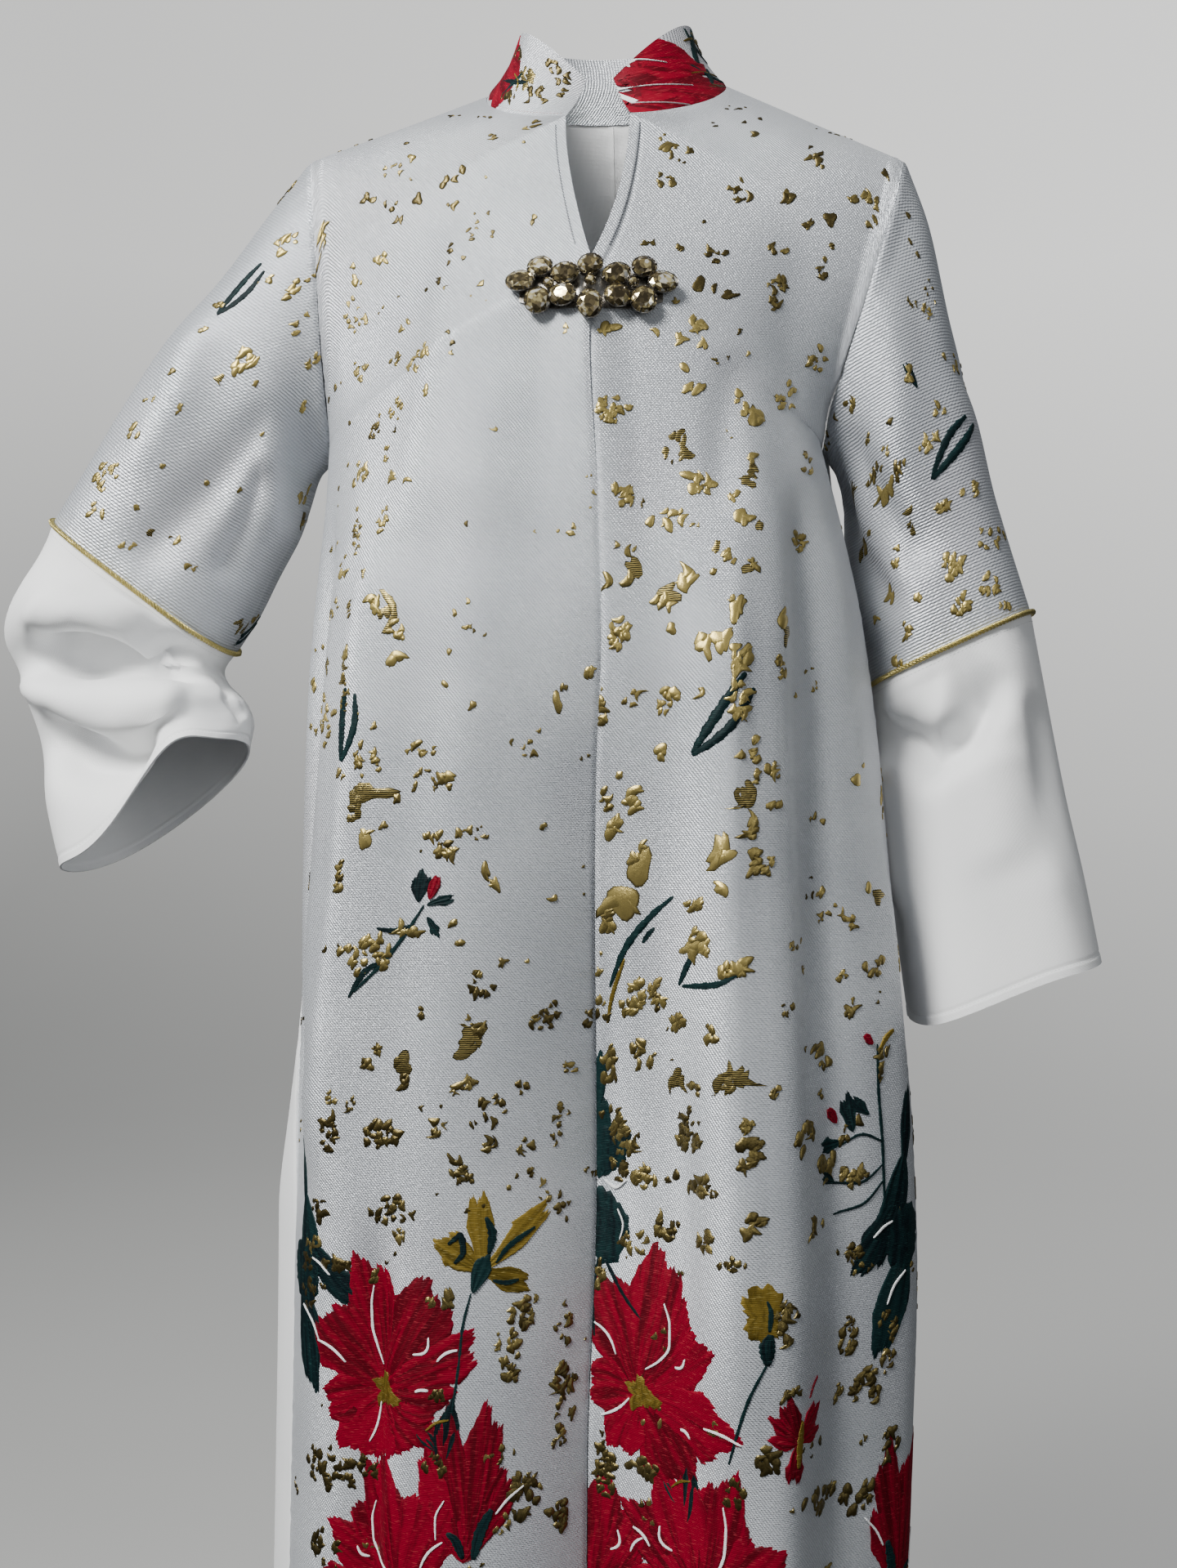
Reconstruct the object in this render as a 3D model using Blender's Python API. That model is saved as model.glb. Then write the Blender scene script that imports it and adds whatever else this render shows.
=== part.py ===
"""Full-length A-line kaftan, worn: jacquard front and upper sleeves, plain back and bell cuffs.

Metres, +Z up. The wearer's front faces -Y, and left and right are the wearer's.
The origin is the middle of the shoulder line, level with the side of the neck.
A "drop" is a height below the origin, and "out" is a distance from the middle plane.
Every piece of cloth is a wall between an outer grid of points and the same grid moved inwards.
"""
from collections import namedtuple
import math

import bpy
import numpy as np

# Cloth
WALL = 0.0018
SEAM_GAP = 0.0003
BLUNTEST_MITRE = 0.80
RIM_ORDER = (0.11, 0.37, 1.0)
SHARP_ANGLE = 40
HEM_DROP = 1.400

# Rows and columns of the grids
ARMHOLE_ROWS = 11
NECK_ROWS = 5
SKIRT_ROWS = 22
LAST_ROW = ARMHOLE_ROWS + SKIRT_ROWS
FRONT_COLUMNS = 12
BACK_NECK_COLUMNS = 3
BACK_SHOULDER_COLUMNS = 9
BACK_COLUMNS = BACK_NECK_COLUMNS + BACK_SHOULDER_COLUMNS
RING_COLUMNS = 2 * ARMHOLE_ROWS
SLEEVE_ROWS = 9
CUFF_ROWS = 12
COLLAR_ROWS = 3

# Neck
NECK_SIDE_OUT = 0.0835
NECK_SIDE_FRONT = 0.004
NECK_FRONT_DROP = 0.042
NECK_BACK_RISE = 0.004
NECK_BACK_DEPTH = 0.062

# Keyhole slit, from the neck down to the top of the centre seam
KEYHOLE_HALF_TOP = 0.0212
KEYHOLE_DROP = 0.150
KEYHOLE_BOW = {"right": 1.6, "left": 2.3}

# Collar: top edge, level with each of the neck's own points
COLLAR_FRONT_OUT = 0.0090
COLLAR_FRONT_DEPTH = 0.050
COLLAR_FRONT_DROP = 0.012
COLLAR_SIDE_OUT = 0.0600
COLLAR_SIDE_RISE = 0.040
COLLAR_BACK_DEPTH = 0.050
COLLAR_BACK_RISE = 0.046
COLLAR_HOLLOW = 0.004

# Back: where its armhole rows end at the middle, and how it settles under the shoulder seam
BACK_PIT_DROP = 0.196
BACK_ROW_GROWTH = 1.2
SHOULDER_SETTLE_ROWS = 6
SHOULDER_RIDGE = 0.0065
RIDGE_RISE_ROWS = 1.2
RIDGE_FALL_ROWS = 4

Profile = namedtuple("Profile", "drop front centre back")
PROFILE = [
    Profile(-0.010, 0.052, 0.000, 0.061),
    Profile(0.042, 0.066, 0.000, 0.077),
    Profile(0.080, 0.084, 0.000, 0.088),
    Profile(0.120, 0.100, 0.000, 0.095),
    Profile(0.150, 0.111, 0.000, 0.099),
    Profile(0.200, 0.122, 0.000, 0.101),
    Profile(0.310, 0.130, 0.006, 0.094),
    Profile(0.390, 0.131, 0.008, 0.087),
    Profile(0.470, 0.132, 0.004, 0.088),
    Profile(0.540, 0.135, 0.002, 0.094),
    Profile(0.620, 0.139, 0.001, 0.104),
    Profile(0.750, 0.147, 0.001, 0.112),
    Profile(0.920, 0.158, -0.004, 0.121),
    Profile(1.400, 0.176, -0.004, 0.140),
]

# Side seams: the section's widest point lies at a turn of 90 degrees from the centre front
Side = namedtuple("Side", "drop out depth turn")
SIDE_SEAMS = {
    "right": [
        Side(0.250, 0.1915, 0.000, 88),
        Side(0.292, 0.1945, -0.005, 88),
        Side(0.352, 0.2015, -0.010, 88),
        Side(0.418, 0.2070, -0.012, 88),
        Side(0.500, 0.2100, -0.012, 88),
        Side(0.600, 0.2120, -0.016, 86),
        Side(0.700, 0.2085, -0.048, 71),
        Side(0.780, 0.2025, -0.066, 62),
        Side(0.940, 0.2060, -0.065, 63),
        Side(1.400, 0.2180, -0.060, 64),
    ],
    "left": [
        Side(0.254, 0.1480, 0.000, 88),
        Side(0.315, 0.1635, -0.006, 88),
        Side(0.372, 0.1755, -0.010, 88),
        Side(0.461, 0.1870, -0.010, 88),
        Side(0.524, 0.1925, -0.010, 88),
        Side(0.644, 0.2035, -0.010, 88),
        Side(0.717, 0.2095, -0.010, 88),
        Side(0.811, 0.2125, -0.010, 88),
        Side(0.954, 0.2080, -0.010, 88),
        Side(1.010, 0.2055, -0.010, 88),
        Side(1.400, 0.2140, -0.010, 88),
    ],
}

# Armholes: an oval loop, whose turn runs from the shoulder tip by the front to the armpit
Armhole = namedtuple("Armhole", "tip_drop pit_drop front back")
ARMHOLES = {
    "right": Armhole(0.0420, 0.250, 0.050, 0.056),
    "left": Armhole(0.0575, 0.254, 0.054, 0.056),
}
ArmholeEdge = namedtuple("ArmholeEdge", "turn front_out back_out")
ARMHOLE_EDGES = {
    "right": [
        ArmholeEdge(0, 0.2115, 0.2115),
        ArmholeEdge(45, 0.2020, 0.2080),
        ArmholeEdge(90, 0.1935, 0.2010),
        ArmholeEdge(135, 0.1910, 0.1960),
        ArmholeEdge(180, 0.1915, 0.1915),
    ],
    "left": [
        ArmholeEdge(0, 0.2065, 0.2065),
        ArmholeEdge(45, 0.1980, 0.2030),
        ArmholeEdge(90, 0.1775, 0.1900),
        ArmholeEdge(120, 0.1620, 0.1760),
        ArmholeEdge(145, 0.1515, 0.1610),
        ArmholeEdge(180, 0.1480, 0.1480),
    ],
}

# How a row bends between its ends: the turn of its oval, how flat it stays at the middle, and
# how early it drops, so that it runs level into the armpit
Bend = namedtuple("Bend", "row front_turn back_turn flatness droop")
BENDS = [
    Bend(0, 1, 60, 1.00, 1.00),
    Bend(2, 45, 64, 1.05, 1.00),
    Bend(6, 70, 74, 1.15, 1.15),
    Bend(ARMHOLE_ROWS, 88, 92, 1.35, 1.90),
    Bend(18, 88, 92, 1.22, 1.40),
    Bend(LAST_ROW, 88, 92, 1.05, 1.00),
]

# Soft folds of the body: a path in drop and across (0 centre, 1 side), positive depth stands out
Fold = namedtuple("Fold", "panel top top_at middle middle_at low low_at width depth")
FOLDS = [
    Fold("front_right", 0.08, 0.66, 0.17, 0.62, 0.28, 0.52, 0.130, -0.0050),
    Fold("front_right", 0.25, 0.54, 0.48, 0.61, 0.78, 0.80, 0.080, 0.0080),
    Fold("front_right", 0.27, 0.76, 0.47, 0.79, 0.72, 0.90, 0.065, -0.0110),
    Fold("front_right", 0.44, 0.17, 0.80, 0.16, 1.50, 0.18, 0.085, -0.0070),
    Fold("front_right", 0.58, 0.38, 0.95, 0.40, 1.50, 0.38, 0.090, 0.0090),
    Fold("front_right", 0.74, 0.60, 1.00, 0.62, 1.50, 0.61, 0.070, -0.0100),
    Fold("front_left", 0.09, 0.60, 0.17, 0.64, 0.28, 0.72, 0.120, -0.0045),
    Fold("front_left", 0.24, 0.45, 0.56, 0.38, 1.50, 0.42, 0.070, 0.0075),
    Fold("front_left", 0.28, 0.62, 0.60, 0.56, 1.50, 0.60, 0.075, -0.0095),
    Fold("front_left", 0.48, 0.78, 0.90, 0.77, 1.50, 0.79, 0.075, 0.0080),
    Fold("front_left", 0.60, 0.20, 0.95, 0.19, 1.50, 0.21, 0.070, -0.0050),
    Fold("back", 0.30, -0.62, 0.70, -0.60, 1.50, -0.63, 0.080, -0.0110),
    Fold("back", 0.36, -0.36, 0.75, -0.38, 1.50, -0.36, 0.075, 0.0090),
    Fold("back", 0.26, -0.10, 0.70, -0.13, 1.50, -0.15, 0.085, -0.0120),
    Fold("back", 0.40, 0.13, 0.80, 0.12, 1.50, 0.10, 0.080, 0.0080),
    Fold("back", 0.30, 0.37, 0.72, 0.36, 1.50, 0.38, 0.075, -0.0115),
    Fold("back", 0.42, 0.66, 0.85, 0.62, 1.50, 0.64, 0.080, 0.0090),
]
FOLD_EASE = 0.10
EDGE_EASE = 0.10

# Sleeves and cuffs: rings through an outer and an inner point, at their place along the tube
Ring = namedtuple("Ring", "along outer_out outer_drop inner_out inner_drop middle depth lift")
SLEEVES = {
    "left": [
        Ring(0.00, 0.2065, 0.0575, 0.1480, 0.2540, 0.000, 0.056, 0.000),
        Ring(0.17, 0.2225, 0.1000, 0.1590, 0.2700, 0.007, 0.062, 0.000),
        Ring(0.38, 0.2380, 0.1710, 0.1650, 0.2910, 0.018, 0.068, 0.000),
        Ring(0.58, 0.2555, 0.2290, 0.1670, 0.3160, 0.029, 0.072, 0.000),
        Ring(0.79, 0.2730, 0.2950, 0.1710, 0.3560, 0.038, 0.075, 0.000),
        Ring(1.00, 0.2945, 0.3640, 0.1830, 0.4150, 0.043, 0.077, 0.002),
    ],
    "right": [
        Ring(0.00, 0.2115, 0.0420, 0.1915, 0.2500, 0.000, 0.054, 0.000),
        Ring(0.16, 0.2400, 0.0780, 0.2080, 0.2650, 0.002, 0.058, 0.000),
        Ring(0.34, 0.2740, 0.1250, 0.2170, 0.2830, 0.004, 0.060, 0.000),
        Ring(0.50, 0.3100, 0.1640, 0.2260, 0.3060, 0.006, 0.059, 0.000),
        Ring(0.68, 0.3460, 0.2130, 0.2415, 0.3340, 0.009, 0.058, 0.000),
        Ring(0.84, 0.3740, 0.2560, 0.2570, 0.3630, 0.011, 0.057, 0.000),
        Ring(1.00, 0.3985, 0.2920, 0.2735, 0.3870, 0.012, 0.056, 0.000),
    ],
}
CUFFS = {
    "left": [
        Ring(0.00, 0.2945, 0.3640, 0.1830, 0.4150, 0.043, 0.077, 0.002),
        Ring(0.33, 0.3085, 0.4415, 0.1920, 0.4850, 0.041, 0.079, 0.003),
        Ring(0.55, 0.3175, 0.4920, 0.1975, 0.5350, 0.038, 0.081, 0.003),
        Ring(0.78, 0.3285, 0.5450, 0.2040, 0.5900, 0.034, 0.083, 0.003),
        Ring(1.00, 0.3385, 0.6030, 0.2110, 0.6450, 0.029, 0.085, 0.004),
    ],
    "right": [
        Ring(0.00, 0.3985, 0.2920, 0.2735, 0.3870, 0.012, 0.056, 0.000),
        Ring(0.16, 0.4135, 0.3400, 0.2830, 0.3990, 0.010, 0.060, 0.002),
        Ring(0.30, 0.4335, 0.3840, 0.2770, 0.4080, 0.007, 0.060, 0.003),
        Ring(0.42, 0.4185, 0.4120, 0.2660, 0.4170, 0.000, 0.061, 0.003),
        Ring(0.56, 0.4035, 0.4460, 0.2580, 0.4260, -0.007, 0.062, 0.003),
        Ring(0.78, 0.3900, 0.4960, 0.2520, 0.4380, -0.018, 0.063, 0.003),
        Ring(1.00, 0.3725, 0.5440, 0.2525, 0.4520, -0.030, 0.064, 0.003),
    ],
}
SLEEVE_BLEND = 0.55

# Soft creases of the tubes: turn 0 is the outer side, 90 the front, 180 by the body
Crease = namedtuple("Crease", "piece turn turn_width along along_width skew depth")
CREASES = [
    Crease("sleeve_left", 62, 20, 0.28, 0.30, -10, -0.0045),
    Crease("sleeve_left", 105, 24, 0.55, 0.34, 15, 0.0045),
    Crease("sleeve_left", 140, 20, 0.75, 0.26, 20, -0.0060),
    Crease("sleeve_left", 250, 26, 0.60, 0.34, -15, -0.0060),
    Crease("sleeve_right", 150, 26, 0.22, 0.16, 60, -0.0080),
    Crease("sleeve_right", 168, 24, 0.42, 0.14, -40, 0.0060),
    Crease("sleeve_right", 120, 30, 0.62, 0.20, 70, -0.0060),
    Crease("sleeve_right", 70, 30, 0.78, 0.20, -60, 0.0040),
    Crease("sleeve_right", 262, 28, 0.50, 0.30, 30, -0.0060),
    Crease("cuff_left", 120, 34, 0.16, 0.12, 40, -0.0060),
    Crease("cuff_left", 78, 22, 0.24, 0.14, -50, 0.0060),
    Crease("cuff_left", 40, 16, 0.55, 0.45, 0, -0.0050),
    Crease("cuff_left", 235, 26, 0.45, 0.40, 20, -0.0070),
    Crease("cuff_left", 292, 24, 0.70, 0.40, -10, 0.0050),
    Crease("cuff_right", 80, 62, 0.19, 0.090, 0, 0.0140),
    Crease("cuff_right", 76, 54, 0.37, 0.075, 0, -0.0220),
    Crease("cuff_right", 58, 32, 0.62, 0.110, 0, -0.0120),
    Crease("cuff_right", 110, 30, 0.56, 0.120, 0, 0.0080),
    Crease("cuff_right", 150, 26, 0.72, 0.200, 0, -0.0060),
    Crease("cuff_right", 250, 40, 0.34, 0.120, 0, -0.0090),
]
CREASE_EASE = 0.08

# Waves of the cuffs' hems: how far a stretch of the hem is lifted, fading out up the cuff
HemWave = namedtuple("HemWave", "side turn turn_width rise")
HEM_WAVES = [
    HemWave("right", 70, 30, -0.012),
    HemWave("right", 122, 28, 0.016),
    HemWave("right", 265, 50, -0.006),
    HemWave("left", 70, 34, 0.004),
    HemWave("left", 150, 30, -0.004),
]

# Braided piping over the seam between sleeve and cuff
PIPING_RADIUS = 0.0018
PIPING_SIDES = 6

# Brooch: where its middle lies, its plate, its cups and its stones (sizes in millimetres)
MM = 0.001
BROOCH_DROP = 0.1735
BROOCH_MIDDLE = 0.0
PLATE_CLEARANCE = 0.0003
PLATE_THICKNESS = 0.0012
PLATE_COLUMNS = 12
PLATE_HALF_LENGTH = 0.0445
PLATE_HALF_HEIGHT = 0.0120
PLATE_TAPER = 0.45
CUP_SIDES = 12
CUP_SINK = 0.0006
CUP_FOOT = 0.72
STONE_CLEARANCE = 0.0003
StoneLevel = namedtuple("StoneLevel", "crown_share size_share")
STONE_LEVELS = [
    StoneLevel(0.00, 0.985),
    StoneLevel(0.25, 0.985),
    StoneLevel(0.68, 0.810),
    StoneLevel(1.00, 0.450),
]
Stone = namedtuple("Stone", "name across up width height tilt cup crown")
STONES = [
    Stone("upper_1", -31.6, 13.8, 15.0, 13.0, 0, 4.0, 3.4),
    Stone("upper_2", 0.6, 15.2, 15.0, 13.0, 0, 4.0, 3.4),
    Stone("upper_3", 32.4, 14.2, 15.4, 13.2, 20, 4.0, 3.4),
    Stone("side_1", -44.2, 4.4, 17.5, 13.6, -6, 4.0, 3.6),
    Stone("side_2", 44.4, 4.2, 18.0, 13.8, 10, 4.0, 3.6),
    Stone("inner_1", -15.4, 8.8, 16.4, 13.4, 0, 4.4, 3.8),
    Stone("inner_2", 15.8, 8.6, 16.8, 13.2, 22, 4.4, 3.8),
    Stone("centre_1", -26.2, 3.0, 6.4, 6.4, 0, 4.6, 2.4),
    Stone("centre_2", 0.2, 3.2, 6.8, 6.8, 0, 4.6, 2.4),
    Stone("centre_3", 26.4, 3.0, 6.4, 6.4, 0, 4.6, 2.4),
    Stone("lower_1", -33.4, -8.0, 15.6, 15.8, 0, 4.0, 3.6),
    Stone("lower_2", -16.4, -5.6, 16.4, 13.8, 0, 4.4, 3.8),
    Stone("lower_3", -0.2, -12.6, 14.6, 17.6, 0, 4.0, 3.6),
    Stone("lower_4", 16.2, -5.8, 16.2, 14.0, 0, 4.4, 3.8),
    Stone("lower_5", 33.2, -8.0, 15.6, 16.0, 0, 4.0, 3.6),
]

SIDES = {"right": -1, "left": 1}

# Search for the place of a front that lies at a given out and drop
SEARCH_HALF_WIDTH = 0.25
SEARCH_STEP = 1e-4
SEARCH_ROUNDS = 12

Finish = namedtuple("Finish", "color roughness metallic")
FINISHES = {
    "jacquard": Finish((0.60, 0.63, 0.68, 1.0), 0.42, 0.0),
    "plain_white": Finish((0.83, 0.84, 0.85, 1.0), 0.55, 0.0),
    "collar_print": Finish((0.42, 0.03, 0.06, 1.0), 0.50, 0.0),
    "gold_braid": Finish((0.42, 0.31, 0.10, 1.0), 0.32, 0.9),
    "dark_silver": Finish((0.16, 0.15, 0.14, 1.0), 0.30, 1.0),
    "champagne_glass": Finish((0.62, 0.52, 0.30, 1.0), 0.08, 0.3),
}


def clear_scene():
    """Removes whatever the scene holds."""
    for obj in list(bpy.data.objects):
        bpy.data.objects.remove(obj, do_unlink=True)


def unit(vectors):
    """Vectors scaled to a length of one."""
    return vectors / np.linalg.norm(vectors, axis=-1, keepdims=True)


def smooth_between(at, stations, values):
    """Values at the points 'at' of a smooth curve through a column, with no overshoot."""
    stations = np.asarray(stations, float)
    values = np.asarray(values, float)
    rise = np.diff(values) / np.diff(stations)
    slope = np.zeros_like(values)
    product = rise[1:] * rise[:-1]
    total = np.where(product > 0, rise[1:] + rise[:-1], 1.0)
    slope[1:-1] = np.where(product > 0, 2 * product / total, 0.0)
    slope[0] = rise[0]
    slope[-1] = rise[-1]
    at = np.clip(at, stations[0], stations[-1])
    cell = np.clip(np.searchsorted(stations, at, side="right") - 1, 0, len(rise) - 1)
    step = stations[cell + 1] - stations[cell]
    t = (at - stations[cell]) / step
    start = values[cell] * (1 + 2 * t) * (1 - t) ** 2 + slope[cell] * step * t * (1 - t) ** 2
    end = values[cell + 1] * t * t * (3 - 2 * t) + slope[cell + 1] * step * t * t * (t - 1)
    return start + end


def read(table, at, column):
    """A table's column, read smoothly at any place of its first column."""
    return smooth_between(at, [row[0] for row in table], [getattr(row, column) for row in table])


def ease(value):
    """A soft step from 0 to 1."""
    value = np.clip(value, 0.0, 1.0)
    return value * value * (3 - 2 * value)


def xyz(x, y, z):
    """Points from three arrays or numbers."""
    return np.stack(np.broadcast_arrays(x, y, z), axis=-1).astype(float)


def neck_front(side, row):
    """Neck edge from the side of the neck (row 0) to the corner of the keyhole."""
    turn = math.pi / 2 * row / NECK_ROWS
    corner_depth = read(PROFILE, np.full_like(turn, NECK_FRONT_DROP), "front")
    out = KEYHOLE_HALF_TOP + (NECK_SIDE_OUT - KEYHOLE_HALF_TOP) * np.cos(turn)
    depth = NECK_SIDE_FRONT + (corner_depth - NECK_SIDE_FRONT) * np.sin(turn)
    return xyz(SIDES[side] * out, -depth, -NECK_FRONT_DROP * np.sin(turn))


def keyhole_edge(side, row):
    """Edge of the keyhole, from the neck to the top of the centre seam."""
    share = (row - NECK_ROWS) / (ARMHOLE_ROWS - NECK_ROWS)
    drop = NECK_FRONT_DROP + (KEYHOLE_DROP - NECK_FRONT_DROP) * share
    half = KEYHOLE_HALF_TOP * (1 - np.clip(share, 0, 1) ** KEYHOLE_BOW[side])
    return xyz(SIDES[side] * half, -read(PROFILE, drop, "front"), -drop)


def centre_front(row):
    """Centre seam, from the keyhole to the hem."""
    share = (row - ARMHOLE_ROWS) / SKIRT_ROWS
    drop = KEYHOLE_DROP + (HEM_DROP - KEYHOLE_DROP) * share
    return xyz(read(PROFILE, drop, "centre"), -read(PROFILE, drop, "front"), -drop)


def front_inner_edge(side, row):
    """Inner edge of a front: the neck, then the keyhole, then the centre seam."""
    below_neck = np.where((row > NECK_ROWS)[..., None], keyhole_edge(side, row),
                          neck_front(side, np.minimum(row, NECK_ROWS)))
    return np.where((row > ARMHOLE_ROWS)[..., None],
                    centre_front(np.maximum(row, ARMHOLE_ROWS)), below_neck)


def centre_back(row):
    """Middle line of the back, from the neck to the hem."""
    upper = (np.minimum(row, ARMHOLE_ROWS) / ARMHOLE_ROWS) ** BACK_ROW_GROWTH
    lower = np.maximum(row - ARMHOLE_ROWS, 0) / SKIRT_ROWS
    drop = (-NECK_BACK_RISE + (BACK_PIT_DROP + NECK_BACK_RISE) * upper
            + (HEM_DROP - BACK_PIT_DROP) * lower)
    return xyz(0.0, read(PROFILE, drop, "back"), -drop)


def armhole_edge(side, turn, face):
    """Point of an armhole loop; the turn is in radians from the shoulder tip to the armpit."""
    hole = ARMHOLES[side]
    middle = (hole.tip_drop + hole.pit_drop) / 2
    half = (hole.pit_drop - hole.tip_drop) / 2
    out = read(ARMHOLE_EDGES[side], np.degrees(turn), face + "_out")
    depth = hole.back if face == "back" else -hole.front
    return xyz(SIDES[side] * out, depth * np.sin(turn), -(middle - half * np.cos(turn)))


def outer_edge(side, row, face):
    """Outer edge of a body panel: the armhole, then the side seam."""
    turn = math.pi * np.minimum(row, ARMHOLE_ROWS) / ARMHOLE_ROWS
    upper = armhole_edge(side, turn, face)
    share = np.maximum(row - ARMHOLE_ROWS, 0) / SKIRT_ROWS
    pit = ARMHOLES[side].pit_drop
    drop = pit + (HEM_DROP - pit) * share
    seam = SIDE_SEAMS[side]
    lower = xyz(SIDES[side] * read(seam, drop, "out"), read(seam, drop, "depth"), -drop)
    return np.where((row > ARMHOLE_ROWS)[..., None], lower, upper)


def side_turn(side, row):
    """Turn of a front's oval where it reaches its outer edge, in degrees."""
    share = np.maximum(row - ARMHOLE_ROWS, 0) / SKIRT_ROWS
    pit = ARMHOLES[side].pit_drop
    lower = read(SIDE_SEAMS[side], pit + (HEM_DROP - pit) * share, "turn")
    return np.where(row > ARMHOLE_ROWS, lower, read(BENDS, row, "front_turn"))


def oval_row(inner, outer, turn, across, flatness, droop):
    """Points of a row: an arc of an oval from its inner to its outer end."""
    angle = np.radians(turn)
    sideways = np.sin(angle * across) / np.sin(angle)
    inwards = ((1 - np.cos(angle * across)) / (1 - np.cos(angle))) ** flatness
    step = outer - inner
    return np.stack([inner[..., 0] + step[..., 0] * sideways,
                     inner[..., 1] + step[..., 1] * inwards,
                     inner[..., 2] + step[..., 2] * (1 - (1 - across) ** droop)], axis=-1)


def fold_depth(panel, across, drop):
    """How far the soft folds move a panel in or out."""
    total = np.zeros(np.broadcast(across, drop).shape)
    for fold in FOLDS:
        if fold.panel != panel:
            continue
        path = smooth_between(drop, (fold.top, fold.middle, fold.low),
                              (fold.top_at, fold.middle_at, fold.low_at))
        fade = ease((drop - fold.top) / FOLD_EASE) * ease((fold.low - drop) / FOLD_EASE)
        total += fold.depth * fade * np.exp(-((across - path) / fold.width) ** 2)
    return total


def push_folds(points, panel, across, facing):
    """Moves a panel's points in and out level with the ground, calm near the side edges."""
    distance = np.abs(across)
    calm = ease((1 - distance) / EDGE_EASE)
    if panel != "back":
        calm = calm * ease(distance / EDGE_EASE)
    depth = calm * fold_depth(panel, across, -points[..., 2])
    return points + facing * depth[..., None]


def level_facing(side, across):
    """Outward direction, level with the ground, at a share of the way round to the side."""
    angle = across * math.pi / 2
    return xyz(SIDES[side] * np.sin(angle), -np.cos(angle), 0.0)


def front_surface(side, across, row):
    """Outer surface of a front; across runs from its inner edge (0) to its outer edge (1)."""
    points = oval_row(front_inner_edge(side, row), outer_edge(side, row, "front"),
                      side_turn(side, row), across, read(BENDS, row, "flatness"),
                      read(BENDS, row, "droop"))
    return push_folds(points, "front_" + side, across, level_facing(side, across))


def shoulder_seam(side, share):
    """Straight seam from the side of the neck to the shoulder tip."""
    neck = neck_front(side, np.zeros(()))
    tip = armhole_edge(side, np.zeros(()), "front")
    return neck + (tip - neck) * np.asarray(share, float)[..., None]


def back_neck(side, share):
    """Back neck edge from the middle to the side of the neck."""
    turn = np.asarray(share, float) * math.pi / 2
    depth = -NECK_SIDE_FRONT + (NECK_BACK_DEPTH + NECK_SIDE_FRONT) * np.cos(turn)
    return xyz(SIDES[side] * NECK_SIDE_OUT * np.sin(turn), depth, NECK_BACK_RISE * np.cos(turn))


def back_half(side, across, row):
    """Outer surface of half of the back; across runs from the middle (0) to the side (1)."""
    neck_share = BACK_NECK_COLUMNS / BACK_COLUMNS
    turn = np.where(row > ARMHOLE_ROWS, 180 - side_turn(side, row),
                    read(BENDS, row, "back_turn"))
    flat = np.ones_like(row)
    points = oval_row(centre_back(row), outer_edge(side, row, "back"), turn, across, flat,
                      read(BENDS, row, "droop"))
    top = np.zeros_like(row)
    plain_top = oval_row(centre_back(top), outer_edge(side, top, "back"),
                         read(BENDS, top, "back_turn"), across, flat, flat)
    beyond = np.clip((across - neck_share) / (1 - neck_share), 0, 1)
    real_top = np.where((across < neck_share)[..., None],
                        back_neck(side, np.clip(across / neck_share, 0, 1)),
                        shoulder_seam(side, beyond))
    settle = 1 - ease(row / SHOULDER_SETTLE_ROWS)
    points = points + settle[..., None] * (real_top - plain_top)
    rise = ease(row / RIDGE_RISE_ROWS) * (1 - ease((row - 1) / RIDGE_FALL_ROWS))
    points[..., 2] += SHOULDER_RIDGE * np.sin(math.pi * beyond) * rise
    facing = level_facing(side, across) * (1, -1, 1)
    return push_folds(points, "back", SIDES[side] * across, facing)


def ring_axis(side, table, along):
    """Middle of a tube's ring, its half width vector and its half depth vector."""
    values = {name: read(table, along, name) for name in Ring._fields[1:]}
    outer = xyz(values["outer_out"], 0.0, -values["outer_drop"])
    inner = xyz(values["inner_out"], 0.0, -values["inner_drop"])
    middle = (outer + inner) / 2
    middle[..., 1] = values["middle"]
    near = xyz(0.0, -values["depth"], values["lift"])
    mirror = (SIDES[side], 1, 1)
    return middle * mirror, (outer - inner) / 2 * mirror, near


def ring_points(side, table, turn, along):
    """Points of a tube: an oval ring; turn 0 is its outer side and a quarter turn its front."""
    middle, half, near = ring_axis(side, table, along)
    return middle + half * np.cos(turn)[..., None] + near * np.sin(turn)[..., None]


def crease_depth(piece, turn, along):
    """How far the soft creases move a tube in or out."""
    total = np.zeros(np.broadcast(turn, along).shape)
    degrees = np.degrees(turn)
    for crease in CREASES:
        if crease.piece != piece:
            continue
        away = degrees - crease.turn - crease.skew * (along - crease.along)
        away = (away + 180) % 360 - 180
        total += crease.depth * np.exp(-(away / crease.turn_width) ** 2
                                       - ((along - crease.along) / crease.along_width) ** 2)
    return total


def push_creases(points, side, table, piece, turn, along, calm):
    """Moves a tube's points out from its middle by the depth of its creases."""
    middle = ring_axis(side, table, along)[0]
    outwards = unit(ring_points(side, table, turn, along) - middle)
    return points + outwards * (calm * crease_depth(piece, turn, along))[..., None]


def armhole_loop(side, turn):
    """Point of the whole armhole; half a turn by the front reaches the armpit."""
    around = np.arccos(np.clip(np.cos(turn), -1, 1))
    return np.where((np.sin(turn) >= 0)[..., None], armhole_edge(side, around, "front"),
                    armhole_edge(side, around, "back"))


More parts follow.
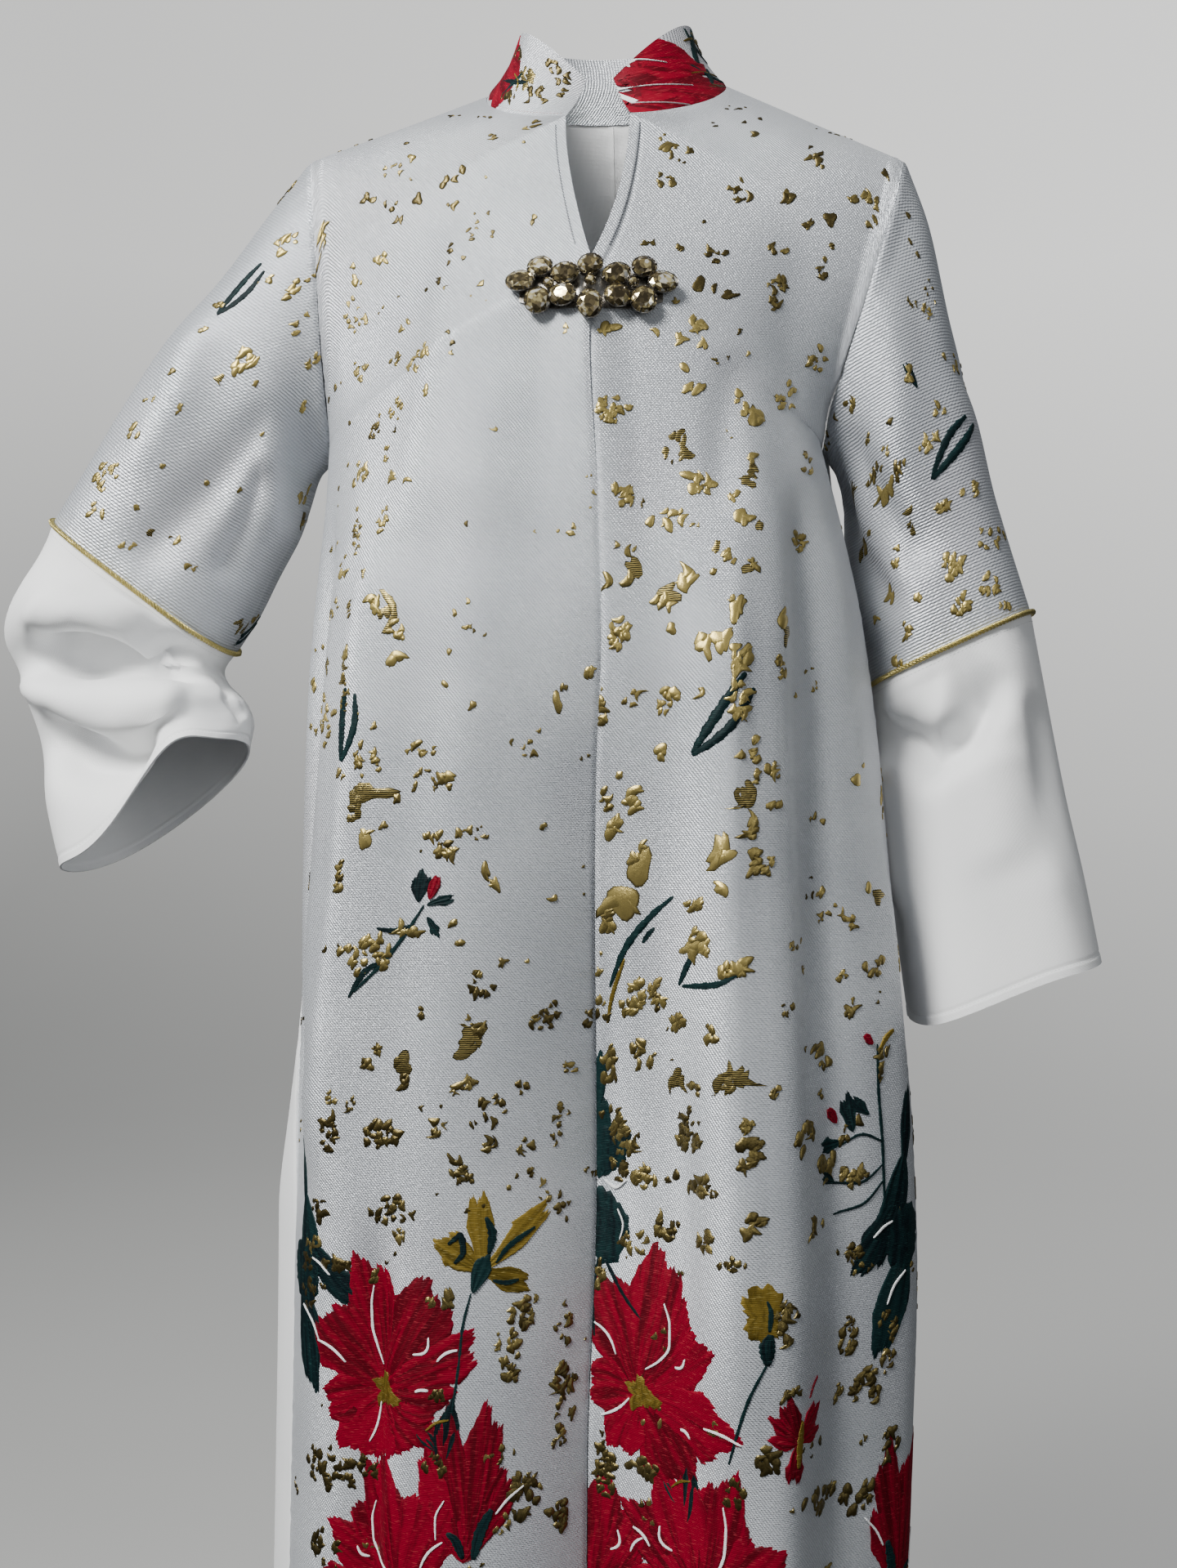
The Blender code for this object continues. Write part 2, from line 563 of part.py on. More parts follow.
def sleeve_surface(side, turn, along):
    """Outer surface of an upper sleeve; along runs from the armhole (0) to the piping (1)."""
    table = SLEEVES[side]
    first = ring_points(side, table, turn, np.zeros_like(along))
    settle = 1 - ease(along / SLEEVE_BLEND)
    points = (ring_points(side, table, turn, along)
              + settle[..., None] * (armhole_loop(side, turn) - first))
    calm = ease(along / CREASE_EASE) * ease((1 - along) / CREASE_EASE)
    return push_creases(points, side, table, "sleeve_" + side, turn, along, calm)


def cuff_surface(side, turn, along):
    """Outer surface of a bell cuff; along runs from the piping (0) to the hem (1)."""
    table = CUFFS[side]
    points = push_creases(ring_points(side, table, turn, along), side, table, "cuff_" + side,
                          turn, along, ease(along / CREASE_EASE))
    for wave in HEM_WAVES:
        if wave.side == side:
            away = (np.degrees(turn) - wave.turn + 180) % 360 - 180
            points[..., 2] += wave.rise * along ** 2 * np.exp(-(away / wave.turn_width) ** 2)
    return points


def collar_surface(column, height):
    """Outer surface of the collar; column 0 is the front corner on the wearer's right."""
    last = 2 * (NECK_ROWS + BACK_NECK_COLUMNS)
    side = "right" if column <= last / 2 else "left"
    from_front = min(column, last - column)
    if from_front <= NECK_ROWS:
        row = np.array(float(NECK_ROWS - from_front))
        base = neck_front(side, row)
        turn = math.pi / 2 * row / NECK_ROWS
        out = COLLAR_FRONT_OUT + (COLLAR_SIDE_OUT - COLLAR_FRONT_OUT) * np.cos(turn)
        depth = -COLLAR_FRONT_DEPTH * np.sin(turn)
        rise = COLLAR_SIDE_RISE - (COLLAR_SIDE_RISE + COLLAR_FRONT_DROP) * (1 - np.cos(turn))
    else:
        share = np.array(1 - (from_front - NECK_ROWS) / BACK_NECK_COLUMNS)
        base = back_neck(side, share)
        turn = math.pi / 2 * share
        out = COLLAR_SIDE_OUT * np.sin(turn)
        depth = COLLAR_BACK_DEPTH * np.cos(turn)
        rise = COLLAR_SIDE_RISE + (COLLAR_BACK_RISE - COLLAR_SIDE_RISE) * np.cos(turn)
    top = xyz(SIDES[side] * out, depth, rise)
    point = base + (top - base) * height
    pull = 1 - COLLAR_HOLLOW / NECK_SIDE_OUT * math.sin(math.pi * height)
    return point * (pull, pull, 1)


def front_at(out, drop):
    """Points and outward normals of the fronts at places given by out (x) and drop."""
    out, drop = np.broadcast_arrays(np.asarray(out, float), np.asarray(drop, float))
    points = np.zeros(out.shape + (3,))
    normals = np.zeros_like(points)
    for side, sign in SIDES.items():
        across = np.clip(np.abs(out) / SEARCH_HALF_WIDTH, 0.0, 1.0)
        row = ARMHOLE_ROWS + (drop - KEYHOLE_DROP) / (HEM_DROP - KEYHOLE_DROP) * SKIRT_ROWS
        for _ in range(SEARCH_ROUNDS):
            here = front_surface(side, across, row)
            by_across = (front_surface(side, across + SEARCH_STEP, row) - here) / SEARCH_STEP
            by_row = (front_surface(side, across, row + SEARCH_STEP) - here) / SEARCH_STEP
            miss_x = out - here[..., 0]
            miss_z = -drop - here[..., 2]
            area = by_across[..., 0] * by_row[..., 2] - by_row[..., 0] * by_across[..., 2]
            across = across + (miss_x * by_row[..., 2] - miss_z * by_row[..., 0]) / area
            row = row + (miss_z * by_across[..., 0] - miss_x * by_across[..., 2]) / area
        normal = unit(np.cross(by_row, by_across)) * sign
        chosen = (np.sign(out) == sign) | ((out == 0) & (sign > 0))
        points[chosen] = here[chosen]
        normals[chosen] = normal[chosen]
    return points, normals


def grid_normals(points, closed, outwards):
    """Unit normals of a grid, from the steps down its columns and along its rows."""
    down = np.gradient(points, axis=0)
    if closed:
        along = np.roll(points, -1, axis=1) - np.roll(points, 1, axis=1)
    else:
        along = np.gradient(points, axis=1)
    return outwards * unit(np.cross(down, along))


def material(finish):
    """The material of a finish, made once."""
    known = bpy.data.materials.get(finish)
    if known:
        return known
    made = bpy.data.materials.new(finish)
    made.use_nodes = True
    shader = made.node_tree.nodes["Principled BSDF"]
    shader.inputs["Base Color"].default_value = FINISHES[finish].color
    shader.inputs["Roughness"].default_value = FINISHES[finish].roughness
    shader.inputs["Metallic"].default_value = FINISHES[finish].metallic
    return made


def add_mesh(name, finish, vertices, faces):
    """Adds a mesh object with one of the finishes."""
    mesh = bpy.data.meshes.new(name)
    mesh.from_pydata([tuple(v) for v in vertices], [], [tuple(int(i) for i in f) for f in faces])
    mesh.update()
    mesh.materials.append(material(finish))
    mesh.shade_smooth()
    mesh.set_sharp_from_angle(angle=math.radians(SHARP_ANGLE))
    obj = bpy.data.objects.new(name, mesh)
    bpy.context.collection.objects.link(obj)
    return obj


def split_quads(vertices, a, b, c, d):
    """Two triangles for each quad a, b, c, d, cut along its shorter diagonal."""
    def length(one, other):
        return np.linalg.norm(vertices[one] - vertices[other], axis=-1)

    by_first = (length(a, c) <= length(b, d))[:, None, None]
    first = np.stack([np.stack([a, b, c], -1), np.stack([a, c, d], -1)], 1)
    second = np.stack([np.stack([a, b, d], -1), np.stack([b, c, d], -1)], 1)
    return np.where(by_first, first, second).reshape(-1, 3)


def split_rim(vertices, border, count):
    """Triangles of a rim, each quad cut from the outer point that lies further along one line.

    Two rims that face each other across a seam are so cut alike.
    """
    a, b = border[:-1], border[1:]
    c, d = b + count, a + count
    level = vertices @ RIM_ORDER
    from_first = (level[a] > level[b])[:, None, None]
    first = np.stack([np.stack([a, b, c], -1), np.stack([a, c, d], -1)], 1)
    second = np.stack([np.stack([a, b, d], -1), np.stack([b, c, d], -1)], 1)
    return np.where(from_first, first, second).reshape(-1, 3)


class Wall:
    """A piece of cloth: a grid of outer points, each with its way to the inner grid."""

    def __init__(self, name, finish, points, closed=False, outwards=1):
        self.name = name
        self.finish = finish
        self.points = points
        self.closed = closed
        self.outwards = outwards
        self.normals = grid_normals(points, closed, outwards)
        self.inwards = -self.normals * WALL
        self.shift = np.zeros_like(points)
        self.settled = np.zeros(points.shape[:2], bool)

    def build(self):
        """Makes the closed wall as a mesh object."""
        outer = self.points + self.shift
        inner = outer + self.inwards
        rows, columns = outer.shape[:2]
        count = rows * columns
        index = np.arange(count).reshape(rows, columns)
        if self.closed:
            index = np.concatenate([index, index[:, :1]], axis=1)
        corners = (index[:-1, :-1], index[1:, :-1], index[1:, 1:], index[:-1, 1:])
        vertices = np.concatenate([outer.reshape(-1, 3), inner.reshape(-1, 3)])
        surface = split_quads(vertices, *(corner.ravel() for corner in corners))
        faces = [surface, surface[:, ::-1] + count]
        borders = [index[0], index[-1][::-1]]
        if not self.closed:
            borders += [index[::-1, 0], index[:, -1]]
        faces += [split_rim(vertices, border, count) for border in borders]
        faces = np.concatenate(faces)
        if self.outwards < 0:
            faces = faces[:, ::-1]
        return add_mesh(self.name, self.finish, vertices, faces)


Corner = namedtuple("Corner", "wall row column down along")


def side_run(wall, rows, column):
    """Corners down one side of a wall, one to a knot."""
    along = 1 if column == 0 else -1
    return [[Corner(wall, row, column, 0, along)] for row in rows]


def end_run(wall, row, columns):
    """Corners along the top or the bottom of a wall, one to a knot."""
    down = 1 if row == 0 else -1
    return [[Corner(wall, row, column, down, 0)] for column in columns]


def knot_normal(corners):
    """Mean outward normal of the corners that meet in a knot."""
    return unit(sum(c.wall.normals[c.row, c.column] for c in corners))


def sew(first, second, closed=False):
    """Lets two runs of knots meet on a plane through their seam, half of the gap from it.

    Where the walls lie too close to back to back for a mitre, as in an armpit, each one ends
    square to itself.
    """
    points = np.array([knot[0].wall.points[knot[0].row, knot[0].column] for knot in first])
    if closed:
        tangents = unit(np.roll(points, -1, axis=0) - np.roll(points, 1, axis=0))
    else:
        tangents = unit(np.gradient(points, axis=0))
    for tangent, one, other in zip(tangents, first, second):
        middle = unit(knot_normal(one) + knot_normal(other))
        middle = unit(middle - tangent * np.dot(middle, tangent))
        across = unit(np.cross(tangent, middle))
        for knot in (one, other):
            normal = knot_normal(knot)
            facing = np.dot(normal, middle)
            inwards = -middle / facing if facing > BLUNTEST_MITRE else -normal
            for corner in knot:
                settle_corner(corner, inwards * WALL, across)


def settle_corner(corner, inwards, across):
    """Gives a corner its way inwards, once, and draws it back from the seam by half of the gap."""
    wall, row, column = corner.wall, corner.row, corner.column
    if not wall.settled[row, column]:
        wall.inwards[row, column] = inwards
        wall.settled[row, column] = True
    neighbour = wall.points[row + corner.down, column + corner.along]
    into = np.dot(neighbour - wall.points[row, column], across)
    wall.shift[row, column] += across * math.copysign(SEAM_GAP / 2, into)


def body_walls():
    """Both fronts and both halves of the back as grids of outer points."""
    rows = np.arange(LAST_ROW + 1, dtype=float)
    walls = {}
    for side, sign in SIDES.items():
        grid = np.meshgrid(np.linspace(0, 1, FRONT_COLUMNS + 1), rows)
        walls["front_" + side] = Wall("front_" + side, "jacquard",
                                      front_surface(side, *grid), outwards=sign)
        grid = np.meshgrid(np.linspace(0, 1, BACK_COLUMNS + 1), rows)
        walls["back_" + side] = Wall("back_" + side, "plain_white",
                                     back_half(side, *grid), outwards=-sign)
    return walls


def tube_walls():
    """Both sleeves and both cuffs as closed grids of outer points."""
    turn = np.linspace(0, 2 * math.pi, RING_COLUMNS, endpoint=False)
    walls = {}
    for side, sign in SIDES.items():
        grid = np.meshgrid(turn, np.linspace(0, 1, SLEEVE_ROWS + 1))
        walls["sleeve_" + side] = Wall("sleeve_" + side, "jacquard",
                                       sleeve_surface(side, *grid), True, -sign)
        grid = np.meshgrid(turn, np.linspace(0, 1, CUFF_ROWS + 1))
        walls["cuff_" + side] = Wall("cuff_" + side, "plain_white",
                                     cuff_surface(side, *grid), True, -sign)
    return walls


def collar_wall():
    """The stand collar, from its top edge (row 0) to the neck seam."""
    columns = range(2 * (NECK_ROWS + BACK_NECK_COLUMNS) + 1)
    heights = np.linspace(1, 0, COLLAR_ROWS + 1)
    points = np.array([[collar_surface(column, height) for column in columns]
                       for height in heights])
    return Wall("collar", "collar_print", points, outwards=-1)


def sew_armhole(walls, side):
    """Sews a sleeve into its armhole."""
    front, back, sleeve = (walls[piece + side] for piece in ("front_", "back_", "sleeve_"))
    rows = range(ARMHOLE_ROWS + 1)
    body = side_run(front, rows, FRONT_COLUMNS)
    behind = side_run(back, rows, BACK_COLUMNS)
    body[0] += behind[0]
    body[-1] += behind[-1]
    body += behind[-2:0:-1]
    sew(body, end_run(sleeve, 0, range(RING_COLUMNS)), closed=True)


def sew_neck(walls):
    """Sews the collar to the fronts and to both halves of the back."""
    right = side_run(walls["front_right"], range(NECK_ROWS, -1, -1), 0)
    left = side_run(walls["front_left"], range(NECK_ROWS + 1), 0)
    behind = end_run(walls["back_right"], 0, range(BACK_NECK_COLUMNS, -1, -1))
    behind_left = end_run(walls["back_left"], 0, range(BACK_NECK_COLUMNS + 1))
    behind[-1] += behind_left[0]
    behind += behind_left[1:]
    right[-1] += behind[0]
    left[0] += behind[-1]
    neck = right + behind[1:-1] + left
    sew(neck, end_run(walls["collar"], COLLAR_ROWS, range(len(neck))))


def draw_back_shoulder(walls, side):
    """Parts a front and its half of the back along the straight shoulder seam."""
    front, back = walls["front_" + side], walls["back_" + side]
    seam = unit(shoulder_seam(side, 1) - shoulder_seam(side, 0))
    upwards = unit(np.cross((0.0, -SIDES[side], 0.0), seam))
    for wall, first, apart in ((front, 0, -1), (back, BACK_NECK_COLUMNS, 1)):
        wall.shift[0, first:, 1] += apart * SEAM_GAP / 2
        loose = ~wall.settled[0]
        loose[:first] = False
        wall.inwards[0, loose] = -upwards * WALL


def sew_all(walls):
    """Sews every seam; corners keep the way inwards of the seam that is sewn first."""
    sew_neck(walls)
    for side in SIDES:
        sew_armhole(walls, side)
    whole = range(LAST_ROW + 1)
    lower = whole[ARMHOLE_ROWS:]
    sew(side_run(walls["front_right"], lower, 0), side_run(walls["front_left"], lower, 0))
    sew(side_run(walls["back_right"], whole, 0), side_run(walls["back_left"], whole, 0))
    for side in SIDES:
        sew(side_run(walls["front_" + side], lower, FRONT_COLUMNS),
            side_run(walls["back_" + side], lower, BACK_COLUMNS))
        draw_back_shoulder(walls, side)
        ring = range(RING_COLUMNS)
        sew(end_run(walls["sleeve_" + side], SLEEVE_ROWS, ring),
            end_run(walls["cuff_" + side], 0, ring), closed=True)


def add_piping(walls, side):
    """A closed ring of piping lying on the seam between sleeve and cuff."""
    cuff = walls["cuff_" + side]
    seam = cuff.points[0]
    normal = unit(-cuff.inwards[0])
    tangent = unit(np.roll(seam, -1, axis=0) - np.roll(seam, 1, axis=0))
    beside = unit(np.cross(tangent, normal))
    centre = seam + normal * (PIPING_RADIUS + SEAM_GAP)
    angles = np.arange(PIPING_SIDES) * 2 * math.pi / PIPING_SIDES
    points = (centre[:, None] + PIPING_RADIUS * (np.cos(angles)[:, None] * beside[:, None]
                                                 + np.sin(angles)[:, None] * normal[:, None]))
    index = np.arange(points.shape[0] * PIPING_SIDES).reshape(points.shape[0], PIPING_SIDES)
    following = np.roll(index, -1, axis=0)
    quads = np.stack([index, following, np.roll(following, -1, axis=1),
                      np.roll(index, -1, axis=1)], axis=-1).reshape(-1, 4)
    outwards = np.cross(points[1, 0] - points[0, 0], points[0, 1] - points[0, 0])
    if np.dot(outwards, points[0, 0] - centre[0]) < 0:
        quads = quads[:, ::-1]
    add_mesh("piping_" + side, "gold_braid", points.reshape(-1, 3), quads)


def brooch_place(stone):
    """Point, outward, rightward and upward axes of a stone's seat on the fronts."""
    point, normal = front_at(BROOCH_MIDDLE + stone.across * MM, BROOCH_DROP - stone.up * MM)
    rightward = unit(np.cross((0.0, 0.0, 1.0), normal))
    upward = np.cross(normal, rightward)
    tilt = math.radians(stone.tilt)
    along = rightward * math.cos(tilt) + upward * math.sin(tilt)
    beside = upward * math.cos(tilt) - rightward * math.sin(tilt)
    return point, normal, along, beside


def oval_stack(stone, levels):
    """Vertices and faces of a stack of ovals; a level is a height and a share of the size."""
    point, normal, along, beside = brooch_place(stone)
    angles = np.arange(CUP_SIDES) * 2 * math.pi / CUP_SIDES
    rings = []
    for height, share in levels:
        oval = (np.cos(angles)[:, None] * along * stone.width / 2 * MM
                + np.sin(angles)[:, None] * beside * stone.height / 2 * MM)
        rings.append(point + normal * height + oval * share)
    faces = [tuple(reversed(range(CUP_SIDES)))]
    for level in range(len(levels) - 1):
        for corner in range(CUP_SIDES):
            following = (corner + 1) % CUP_SIDES
            low, high = level * CUP_SIDES, (level + 1) * CUP_SIDES
            faces.append((low + corner, low + following, high + following, high + corner))
    top = (len(levels) - 1) * CUP_SIDES
    faces.append(tuple(range(top, top + CUP_SIDES)))
    return np.concatenate(rings), faces


def add_brooch_plate():
    """The brooch's back plate: a patch of the fronts moved outwards, in one closed wall."""
    across = np.linspace(-1, 1, PLATE_COLUMNS + 1)
    half_height = PLATE_HALF_HEIGHT * (1 - PLATE_TAPER * across ** 4)
    out, up = np.meshgrid(BROOCH_MIDDLE + across * PLATE_HALF_LENGTH, (1.0, 0.0, -1.0))
    up = up * half_height
    points, normals = front_at(out, BROOCH_DROP - up)
    plate = Wall("brooch_setting", "dark_silver", points
                 + normals * (PLATE_CLEARANCE + PLATE_THICKNESS))
    plate.inwards = -normals * PLATE_THICKNESS
    return plate.build()


def add_brooch():
    """Plate and cups as one solid, and a faceted stone above each cup."""
    plate = add_brooch_plate()
    top = PLATE_CLEARANCE + PLATE_THICKNESS
    vertices = []
    faces = []
    for stone in STONES:
        low = top - CUP_SINK
        rings, sides = oval_stack(stone, [(low, CUP_FOOT), (top + stone.cup * MM, 1.0)])
        start = len(vertices)
        vertices.extend(rings)
        faces.extend(tuple(start + i for i in face) for face in sides)
    cups = add_mesh("brooch_cups", "dark_silver", vertices, faces)
    cups.hide_render = True
    cups.display_type = "WIRE"
    union = plate.modifiers.new("Cups", "BOOLEAN")
    union.operation = "UNION"
    union.solver = "EXACT"
    union.object = cups
    for stone in STONES:
        seat = top + stone.cup * MM + STONE_CLEARANCE
        crown = stone.crown * MM
        levels = [(seat + level.crown_share * crown, level.size_share)
                  for level in STONE_LEVELS]
        add_mesh("stone_" + stone.name, "champagne_glass", *oval_stack(stone, levels))


def main():
    """Builds the kaftan."""
    clear_scene()
    walls = body_walls()
    walls.update(tube_walls())
    walls["collar"] = collar_wall()
    sew_all(walls)
    for wall in walls.values():
        wall.build()
    for side in SIDES:
        add_piping(walls, side)
    add_brooch()


main()
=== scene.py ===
"""Looks of a full-length kaftan: cloth, woven print, stitching, braid, brooch, camera and light.

Metres, +Z up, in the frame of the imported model. The wearer's front faces -Y, and left and right
are the wearer's. A "drop" is a height below the shoulder line and "out" is a distance from the
middle plane. Each piece of cloth carries its own flat coordinates, both in metres of cloth:
s across the grain and t down it.
"""
import copy
import logging
import math
from dataclasses import dataclass, field
from enum import Enum
from typing import Callable, NamedTuple, Optional, Sequence

import bpy
import numpy as np
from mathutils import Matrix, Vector, kdtree


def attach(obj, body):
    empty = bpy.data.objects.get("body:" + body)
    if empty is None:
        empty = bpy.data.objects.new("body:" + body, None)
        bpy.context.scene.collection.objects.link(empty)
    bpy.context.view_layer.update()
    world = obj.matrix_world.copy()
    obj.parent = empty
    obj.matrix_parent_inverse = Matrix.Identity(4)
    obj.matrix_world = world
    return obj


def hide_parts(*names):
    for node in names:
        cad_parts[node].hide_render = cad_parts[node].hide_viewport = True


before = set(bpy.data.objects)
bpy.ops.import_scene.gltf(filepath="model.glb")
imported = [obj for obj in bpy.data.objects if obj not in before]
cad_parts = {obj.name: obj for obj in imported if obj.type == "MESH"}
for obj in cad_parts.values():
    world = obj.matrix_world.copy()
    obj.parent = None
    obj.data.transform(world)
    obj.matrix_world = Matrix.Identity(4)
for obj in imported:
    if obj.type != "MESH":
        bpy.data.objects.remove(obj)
LOG = logging.getLogger("kaftan")
Array = np.ndarray
Colour = tuple[float, float, float, float]
MM = 0.001
TINY = 1e-12


class Side(Enum):
    """Side of the garment, as the wearer has it."""

    RIGHT = "right"
    LEFT = "left"

    @property
    def sign(self) -> int:
        """-1 on the wearer's right and 1 on the wearer's left."""
        return -1 if self is Side.RIGHT else 1


class Profile(NamedTuple):
    """Middle line of the front and the back at a drop."""

    drop: float
    front: float
    centre: float
    back: float


class SideSeam(NamedTuple):
    """Place of a side seam at a drop, and the turn of the front's oval that reaches it."""

    drop: float
    out: float
    depth: float
    turn: float


class HoleEdge(NamedTuple):
    """How far out an armhole's edge lies at a turn from the shoulder tip."""

    turn: float
    front_out: float
    back_out: float


class Bend(NamedTuple):
    """How a row of a body panel bends between its ends."""

    row: float
    front_turn: float
    back_turn: float
    flatness: float
    droop: float


class Fold(NamedTuple):
    """A soft fold of a body panel: its path in drop and across, its width and its depth."""

    panel: str
    top: float
    top_at: float
    middle: float
    middle_at: float
    low: float
    low_at: float
    width: float
    depth: float


class Ring(NamedTuple):
    """A ring of a sleeve or cuff through an outer and an inner point."""

    along: float
    outer_out: float
    outer_drop: float
    inner_out: float
    inner_drop: float
    middle: float
    depth: float
    lift: float


class Crease(NamedTuple):
    """A soft crease of a sleeve or cuff; turn 0 is the outer side and 90 the front."""

    piece: str
    turn: float
    turn_width: float
    along: float
    along_width: float
    skew: float
    depth: float


class Wave(NamedTuple):
    """A stretch of a cuff's hem that is lifted, fading out up the cuff."""

    side: Side
    turn: float
    turn_width: float
    rise: float


HEM_DROP = 1.400
ARMHOLE_ROWS = 11
NECK_ROWS = 5
SKIRT_ROWS = 22
LAST_ROW = ARMHOLE_ROWS + SKIRT_ROWS
BACK_NECK_COLUMNS = 3
BACK_SHOULDER_COLUMNS = 9

NECK_SIDE_OUT = 0.0835
NECK_SIDE_FRONT = 0.004
NECK_FRONT_DROP = 0.042
NECK_BACK_RISE = 0.004
NECK_BACK_DEPTH = 0.062
KEYHOLE_HALF_TOP = 0.0212
KEYHOLE_DROP = 0.150
KEYHOLE_BOW = {Side.RIGHT: 1.6, Side.LEFT: 2.3}

COLLAR_FRONT_OUT = 0.0090
COLLAR_FRONT_DEPTH = 0.050
COLLAR_FRONT_DROP = 0.012
COLLAR_SIDE_OUT = 0.0600
COLLAR_SIDE_RISE = 0.040
COLLAR_BACK_DEPTH = 0.050
COLLAR_BACK_RISE = 0.046
COLLAR_HOLLOW = 0.004

BACK_PIT_DROP = 0.196
BACK_ROW_GROWTH = 1.2
SHOULDER_SETTLE_ROWS = 6
SHOULDER_RIDGE = 0.0065
RIDGE_RISE_ROWS = 1.2
RIDGE_FALL_ROWS = 4
FOLD_EASE = 0.10
EDGE_EASE = 0.10
FLATNESS = 0.42
SLEEVE_BLEND = 0.55
CREASE_EASE = 0.08
PROFILE = [
    Profile(-0.010, 0.052, 0.000, 0.061),
    Profile(0.042, 0.066, 0.000, 0.077),
    Profile(0.080, 0.084, 0.000, 0.088),
    Profile(0.120, 0.100, 0.000, 0.095),
    Profile(0.150, 0.111, 0.000, 0.099),
    Profile(0.200, 0.122, 0.000, 0.101),
    Profile(0.310, 0.130, 0.006, 0.094),
    Profile(0.390, 0.131, 0.008, 0.087),
    Profile(0.470, 0.132, 0.004, 0.088),
    Profile(0.540, 0.135, 0.002, 0.094),
    Profile(0.620, 0.139, 0.001, 0.104),
    Profile(0.750, 0.147, 0.001, 0.112),
    Profile(0.920, 0.158, -0.004, 0.121),
    Profile(1.400, 0.176, -0.004, 0.140),
]

SIDE_SEAMS = {
    Side.RIGHT: [
        SideSeam(0.250, 0.1915, 0.000, 88),
        SideSeam(0.292, 0.1945, -0.005, 88),
        SideSeam(0.352, 0.2015, -0.010, 88),
        SideSeam(0.418, 0.2070, -0.012, 88),
        SideSeam(0.500, 0.2100, -0.012, 88),
        SideSeam(0.600, 0.2120, -0.016, 86),
        SideSeam(0.700, 0.2085, -0.048, 71),
        SideSeam(0.780, 0.2025, -0.066, 62),
        SideSeam(0.940, 0.2060, -0.065, 63),
        SideSeam(1.400, 0.2180, -0.060, 64),
    ],
    Side.LEFT: [
        SideSeam(0.254, 0.1480, 0.000, 88),
        SideSeam(0.315, 0.1635, -0.006, 88),
        SideSeam(0.372, 0.1755, -0.010, 88),
        SideSeam(0.461, 0.1870, -0.010, 88),
        SideSeam(0.524, 0.1925, -0.010, 88),
        SideSeam(0.644, 0.2035, -0.010, 88),
        SideSeam(0.717, 0.2095, -0.010, 88),
        SideSeam(0.811, 0.2125, -0.010, 88),
        SideSeam(0.954, 0.2080, -0.010, 88),
        SideSeam(1.010, 0.2055, -0.010, 88),
        SideSeam(1.400, 0.2140, -0.010, 88),
    ],
}

ARMHOLE_EDGES = {
    Side.RIGHT: [
        HoleEdge(0, 0.2115, 0.2115),
        HoleEdge(45, 0.2020, 0.2080),
        HoleEdge(90, 0.1935, 0.2010),
        HoleEdge(135, 0.1910, 0.1960),
        HoleEdge(180, 0.1915, 0.1915),
    ],
    Side.LEFT: [
        HoleEdge(0, 0.2065, 0.2065),
        HoleEdge(45, 0.1980, 0.2030),
        HoleEdge(90, 0.1775, 0.1900),
        HoleEdge(120, 0.1620, 0.1760),
        HoleEdge(145, 0.1515, 0.1610),
        HoleEdge(180, 0.1480, 0.1480),
    ],
}

BENDS = [
    Bend(0, 1, 60, 1.00, 1.00),
    Bend(2, 45, 64, 1.05, 1.00),
    Bend(6, 70, 74, 1.15, 1.15),
    Bend(ARMHOLE_ROWS, 88, 92, 1.35, 1.90),
    Bend(18, 88, 92, 1.22, 1.40),
    Bend(LAST_ROW, 88, 92, 1.05, 1.00),
]

FOLDS = [
    Fold("front_right", 0.08, 0.66, 0.17, 0.62, 0.28, 0.52, 0.130, -0.0050),
    Fold("front_right", 0.25, 0.54, 0.48, 0.61, 0.78, 0.80, 0.080, 0.0080),
    Fold("front_right", 0.27, 0.76, 0.47, 0.79, 0.72, 0.90, 0.065, -0.0110),
    Fold("front_right", 0.74, 0.60, 1.00, 0.62, 1.50, 0.61, 0.070, -0.0100),
    Fold("front_left", 0.09, 0.60, 0.17, 0.64, 0.28, 0.72, 0.120, -0.0045),
    Fold("front_left", 0.24, 0.45, 0.56, 0.38, 1.50, 0.42, 0.070, 0.0075),
    Fold("front_left", 0.28, 0.62, 0.60, 0.56, 1.50, 0.60, 0.075, -0.0095),
    Fold("front_left", 0.48, 0.78, 0.90, 0.77, 1.50, 0.79, 0.075, 0.0080),
    Fold("front_left", 0.60, 0.20, 0.95, 0.19, 1.50, 0.21, 0.070, -0.0050),
    Fold("back", 0.30, -0.62, 0.70, -0.60, 1.50, -0.63, 0.080, -0.0110),
    Fold("back", 0.36, -0.36, 0.75, -0.38, 1.50, -0.36, 0.075, 0.0090),
    Fold("back", 0.26, -0.10, 0.70, -0.13, 1.50, -0.15, 0.085, -0.0120),
    Fold("back", 0.40, 0.13, 0.80, 0.12, 1.50, 0.10, 0.080, 0.0080),
    Fold("back", 0.30, 0.37, 0.72, 0.36, 1.50, 0.38, 0.075, -0.0115),
    Fold("back", 0.42, 0.66, 0.85, 0.62, 1.50, 0.64, 0.080, 0.0090),
]

